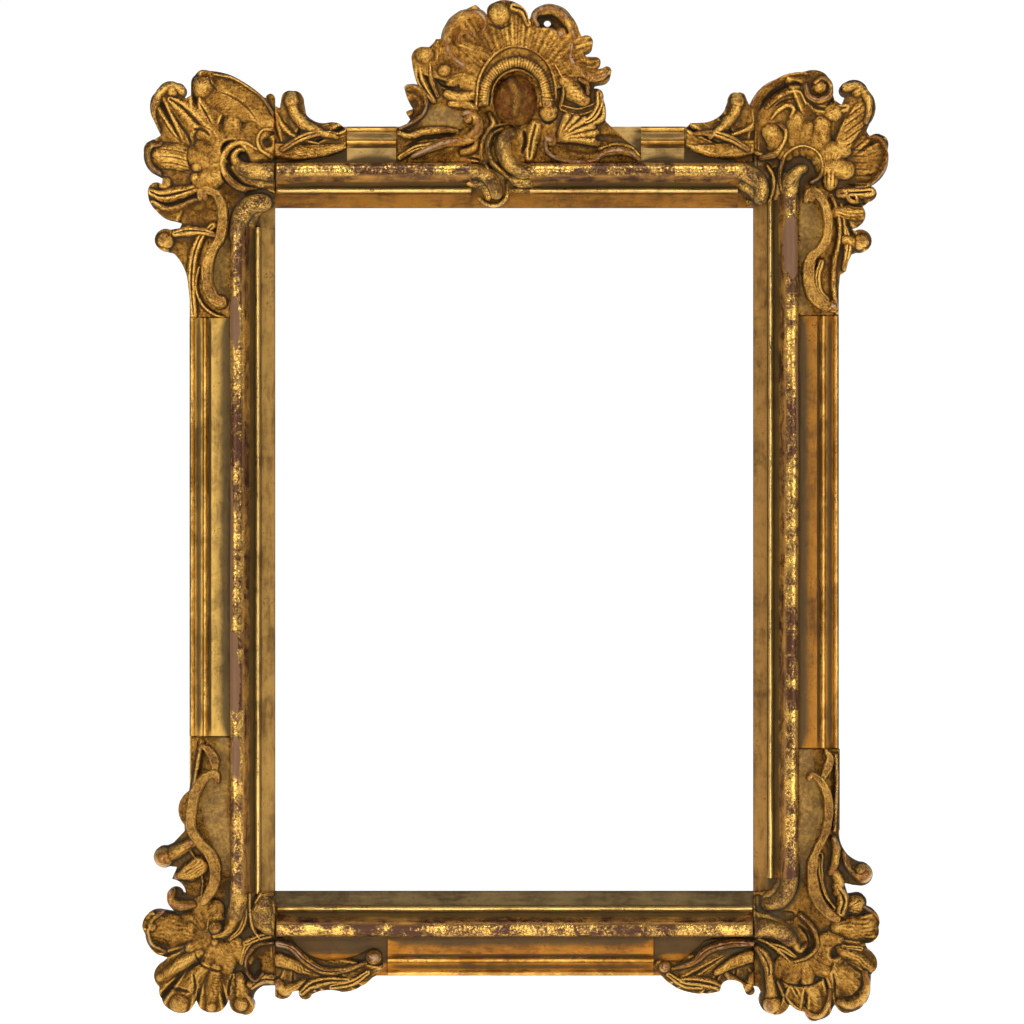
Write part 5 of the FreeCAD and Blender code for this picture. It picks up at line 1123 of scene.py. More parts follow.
def crest_board():
    relief = Relief(CREST, box_of(CREST_BOARD_PX), BOARD_GROUND, BOARD_SEED)
    relief.outline(CREST_BOARD_PX)
    relief.draw(CREST_BOARD_STROKES_PX)
    relief.tool_marks(CREST_FOCUS_PX, *BOARD_MARKS)
    relief.roughen(*BOARD_GRAIN)
    return relief.build("crest_board_carving", CARVING_BACK)


ARCH_FLUTES = 42
ARCH_TURNS = (176, 364)
ARCH_CENTRE_PX = (516.5, 100)
ARCH_FLUTE_REACH_PX = (26, 34, 43)
ARCH_FLUTE_WIDTHS_PX = (1.5, 3.0, 2.0)
ARCH_FLUTE_DEPTH = 1.5


def crest_arch():
    """Outer rim, sloping band, half-round roll cut by gouge strokes and the inner rim round the egg."""
    relief = Relief(CREST, box_of(CREST_ARCH_PX), ARCH_GROUND, ARCH_SEED)
    relief.outline(CREST_ARCH_PX)
    relief.draw(CREST_ARCH_STROKES_PX)
    for turn in np.radians(np.linspace(*ARCH_TURNS, ARCH_FLUTES)):
        way = np.array((math.cos(turn), math.sin(turn)))
        ends = [np.array(ARCH_CENTRE_PX) + reach * way for reach in ARCH_FLUTE_REACH_PX]
        relief.cut(ends, ARCH_FLUTE_WIDTHS_PX, ARCH_FLUTE_DEPTH)
    relief.roughen(*ARCH_GRAIN)
    return relief.build("crest_arch_carving", ARCH_BACK, SCROLL_ROUNDING)


EGG_BOX_PX = (490, 70, 545, 133)
EGG_PX = (516, 101.3, 22)
EGG_STRETCH = 26 / 22
EGG_DOME = CABOCHON_TOP - 1.5
EGG_CREST_PX = (((512, 84), (517, 98), (515, 114)), (9, 13, 8))
EGG_CREST_LOW = 36
EGG_CREST_WEAR_AND_HIGHLIGHT = 0.7
EGG_ROUNDING = 0.6


def crest_cabochon():
    """The egg: a dome with a rubbed crest along its middle, whose bright finish is wear and a painted
    highlight.
    """
    relief = Relief(CREST, EGG_BOX_PX, BOARD_GROUND, EGG_SEED)
    relief.ball(*EGG_PX, BOARD_GROUND, EGG_DOME, EGG_STRETCH, 90, extend=True)
    relief.band(*EGG_CREST_PX, EGG_CREST_LOW, CABOCHON_TOP, finish=EGG_CREST_WEAR_AND_HIGHLIGHT)
    relief.roughen(*EGG_GRAIN)
    return relief.build("crest_cabochon_carving", ARCH_BACK, EGG_ROUNDING)


# Members: a grid across the moulding and along the member, with a front and a back height

SIGHT_FLAT = 12.5
SIGHT_QUIRK = 1.2
SIGHT_BEAD = 5.0
ROLL_WIDTH = 23.0
RIDGE_QUIRK = 2.0
RIDGE = 6.0
HOLLOW = 7.0
OUTER_BEAD = 5.5
STILE_FRIEZE = 18.8
TOP_FRIEZE = 14.8
BOTTOM_FRIEZE = 17.8
SIGHT_EDGE_HEIGHT = 16.5
SIGHT_FLAT_HEIGHT = 19.0
MOULDING_HEIGHT = 21.0
FRIEZE_HEIGHT = 21.5
QUIRK_HEIGHT = 20.0
ROLL_RADIUS = 8.3
BEAD_RISE = 3.4
COVE_SINK = -1.6
RIDGE_RISE = 3.0
HOLLOW_SINK = -2.4
LAP_DEPTH = 10.0
LAP_REACH = 68.0
REBATE_WIDTH = 8.0
BEAD_IN = SIGHT_FLAT + SIGHT_QUIRK
ROLL_IN = BEAD_IN + SIGHT_BEAD
ROLL_OUT = ROLL_IN + ROLL_WIDTH
OUTER_BANDS = RIDGE_QUIRK + RIDGE + HOLLOW + OUTER_BEAD
TOP_WIDTH = ROLL_OUT + TOP_FRIEZE + OUTER_BANDS
BOTTOM_WIDTH = ROLL_OUT + BOTTOM_FRIEZE + OUTER_BANDS
SIGHT_KEPT = 12.4
ROW_STEP = 3.0
SPLIT = 0.001

# Waviness of the surface: size, number of the pattern and amount
SWELLS = ((37, 0, 0.22), (11, 1, 0.10))

FLAT_WAVE_SHARE = 0.35
EDGE_KEPT = 0.3
CLEAR_OF_STOPS = 0.5
CHIP_SIZE = 6
CHIP_LEAST = 0.72
CHIP_DEPTH = 3.2
CHIP_PATTERN = 5
SHIFT_SIZE = 45
SHIFT = 0.35
SHIFT_PATTERN = 2
SHIFT_START = ROLL_IN - 3
SHIFT_END = ROLL_OUT + 2
DIP_BLUR = 3
DIP_SHARE = 0.5
DIP_DEPTH = -2
BARE_REACH = 1.5
MERGE_DISTANCE = 2e-6
LEAST_EDGE = 1e-7

# The section's small steps: how far its points stand off from its bands and drop below their heights
SIGHT_EDGE_ROUND = 0.6
SIGHT_EDGE_DROP = 1
QUIRK_LEAN = 0.3
QUIRK_DROP = 0.6
BEAD_FOOT_DROP = 0.4
BEAD_DROPS = (1, 0.6)
COVE_STEP = 0.4
COVE_DROP = 0.8
SLOPE_TURN = 35
ROLL_FOOT_DROP = 4
ROLL_FOOT_STEP = 0.4
ROLL_WALL_STEP = 0.2
FRIEZE_STEP = 0.2
RIDGE_LIFT = 0.4
HOLLOW_DROP = 0.3
OUTER_DROPS = (0.5, 1.5)
FLAT_SHARES = (0.25, 0.5, 0.75, 1.0)
FRIEZE_SHARES = (0.04, 0.3, 0.6, 0.97)
ARC_POINTS = 7
HOLLOW_POINTS = 8
BEAD_POINTS = 9
ROLL_POINTS = 19


def arc_run(a, b, rise, finish, count):
    """Points of an arc between two places, standing rise above or below its chord."""
    return [(a[0] + (b[0] - a[0]) * k, a[1] + (b[1] - a[1]) * k + rise * 4 * k * (1 - k), finish)
            for k in np.linspace(0, 1, count)]


def inner_bands():
    """The section from the opening to the roll: sight flat and bead."""
    rise = SIGHT_FLAT_HEIGHT - SIGHT_EDGE_HEIGHT
    bead_start = (BEAD_IN, MOULDING_HEIGHT - BEAD_DROPS[0])
    bead_end = (ROLL_IN, MOULDING_HEIGHT - BEAD_DROPS[1])
    return [(0, SIGHT_EDGE_HEIGHT - SIGHT_EDGE_DROP, MATTE),
            (SIGHT_EDGE_ROUND, SIGHT_EDGE_HEIGHT, MATTE),
            *[(SIGHT_FLAT * k, SIGHT_EDGE_HEIGHT + rise * k, MATTE) for k in FLAT_SHARES],
            (SIGHT_FLAT + QUIRK_LEAN, SIGHT_FLAT_HEIGHT - QUIRK_DROP, MATTE),
            (BEAD_IN, SIGHT_FLAT_HEIGHT - BEAD_FOOT_DROP, BRIGHT),
            *arc_run(bead_start, bead_end, BEAD_RISE, BRIGHT, BEAD_POINTS)]


def roll_band():
    """The section of the roll: its hollow slope, then the half-round with its top and outer side."""
    axis = ROLL_HEIGHT - ROLL_RADIUS
    middle = ROLL_OUT - ROLL_RADIUS
    turns = np.radians(np.linspace(180 - SLOPE_TURN, 0, ROLL_POINTS))
    arc = [(middle + ROLL_RADIUS * math.cos(t), axis + ROLL_RADIUS * math.sin(t), BURNISHED) for t in turns]
    slope_start = (ROLL_IN + COVE_STEP, MOULDING_HEIGHT - COVE_DROP)
    return [*arc_run(slope_start, arc[0][:2], COVE_SINK, BURNISHED, ARC_POINTS), *arc[1:],
            (ROLL_OUT - ROLL_FOOT_STEP, axis - ROLL_FOOT_DROP, BURNISHED)]


def outer_bands(frieze):
    """The section beyond the roll: flat, ridge, hollow and outer bead, down to the back."""
    flat_end = ROLL_OUT + frieze
    ridge_in = flat_end + RIDGE_QUIRK
    ridge_out = ridge_in + RIDGE
    bead_in = ridge_out + HOLLOW
    outer = bead_in + OUTER_BEAD
    bead_start = (bead_in + FRIEZE_STEP, MOULDING_HEIGHT - OUTER_DROPS[0])
    bead_end = (outer, MOULDING_HEIGHT - OUTER_DROPS[1])
    return [(ROLL_OUT - ROLL_WALL_STEP, FRIEZE_HEIGHT - QUIRK_DROP, MATTE),
            *[(ROLL_OUT + frieze * k, FRIEZE_HEIGHT, MATTE) for k in FRIEZE_SHARES],
            (flat_end + FRIEZE_STEP, QUIRK_HEIGHT, MATTE), (ridge_in - QUIRK_LEAN, QUIRK_HEIGHT, MATTE),
            *arc_run((ridge_in, MOULDING_HEIGHT), (ridge_out, MOULDING_HEIGHT + RIDGE_LIFT), RIDGE_RISE,
                     BRIGHT, BEAD_POINTS),
            *arc_run((ridge_out + FRIEZE_STEP, MOULDING_HEIGHT), (bead_in, MOULDING_HEIGHT - HOLLOW_DROP),
                     HOLLOW_SINK, MATTE, HOLLOW_POINTS),
            *arc_run(bead_start, bead_end, RIDGE_RISE, BRIGHT, BEAD_POINTS), (outer, 0.0, MATTE)]


def moulding(frieze):
    """The moulding's section from the opening outwards: place, height and finish of each point."""
    return inner_bands() + roll_band() + outer_bands(frieze)


def with_cuts(points, places):
    """Adds a double point to the section at each place where the back steps."""
    points = list(points)
    for place in places:
        for index in range(len(points) - 1):
            (a, low, finish), (b, high, _) = points[index], points[index + 1]
            if a < place <= b:
                height = low + (high - low) * (place - a) / (b - a)
                pair = [(place - SPLIT, height, finish), (place + SPLIT, height, finish)]
                points[index + 1:index + 1] = pair
                break
    return points


def member_rows(length, runs, stops):
    """Places along a member: even steps, and a double row wherever its bands or its back stop."""
    stops = sorted({s for run in runs for s in run} | set(stops))
    stops = [s for s in stops if 0 < s < length]
    rows = set(np.arange(0, length, ROW_STEP).tolist()) | {0.0, length}
    rows = [r for r in rows if all(abs(r - s) > CLEAR_OF_STOPS for s in stops)]
    return np.array(sorted(rows + [s - SPLIT for s in stops] + [s + SPLIT for s in stops]))


def closed_grid(name, top, low):
    """A mesh between a front and a back grid of points, closed round its edge."""
    count = top[..., 0].size
    number = np.arange(count).reshape(top.shape[:2])
    corners = (number[:-1, :-1], number[1:, :-1], number[1:, 1:], number[:-1, 1:])
    quads = np.stack(corners, -1).reshape(-1, 4)
    loop = np.concatenate([number[0, :], number[1:, -1], number[-1, -2::-1], number[-2:0:-1, 0]])
    following = np.roll(loop, -1)
    walls = np.stack([loop, following, following + count, loop + count], -1)
    faces = np.vstack([quads, quads[:, ::-1] + count, walls])
    mesh = bpy.data.meshes.new(name)
    mesh.from_pydata(np.vstack([top.reshape(-1, 3), low.reshape(-1, 3)]).tolist(), [], faces.tolist())
    return mesh


def within(along, runs):
    return np.any([(along > a) & (along < b) for a, b in runs], axis=0)


def front_height(section, finish, across, along, carries, seed):
    """Height of the front: the section where its bands are carried, a little wavy and with chipped edges."""
    wave = sum(lattice_noise(along, across, size, seed + k) * amount for size, k, amount in SWELLS)
    bump = np.where(section > FRIEZE_HEIGHT + 1, 1.0, FLAT_WAVE_SHARE)
    inner = (across > EDGE_KEPT) & (across < across[0, -1] - EDGE_KEPT)
    height = np.where(carries, section, GROUND) + np.where(carries & inner, wave * bump, 0)
    chips = lattice_noise(along, across, CHIP_SIZE, seed + CHIP_PATTERN) - CHIP_LEAST
    height -= np.where((finish == BRIGHT) & carries, np.clip(chips, 0, 1) * CHIP_DEPTH, 0)
    height[:, -1] = 0
    return height


def bare_field(across, along, bare_spots):
    """1 in the middle of each place where the gilding has gone, falling to 0 round it."""
    bare = np.zeros(across.shape)
    for (out_at, along_at), (half_out, half_along) in bare_spots:
        reach = np.hypot((across - out_at) / half_out, (along - along_at) / half_along)
        bare = np.maximum(bare, np.clip(BARE_REACH - reach, 0, 1))
    return bare


def member(name, frieze, length, place, roll_run, outer_run, back_of, tongues=(), seed=0, bare_spots=()):
    """One moulded length. place turns (out, along, height) into metres; roll_run and outer_run are the
    stretches (start, end) that carry the inner and the outer bands; back_of gives the back's depth."""
    out, section, finish = np.array(with_cuts(moulding(frieze), (REBATE_WIDTH, LAP_REACH))).T
    rows = member_rows(length, (*roll_run, *outer_run), back_of.stops)
    along, across = np.meshgrid(rows, out, indexing="ij")
    carries = np.where(out <= ROLL_OUT, within(along, roll_run), within(along, outer_run))
    if len(roll_run) > 1:
        carries |= (out < SIGHT_KEPT) & (along > roll_run[0][0]) & (along < roll_run[-1][1])
    height = front_height(section, finish, across, along, carries, seed)
    shift = lattice_noise(along, across * 0, SHIFT_SIZE, seed + SHIFT_PATTERN) * SHIFT
    shift = np.where((across > SHIFT_START) & (across < SHIFT_END) & carries, shift, 0)
    back = back_of(across, along)
    mesh = closed_grid(name, place(across + shift, along, height), place(across, along, back))
    finishes = np.where(carries, finish, MATTE).ravel()
    # How far each point lies below its surroundings; the moulding shader paints dirt and shade where this is
    # large.
    hollow = np.clip((blur(height, DIP_BLUR) - height) * DIP_SHARE, -1, 1).ravel()
    bare = bare_field(across, along, bare_spots).ravel()
    wood = np.ones(height.size)
    put_attribute(mesh, "finish", np.r_[finishes, PAINTED * wood])
    put_attribute(mesh, "coarse", np.r_[DIP_DEPTH * hollow, WALL_VALUES["coarse"] * wood])
    put_attribute(mesh, "across", np.r_[across.ravel(), across.ravel()])
    put_attribute(mesh, "bare", np.r_[bare, 0 * wood])
    work = bmesh.new()
    work.from_mesh(mesh)
    add_tongues(work, place, tongues)
    bmesh.ops.remove_doubles(work, verts=work.verts[:], dist=MERGE_DISTANCE)
    bmesh.ops.dissolve_degenerate(work, edges=work.edges[:], dist=LEAST_EDGE)
    bmesh.ops.recalc_face_normals(work, faces=work.faces[:])
    work.to_mesh(mesh)
    work.free()
    return finish_piece(name, mesh)


def add_tongues(work, place, tongues):
    """Flat tongues at a rail's ends: each is a list of (out, along) corners."""
    dips = work.verts.layers.float["coarse"]
    finish = work.verts.layers.float["finish"]
    for corners in tongues:
        faces = []
        for height in (0.0, LAP_DEPTH):
            spots = [place(np.array(a), np.array(b), np.array(height)) for a, b in corners]
            faces.append([work.verts.new(spot.tolist()) for spot in spots])
            for vert in faces[-1]:
                vert[dips] = WALL_VALUES["coarse"]
                vert[finish] = PAINTED
        work.faces.new(faces[0])
        work.faces.new(faces[1][::-1])
        for k in range(len(corners)):
            m = (k + 1) % len(corners)
            work.faces.new((faces[0][m], faces[0][k], faces[1][k], faces[1][m]))


class StileBack:
    """Depth of a stile's back: laps for the rails at both ends and the rebate between them."""

    def __init__(self, foot, head, length):
        self.foot = foot
        self.head = length - head
        self.stops = (foot - REBATE_WIDTH, foot, self.head, self.head + REBATE_WIDTH)

    def __call__(self, across, along):
        lap = (across < LAP_REACH) & ((along < self.foot) | (along > self.head))
        rebate = (across < REBATE_WIDTH) & (along > self.stops[0]) & (along < self.stops[3])
        return np.where(lap | rebate, LAP_DEPTH, 0.0)


class RailBack:
    """Depth of a rail's back: only the rebate."""

    stops = ()

    def __call__(self, across, along):
        return np.where(across < REBATE_WIDTH, LAP_DEPTH, 0.0)


def stile(name, side, roll_run_px, outer_run_px, anchors, seed, bare_px):
    """roll_run_px and outer_run_px are photograph heights: a lower stop and an upper one each. bare_px gives
    the middle and half size of each place where the gilding has gone."""
    length = 2 * SIGHT_HALF_HEIGHT + TOP_WIDTH + BOTTOM_WIDTH
    base = -SIGHT_HALF_HEIGHT - BOTTOM_WIDTH

    def place(out, along, height):
        return np.stack([side * (SIGHT_HALF_WIDTH + out) * MM + 0 * along, -height * MM + 0 * along,
                         (base + along) * MM + 0 * out], -1)

    def run(pair_px):
        return [anchor.z + (anchor.y_px - y_px) * PITCH - base for anchor, y_px in zip(anchors, pair_px)]

    head = anchors[1]
    bare_spots = [(((x_px - head.x_px) * PITCH * side, head.z + (head.y_px - y_px) * PITCH - base),
                   (half_x_px * PITCH, half_y_px * PITCH)) for x_px, y_px, half_x_px, half_y_px in bare_px]
    return member(name, STILE_FRIEZE, length, place, [run(roll_run_px)], [run(outer_run_px)],
                  StileBack(BOTTOM_WIDTH, TOP_WIDTH, length), seed=seed, bare_spots=bare_spots)


def rail(name, above, frieze, roll_runs_px, outer_runs_px, anchors, seed):
    """roll_runs_px and outer_runs_px are pairs of left and right stops in the photograph."""
    half = SIGHT_HALF_WIDTH
    width = ROLL_OUT + frieze + OUTER_BANDS

    def place(out, along, height):
        return np.stack([(along - half) * MM + 0 * out, -height * MM + 0 * along,
                         above * (SIGHT_HALF_HEIGHT + out) * MM + 0 * along], -1)

    def runs(pairs_px):
        middle = (anchors[0].x_px + anchors[1].x_px) / 2
        near = [[anchors[0] if x_px < middle else anchors[1] for x_px in pair] for pair in pairs_px]
        return [[anchor.x + (x_px - anchor.x_px) * PITCH + half for anchor, x_px in zip(ends, pair)]
                for ends, pair in zip(near, pairs_px)]

    tongues = []
    for end, way in ((0.0, -1), (2 * half, 1)):
        tongues.append([(0.0, end + way * REBATE_WIDTH), (REBATE_WIDTH, end + way * REBATE_WIDTH),
                        (REBATE_WIDTH, end), (width, end), (width, end + way * LAP_REACH),
                        (0.0, end + way * LAP_REACH)])
    return member(name, frieze, 2 * half, place, runs(roll_runs_px), runs(outer_runs_px), RailBack(),
                  tongues, seed)


# Materials

class Shader:
    """A material's node tree with short names for the nodes it uses."""

    def __init__(self, name):
        self.material = bpy.data.materials.new(name)
        self.material.use_nodes = True
        self.tree = self.material.node_tree
        self.surface = self.tree.nodes["Principled BSDF"]
        self.where = self.tree.nodes.new("ShaderNodeTexCoord").outputs["Object"]

    def put(self, socket, value):
        if isinstance(value, bpy.types.NodeSocket):
            self.tree.links.new(value, socket)
        else:
            socket.default_value = value

    def look(self, name, value):
        """Sets one of the surface's values."""
        self.put(self.surface.inputs[name], value)

    def attribute(self, name):
        node = self.tree.nodes.new("ShaderNodeAttribute")
        node.attribute_name = name
        return node.outputs["Fac"]

    def stretch(self, x, y, z):
        node = self.tree.nodes.new("ShaderNodeMapping")
        self.put(node.inputs["Vector"], self.where)
        node.inputs["Scale"].default_value = (x, y, z)
        return node.outputs["Vector"]

    def noise(self, scale, detail=3.0, roughness=0.55, distortion=0.0, vector=None):
        node = self.tree.nodes.new("ShaderNodeTexNoise")
        self.put(node.inputs["Vector"], vector or self.where)
        node.inputs["Scale"].default_value = scale
        node.inputs["Detail"].default_value = detail
        node.inputs["Roughness"].default_value = roughness
        node.inputs["Distortion"].default_value = distortion
        return node.outputs["Fac"]

    def math(self, kind, a, b=0.0):
        node = self.tree.nodes.new("ShaderNodeMath")
        node.operation = kind
        self.put(node.inputs[0], a)
        self.put(node.inputs[1], b)
        return node.outputs[0]

    def total(self, *terms):
        """A sum of terms, each a value or a tuple of factors, such as a value and its share."""
        terms = [self.product(*term) if isinstance(term, tuple) else term for term in terms]
        result = terms[0]
        for term in terms[1:]:
            result = self.math("ADD", result, term)
        return result

    def product(self, *values):
        result = values[0]
        for value in values[1:]:
            result = self.math("MULTIPLY", result, value)
        return result

    def without(self, value):
        return self.math("SUBTRACT", 1.0, value)

    def larger(self, a, b):
        return self.math("MAXIMUM", a, b)

    def centred(self, value):
        return self.math("SUBTRACT", value, 0.5)

    def step(self, value, low, high, start=0.0, end=1.0):
        """A soft step of value from low to high."""
        node = self.tree.nodes.new("ShaderNodeMapRange")
        node.interpolation_type = "SMOOTHSTEP"
        self.put(node.inputs["Value"], value)
        node.inputs["From Min"].default_value = low
        node.inputs["From Max"].default_value = high
        node.inputs["To Min"].default_value = start
        node.inputs["To Max"].default_value = end
        return node.outputs["Result"]

    def mix(self, share, a, b, blend="MIX"):
        node = self.tree.nodes.new("ShaderNodeMix")
        node.data_type = "RGBA"
        node.blend_type = blend
        self.put(node.inputs[0], share)
        self.put(node.inputs[6], a)
        self.put(node.inputs[7], b)
        return node.outputs[2]

    def leaf(self, axis, length):
        """A number from -1 to 1 that differs from one square of gold leaf to the next along an axis."""
        split = self.tree.nodes.new("ShaderNodeSeparateXYZ")
        self.put(split.inputs[0], self.where)
        index = self.math("FLOOR", self.math("DIVIDE", split.outputs[axis], length))
        return self.math("SINE", self.math("MULTIPLY", index, LEAF_CHANGE))

    def bump(self, height, depth, strength):
        node = self.tree.nodes.new("ShaderNodeBump")
        node.inputs["Distance"].default_value = depth
        node.inputs["Strength"].default_value = strength
        self.put(node.inputs["Height"], height)
        self.look("Normal", node.outputs["Normal"])


def colour(red, green, blue):
    return (red, green, blue, 1)


BRIGHT_GOLD = colour(0.86, 0.50, 0.11)
MID_GOLD = colour(0.37, 0.175, 0.029)
DARK_GOLD = colour(0.14, 0.06, 0.012)
# Darker golds for the bottom carvings, which paint the shade they stand in.
SHADED_GOLDS = (colour(0.60, 0.34, 0.075), colour(0.28, 0.13, 0.022), colour(0.09, 0.042, 0.010))
EGG_GOLDS = (MID_GOLD, DARK_GOLD, colour(0.05, 0.03, 0.010))
# Lighter gold for the inner bead: a painted highlight.
BEAD_HIGHLIGHT_GOLD = colour(0.95, 0.64, 0.20)
BOLE = colour(0.19, 0.050, 0.020)
DARK_BOLE = colour(0.066, 0.024, 0.010)
GESSO_AND_HIGHLIGHT = colour(0.55, 0.39, 0.23)
BARE_CLAY = colour(0.21, 0.105, 0.048)
PAINT = colour(0.46, 0.26, 0.055)
PAINT_SHADE = colour(0.20, 0.105, 0.03)
# Dark colours: dirt with painted shade in hollows, painted shade in grooves, and dirt with painted shade in
# the mouldings' dips.
DIRT_AND_SHADE = colour(0.105, 0.088, 0.052)
CREVICE_SHADE = colour(0.046, 0.031, 0.013)
WARM_DIRT_AND_SHADE = colour(0.088, 0.050, 0.013)
FLAT_SHADE = colour(0.34, 0.29, 0.22)
CLAY_SHADE = colour(0.5, 0.45, 0.45)
DULL_SHINE = 0.2
EGG_WEAR = 0.12
CLAY_METAL_LOSS = -0.6
METAL_SHARE = 0.9
LEAST_METAL = 0.12
LEAF_LENGTH = 0.076
LEAF_CHANGE = 2.3

# Patterns: scale, detail, roughness and distortion of each noise
CARVED_CLOUD = (38, 5, 0.68, 0.4)
CARVED_SPECK = (620, 5, 0.8)
CARVED_PATCH = (130, 5, 0.7, 0.5)
CARVED_GRAIN = (300, 4, 0.7, 0.3)
MOULDING_CLOUD = (13, 4, 0.65)
MOULDING_SPECK = (480, 6, 0.8)
MOULDING_STREAK = (170, 6, 0.75, 0.3)
BLOTCH = (55, 6, 0.7, 0.6)
RAGGED = (150, 5, 0.7)
TARNISH = (180, 5, 0.65)
PITS = (900, 3, 0.6)
WOOD_GRAIN = (70, 6, 0.6, 0.8)

# Scales of the streaks along a member, and of the wood's grain along X, Y and Z
STREAK_SHARE = 0.16
WOOD_STRETCH = (6, 6, 1)


# Soft steps of the carved gilding: where each starts and ends, then its two values where they aren't 0 and 1
CARVED_STEPS = {"mid gold": (0.30, 0.56), "bright gold": (0.53, 0.88), "high": (1.5, 7.0),
                "clay": (0.50, 0.64), "painted": (-0.2, -0.7), "paint": (0.8, 1.2),
                "dust_and_shade": (-2.2, 0.9, 0.85, 0.0), "crevice_shade": (-1.0, 0.30, 0.88, 0.0),
                "clean metal": (0.2, 0.95, 0.95, 0.15), "metal on gesso": (0, 0.7, 1.0, 0.1),
                "roughness": (0, 1, 0.17, 0.66)}
BOLE_STEP = (0.77, 0.91)
BOLE_MOST = 0.8
GESSO_STEP = (0.99, 1.07)
GESSO_MOST = 0.55

# Shares of the patterns and of the form in the carved gilding's tones; the form's shares paint shade in dips
# and a highlight on what stands out
SHADE_AND_TONE_SHARES = {"fine": 0.6, "grain": 0.9, "coarse": 0.05}
WORN_SHARES = {"high": 0.36, "speck": 0.35}
CLAY_SHARES = {"speck": 0.60, "blotch": 0.55}
DUST_AND_SHADE_SHARES = {"coarse": 0.5, "patch": 2.2}
CREVICE_SHADE_PATCH = 1.2
ROUGH_SHARES = {"grain": 0.22, "painted": 0.25}
BUMP_GRAIN = 1.6
CARVED_BUMP = (0.0010, 1.0)

# The same for the mouldings; the places across the moulding are millimetres
MOULDING_STEPS = {"burnished": (0.8, 1.0), "bead start": (0.2, 0.5), "bead end": (0.55, 0.8, 1.0, 0.0),
                  "inner": (54, 58, 1.0, 0.0), "lit": (0.46, 0.68), "bead specks": (1.04, 1.22, 0.0, 0.9),
                  "beyond roll": (14, 30), "flat tone": (0.36, 0.66), "flat specks": (1.12, 1.26, 0.0, 0.85),
                  "clay": (0.47, 0.61), "slope tone": (0.4, 0.75), "slope": (27.5, 31.5),
                  "gone": (0.46, 0.54), "dirt_and_shade": (-0.8, 0.30, 0.92, 0.0), "gone metal": (0, 1, 1, 0),
                  "dirty metal": (0, 0.9, 1, 0.2)}
BAND_SHARES = {"streak": 0.55, "patch": 0.55, "cloud": 0.6}
ROLL_CLAY_SHARES = {"speck": 0.60, "patch": 0.55, "leaf": 0.03}
GONE_SHARES = {"patch": 1.3, "ragged": 0.8}
INNER_BEAD_HIGHLIGHT = 0.12
DIRT_AND_SHADE_PATCH = 0.7
MOULDING_ROUGHNESS = 0.60
SMOOTHER = {"burnished": -0.42, "beads": -0.34}
SPECK_ROUGHNESS = 0.12
BUMP_SHARES = {"streak": 1.2, "gone": -0.8}
MOULDING_BUMP = (0.0005, 0.5)


def carved_gold_with_painted_shade(shader, form, pattern, golds):
    """Gold in three tones: painted shade in small dips, a painted highlight on what stands out."""
    # The fine and coarse attributes paint shade and highlight into the gold; cloud and grain vary it at
    # random.
    tone = shader.total((form["fine"], SHADE_AND_TONE_SHARES["fine"]), pattern["cloud"],
                        (shader.centred(pattern["grain"]), SHADE_AND_TONE_SHARES["grain"]),
                        (form["coarse"], SHADE_AND_TONE_SHARES["coarse"]))
    bright, mid, dark = golds
    gold = shader.mix(shader.step(tone, *CARVED_STEPS["mid gold"]), dark, mid)
    return shader.mix(shader.step(tone, *CARVED_STEPS["bright gold"]), gold, bright)


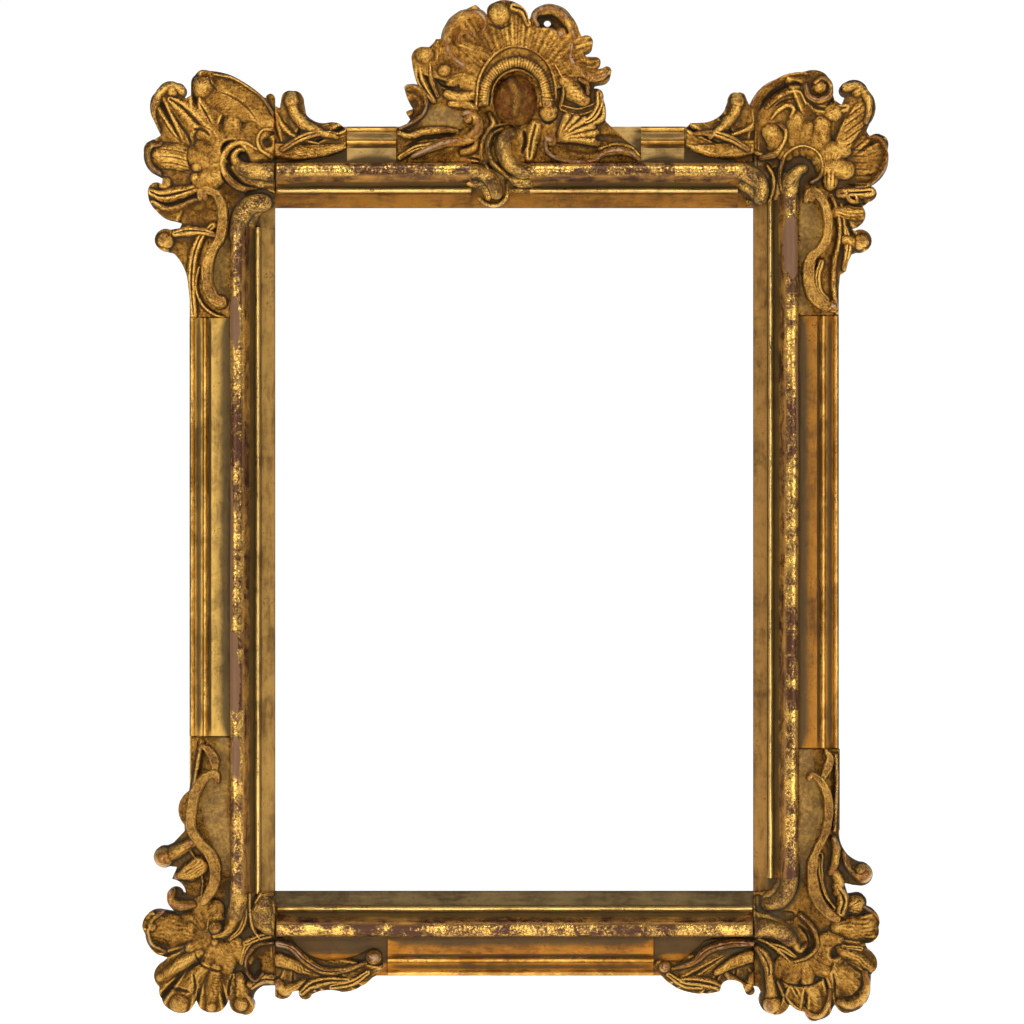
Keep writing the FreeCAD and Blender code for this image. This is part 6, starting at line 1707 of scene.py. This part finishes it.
def carved_gilding(name, wear=0.0, golds=(BRIGHT_GOLD, MID_GOLD, DARK_GOLD)):
    """Old water gilding on carved wood: gold rubbed through to red bole and gesso on what stands out, the
    gesso also a painted pale highlight; gold toned with painted shade in dips and a painted highlight on
    raised parts; dirt and painted shade in the hollows, painted shade in the grooves; and burnished speckled
    gold where the finish attribute asks for it."""
    shader = Shader(name)
    form = {key: shader.attribute(key) for key in ("fine", "coarse", "groove", "finish")}
    pattern = {"cloud": shader.noise(*CARVED_CLOUD), "speck": shader.noise(*CARVED_SPECK),
               "patch": shader.noise(*CARVED_PATCH), "grain": shader.noise(*CARVED_GRAIN),
               "blotch": shader.noise(*BLOTCH)}

    def step(value, key):
        return shader.step(value, *CARVED_STEPS[key])

    burnished = shader.larger(form["finish"], 0.0)
    high = shader.product(step(form["coarse"], "high"), shader.without(burnished))
    worn = shader.total((high, WORN_SHARES["high"]), pattern["patch"],
                        (pattern["speck"], WORN_SHARES["speck"]))
    bole = shader.step(worn, BOLE_STEP[0] - wear, BOLE_STEP[1] - wear, 0.0, BOLE_MOST)
    shown = shader.mix(bole, carved_gold_with_painted_shade(shader, form, pattern, golds), BOLE)
    # Gesso on the highest, most rubbed places: wear through the gilding, and also a painted pale highlight
    # on ridges and knobs.
    bare = shader.step(worn, GESSO_STEP[0] - wear, GESSO_STEP[1] - wear, 0.0, GESSO_MOST)
    shown = shader.mix(bare, shown, GESSO_AND_HIGHLIGHT)
    clay = step(shader.total((pattern["speck"], CLAY_SHARES["speck"]),
                             (pattern["blotch"], CLAY_SHARES["blotch"])), "clay")
    shown = shader.mix(burnished, shown, shader.mix(clay, golds[0], DARK_BOLE))
    painted = step(form["finish"], "painted")
    paint_tone = step(shader.total(pattern["cloud"], pattern["grain"]), "paint")
    shown = shader.mix(painted, shown, shader.mix(paint_tone, PAINT_SHADE, PAINT))
    # Dirt in random patches, and painted shade where the surface sinks below its surroundings.
    dust_and_shade = step(shader.total((form["coarse"], DUST_AND_SHADE_SHARES["coarse"]),
                             (pattern["patch"], DUST_AND_SHADE_SHARES["patch"])), "dust_and_shade")
    # Painted shade: near-black in the grooves, where shade falls between the carved forms.
    crevice_shade = step(shader.total(form["groove"], (pattern["patch"], CREVICE_SHADE_PATCH)), "crevice_shade")
    shown = shader.mix(dust_and_shade, shown, DIRT_AND_SHADE)
    shader.look("Base Color", shader.mix(crevice_shade, shown, CREVICE_SHADE))
    dirt_and_shade = shader.larger(dust_and_shade, crevice_shade)
    metal = shader.product(step(dirt_and_shade, "clean metal"), step(bare, "metal on gesso"))
    metal = shader.total(metal, (clay, burnished, CLAY_METAL_LOSS))
    shader.look("Metallic", shader.product(metal, shader.without(painted)))
    shader.look("Specular IOR Level", DULL_SHINE)
    shader.look("Roughness", shader.total(step(dirt_and_shade, "roughness"), (pattern["grain"], ROUGH_SHARES["grain"]),
                                          (painted, ROUGH_SHARES["painted"])))
    shader.bump(shader.total(pattern["speck"], (pattern["grain"], BUMP_GRAIN)), *CARVED_BUMP)
    return shader.material


class MouldingShader(Shader):
    """The mouldings' patterns and attributes; along is the axis that the member runs along, 0 or 2."""

    def __init__(self, name, along):
        super().__init__(name)
        stretch = [1.0, 1.0, 1.0]
        stretch[along] = STREAK_SHARE
        self.speck = self.noise(*MOULDING_SPECK)
        self.streak = self.noise(*MOULDING_STREAK, self.stretch(*stretch))
        self.patch = self.noise(*BLOTCH)
        self.cloud = self.noise(*MOULDING_CLOUD)
        self.ragged = self.noise(*RAGGED)
        self.leaf_change = self.leaf(along, LEAF_LENGTH)
        self.across = self.attribute("across")
        self.tone = self.total((self.streak, BAND_SHARES["streak"]), (self.patch, BAND_SHARES["patch"]),
                               (self.centred(self.cloud), BAND_SHARES["cloud"]))

    def rise(self, value, key):
        return self.step(value, *MOULDING_STEPS[key])

    def bead_gold(self):
        """The bright bands: golden, the inner one lighter with a painted highlight, with specks of clay."""
        inner = self.rise(self.across, "inner")
        lit = self.mix(inner, BRIGHT_GOLD, BEAD_HIGHLIGHT_GOLD)
        gold = self.mix(self.rise(self.total(self.tone, (inner, INNER_BEAD_HIGHLIGHT)), "lit"), MID_GOLD, lit)
        return self.mix(self.rise(self.total(self.speck, self.streak), "bead specks"), gold, DARK_BOLE)

    def flat_paint(self, sight_paint, frieze_paint):
        """The painted flats, one colour beside the opening and another beyond the roll."""
        paint = self.mix(self.rise(self.across, "beyond roll"), sight_paint, frieze_paint)
        shade = self.mix(1.0, paint, FLAT_SHADE, "MULTIPLY")
        flats = self.mix(self.rise(self.tone, "flat tone"), shade, paint)
        return self.mix(self.rise(self.total(self.speck, self.patch), "flat specks"), flats, DARK_BOLE)

    def rolled_gold_with_shaded_slope(self, clay):
        """The burnished roll, and the darker slope at its inner side, which is painted shade."""
        # Painted shade: the inner slope, which faces away from the lights, gets dark bole and mid gold in
        # place of bright gold.
        slope = self.mix(self.rise(self.tone, "slope tone"), DARK_BOLE, MID_GOLD)
        return self.mix(self.rise(self.across, "slope"), slope, self.mix(clay, BRIGHT_GOLD, DARK_BOLE))

    def bare_places(self):
        """1 where the gilding has come off, with ragged borders."""
        gone = self.total(self.attribute("bare"), (self.centred(self.patch), GONE_SHARES["patch"]),
                          (self.centred(self.ragged), GONE_SHARES["ragged"]))
        return self.rise(gone, "gone")

    def bare_clay(self):
        return self.mix(self.streak, self.mix(1.0, BARE_CLAY, CLAY_SHADE, "MULTIPLY"), BARE_CLAY)


def moulding_gilding(name, along, sight_paint, frieze_paint):
    """The mouldings: burnished roll speckled with clay, bright beads and painted flats, told apart by the
    finish attribute."""
    shader = MouldingShader(name, along)
    finish = shader.attribute("finish")
    burnished = shader.rise(finish, "burnished")
    beads = shader.product(shader.rise(finish, "bead start"), shader.rise(finish, "bead end"))
    clay = shader.rise(shader.total((shader.speck, ROLL_CLAY_SHARES["speck"]),
                                    (shader.patch, ROLL_CLAY_SHARES["patch"]),
                                    (shader.leaf_change, ROLL_CLAY_SHARES["leaf"])), "clay")
    flats = shader.flat_paint(sight_paint, frieze_paint)
    shown = shader.mix(burnished, shader.mix(beads, flats, shader.bead_gold()), shader.rolled_gold_with_shaded_slope(clay))
    gone = shader.bare_places()
    shown = shader.mix(gone, shown, shader.bare_clay())
    # Dirt and painted shade: the moulding's dips and quirks get a dark brown where shade falls in them.
    dirt_and_shade = shader.rise(shader.total(shader.attribute("coarse"), (shader.patch, DIRT_AND_SHADE_PATCH)), "dirt_and_shade")
    shader.look("Base Color", shader.mix(dirt_and_shade, shown, shader.mix(shader.streak, CREVICE_SHADE, WARM_DIRT_AND_SHADE)))
    metal = shader.total((shader.larger(beads, burnished), METAL_SHARE), (clay, burnished, CLAY_METAL_LOSS))
    metal = shader.larger(metal, LEAST_METAL)
    shader.look("Metallic", shader.product(metal, shader.rise(gone, "gone metal"),
                                           shader.rise(dirt_and_shade, "dirty metal")))
    shader.look("Specular IOR Level", DULL_SHINE)
    shader.look("Roughness", shader.total(MOULDING_ROUGHNESS, (burnished, SMOOTHER["burnished"]),
                                          (beads, SMOOTHER["beads"]), (shader.speck, SPECK_ROUGHNESS)))
    shader.bump(shader.total(shader.speck, (shader.streak, BUMP_SHARES["streak"]),
                             (gone, BUMP_SHARES["gone"])), *MOULDING_BUMP)
    return shader.material


TARNISH_STEP = (0.38, 0.66)
TARNISH_DULLS = (0.3, 0.7)
TARNISH_ROUGHNESS = 0.2
HARDWARE_METAL = 0.95
PIT_BUMP = (0.0002, 0.5)
GRAIN_STEP = (0.35, 0.68)
WOOD_ROUGHNESS = 0.75
WOOD_BUMP = (0.0003, 0.6)


def bare_metal(name, low, high, roughness):
    """Hardware: aged metal with small pits and darker tarnish."""
    shader = Shader(name)
    tarnish = shader.noise(*TARNISH)
    shader.look("Base Color", shader.mix(shader.step(tarnish, *TARNISH_STEP), low, high))
    shader.look("Metallic", HARDWARE_METAL)
    dull = roughness + TARNISH_ROUGHNESS
    shader.look("Roughness", shader.step(tarnish, *TARNISH_DULLS, dull, roughness))
    shader.bump(shader.noise(*PITS), *PIT_BUMP)
    return shader.material


def bare_wood(name, low, high):
    shader = Shader(name)
    grain = shader.noise(*WOOD_GRAIN, shader.stretch(*WOOD_STRETCH))
    shader.look("Base Color", shader.mix(shader.step(grain, *GRAIN_STEP), low, high))
    shader.look("Roughness", WOOD_ROUGHNESS)
    shader.bump(grain, *WOOD_BUMP)
    return shader.material


CARVED = carved_gilding("carved_gilding")
SHADED_LOWER_GILDING = carved_gilding("shaded_lower_gilding", golds=SHADED_GOLDS)
EGG = carved_gilding("egg_gilding", EGG_WEAR, EGG_GOLDS)
# Each side has its own copy of the moulding gilding with paints of other tones: the paint's own colour plus
# the light and shade each side gets, the bottom's sight flat darkest.
LEFT_MOULDING = moulding_gilding("left_moulding_gilding", 2, colour(0.36, 0.20, 0.045),
                                 colour(0.66, 0.39, 0.085))
RIGHT_MOULDING = moulding_gilding("right_moulding_gilding", 2, colour(0.30, 0.15, 0.030),
                                  colour(0.40, 0.16, 0.014))
TOP_MOULDING = moulding_gilding("top_moulding_gilding", 0, colour(0.30, 0.12, 0.010),
                                colour(0.52, 0.32, 0.10))
BOTTOM_MOULDING = moulding_gilding("bottom_moulding_gilding", 0, colour(0.13, 0.085, 0.028),
                                   colour(0.50, 0.19, 0.012))
PEG_WOOD = bare_wood("peg_wood", colour(0.20, 0.12, 0.06), colour(0.38, 0.25, 0.13))
STEEL = bare_metal("hanger_steel", colour(0.20, 0.19, 0.18), colour(0.52, 0.51, 0.49), 0.32)
BRASS = bare_metal("aged_brass", colour(0.40, 0.26, 0.10), colour(0.74, 0.55, 0.25), 0.28)
SCREW_STEEL = bare_metal("screw_steel", colour(0.24, 0.22, 0.20), colour(0.58, 0.56, 0.52), 0.30)


def gild(piece, material, node):
    """Gives a piece its material in a slot of its own, and hides the node it stands for."""
    piece.data.materials.clear()
    piece.data.materials.append(material)
    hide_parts(node)


def carved(node):
    """The carvings at the bottom get darker golds: painted shade, as the light falls from above."""
    return SHADED_LOWER_GILDING if "bottom" in node else CARVED


# Members: where the bands of each stop in the photograph, and where gilding has gone from the stiles

LEFT_BARE_PX = ((237, 322, 6, 26), (236, 676, 6, 48), (238, 757, 5, 20), (232.5, 560, 2.5, 90))
RIGHT_BARE_PX = ((791, 246, 8.5, 29), (798, 400, 2, 60))
LEFT_STOPS_PX = ((893.5, 227.5), (736.0, 318.0))
RIGHT_STOPS_PX = ((878.0, 195.0), (748.0, 316.0))
TOP_STOPS_PX = (((275.6, 472.0), (531.0, 738.5)), ((348.0, 397.0), (642.0, 685.0)))
BOTTOM_STOPS_PX = (((272.8, 753.4),), ((386.0, 653.0),))

gild(stile("left_stile_moulding", -1, *LEFT_STOPS_PX, (BOTTOM_LEFT, TOP_LEFT), 1, LEFT_BARE_PX),
     LEFT_MOULDING, "left_stile")
gild(stile("right_stile_moulding", 1, *RIGHT_STOPS_PX, (BOTTOM_RIGHT, TOP_RIGHT), 2, RIGHT_BARE_PX),
     RIGHT_MOULDING, "right_stile")
gild(rail("top_rail_moulding", 1, TOP_FRIEZE, *TOP_STOPS_PX, (TOP_LEFT, TOP_RIGHT), 3),
     TOP_MOULDING, "top_rail")
gild(rail("bottom_rail_moulding", -1, BOTTOM_FRIEZE, *BOTTOM_STOPS_PX, (BOTTOM_LEFT, BOTTOM_RIGHT), 4),
     BOTTOM_MOULDING, "bottom_rail")

# Shells: name, anchor, tables, depth of the tool marks and number of the random patterns
SHELLS = (
    ("top_left_shell", TOP_LEFT, TOP_LEFT_OUTLINE_PX, TOP_LEFT_BED_PX, TOP_LEFT_FOCUS_PX, TOP_LEFT_TIPS_PX,
     TOP_LEFT_STROKES_PX, 0.20, 10),
    ("top_right_shell", TOP_RIGHT, TOP_RIGHT_OUTLINE_PX, TOP_RIGHT_BED_PX, TOP_RIGHT_FOCUS_PX,
     TOP_RIGHT_TIPS_PX, TOP_RIGHT_STROKES_PX, 0.22, 20),
    ("bottom_left_shell", BOTTOM_LEFT, BOTTOM_LEFT_OUTLINE_PX, BOTTOM_LEFT_BED_PX, BOTTOM_LEFT_FOCUS_PX,
     BOTTOM_LEFT_TIPS_PX, BOTTOM_LEFT_STROKES_PX, 0.22, 30),
    ("bottom_right_shell", BOTTOM_RIGHT, BOTTOM_RIGHT_OUTLINE_PX, BOTTOM_RIGHT_BED_PX, BOTTOM_RIGHT_FOCUS_PX,
     BOTTOM_RIGHT_TIPS_PX, BOTTOM_RIGHT_STROKES_PX, 0.22, 40),
)
SIDE_SCROLL_TOPS = (SCROLL_TOP, SCROLL_TOP - 2)
SIDE_SCROLL_FINISH = 0.45
SIDE_SCROLL_SEED = 60
SPRAY_SEED = 70
CREST_SCROLL_TOPS = (KNOB_TOP, KNOB_TOP - 2, KNOB_TOP - 4)
CREST_SCROLL_LOW = BOARD - 3
CREST_SCROLL_SEED = 80
ROLL_END_BACK = GROUND - 0.5
ROLL_END_SEED = 90

for name, *form in SHELLS:
    gild(shell(name, *form), carved(name), name)
for number, (name, *form) in enumerate(SIDE_SCROLLS_PX):
    gild(scroll_piece(name, *form, FIELD, FIELD - 2, SIDE_SCROLL_TOPS, SIDE_SCROLL_SEED + number,
                      finish=SIDE_SCROLL_FINISH, section=channel), carved(name), name)
for number, (name, *form) in enumerate(SPRAYS_PX):
    gild(spray(name, *form, SPRAY_SEED + number), carved(name), name)
gild(crest_board(), CARVED, "crest_board")
gild(crest_arch(), CARVED, "crest_arch")
gild(crest_cabochon(), EGG, "crest_cabochon")
for number, (name, paths, eyes) in enumerate(CREST_SCROLLS_PX):
    gild(scroll_piece(name, CREST, paths, eyes, CREST_SCROLL_LOW, ARCH_BACK, CREST_SCROLL_TOPS,
                      CREST_SCROLL_SEED + number, grooves=2), CARVED, name)
for number, (name, paths, eyes) in enumerate(ROLL_ENDS_PX):
    gild(scroll_piece(name, CREST, paths, eyes, GROUND, ROLL_END_BACK, ROLL_END_TOPS[name],
                      ROLL_END_SEED + number, finish=BURNISHED), CARVED, name)

FINISHES = {"corner_pegs": PEG_WOOD, "left_hanger_strap": STEEL, "right_hanger_strap": STEEL,
            "left_hanger_ring": BRASS, "right_hanger_ring": BRASS, "hanger_screws": SCREW_STEEL,
            "upper_left_turn_button": BRASS, "upper_right_turn_button": BRASS,
            "lower_left_turn_button": BRASS, "lower_right_turn_button": BRASS,
            "turn_button_screws": SCREW_STEEL}
for node, material in FINISHES.items():
    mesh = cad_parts[node].data
    mesh.materials.clear()
    mesh.materials.append(material)


# Studio: pale floor and surroundings, soft lights beside the frame, and the camera

FLOOR_HEIGHT = -0.449
FLOOR_REACH = 1.6
FLOOR_PAINT = {"Base Color": colour(0.93, 0.93, 0.93), "Roughness": 0.9, "Emission Color": colour(1, 1, 1),
               "Emission Strength": 0.86}
ROOM_FRONT = 0.05
ROOM_BACK = 0.30
ROOM_TURN = (-0.2, 0.9)
BACKDROP = 1.05
CAMERA_DISTANCE = 4.0
FRAME_PLANE = -0.02
VIEW_WIDTH = 0.9728
SENSOR = 36.0
TARGET_X = -0.0021
TARGET_Z = 0.0357

# Soft lights: place, target, width, height and power
LIGHTS = {"left_light": ((-0.74, -0.42, 0.05), (-0.27, 0, 0), 0.20, 1.1, 3.8),
          "right_light": ((0.74, -0.42, 0.05), (0.27, 0, 0), 0.20, 1.1, 3.8),
          "top_light": ((0, -0.50, 0.98), (0, 0, 0.40), 0.9, 0.22, 5),
          "low_light": ((0, -0.42, -0.42), (0, 0, -0.36), 0.8, 0.14, 0.8),
          "front_light": ((-0.35, -2.4, 0.62), (0, 0, 0.05), 0.30, 0.30, 13)}


def studio_floor():
    mesh = bpy.data.meshes.new("studio_floor")
    corners = [(-1, -1), (1, -1), (1, 1), (-1, 1)]
    points = [(x * FLOOR_REACH, y * FLOOR_REACH, FLOOR_HEIGHT) for x, y in corners]
    mesh.from_pydata(points, [], [(0, 1, 2, 3)])
    floor = bpy.data.objects.new("studio_floor", mesh)
    bpy.context.scene.collection.objects.link(floor)
    shader = Shader("studio_floor_paint")
    for name, value in FLOOR_PAINT.items():
        shader.look(name, value)
    mesh.materials.append(shader.material)


def soft_light(name, spot, target, width, height, power):
    lamp = bpy.data.lights.new(name, "AREA")
    lamp.shape = "RECTANGLE"
    lamp.size = width
    lamp.size_y = height
    lamp.energy = power
    light = bpy.data.objects.new(name, lamp)
    light.location = spot
    light.rotation_euler = (Vector(target) - Vector(spot)).to_track_quat("-Z", "Y").to_euler()
    light.visible_camera = False
    bpy.context.scene.collection.objects.link(light)


def surroundings():
    """A white backdrop for the eye; what the frame reflects is a dim room, lighter behind it."""
    world = bpy.data.worlds.new("studio")
    world.use_nodes = True
    tree = world.node_tree
    where = tree.nodes.new("ShaderNodeTexCoord")
    split = tree.nodes.new("ShaderNodeSeparateXYZ")
    tree.links.new(where.outputs["Generated"], split.inputs[0])
    room = tree.nodes.new("ShaderNodeMapRange")
    room.interpolation_type = "SMOOTHSTEP"
    room.inputs["From Min"].default_value, room.inputs["From Max"].default_value = ROOM_TURN
    room.inputs["To Min"].default_value = ROOM_FRONT
    room.inputs["To Max"].default_value = ROOM_BACK
    tree.links.new(split.outputs["Y"], room.inputs["Value"])
    path = tree.nodes.new("ShaderNodeLightPath")
    seen = tree.nodes.new("ShaderNodeMix")
    seen.inputs[3].default_value = BACKDROP
    tree.links.new(path.outputs["Is Camera Ray"], seen.inputs[0])
    tree.links.new(room.outputs["Result"], seen.inputs[2])
    tree.links.new(seen.outputs[0], tree.nodes["Background"].inputs["Strength"])
    tree.nodes["Background"].inputs["Color"].default_value = colour(1, 1, 1)
    bpy.context.scene.world = world


def camera():
    lens = bpy.data.cameras.new("photo_camera")
    lens.sensor_width = SENSOR
    lens.lens = SENSOR * CAMERA_DISTANCE / VIEW_WIDTH
    eye = bpy.data.objects.new("photo_camera", lens)
    eye.location = (TARGET_X, FRAME_PLANE - CAMERA_DISTANCE, TARGET_Z)
    eye.rotation_euler = (math.radians(90), 0, 0)
    bpy.context.scene.collection.objects.link(eye)
    bpy.context.scene.camera = eye


studio_floor()
surroundings()
for name, form in LIGHTS.items():
    soft_light(name, *form)
camera()
bpy.context.scene.view_settings.view_transform = "Standard"

bpy.context.view_layer.update()
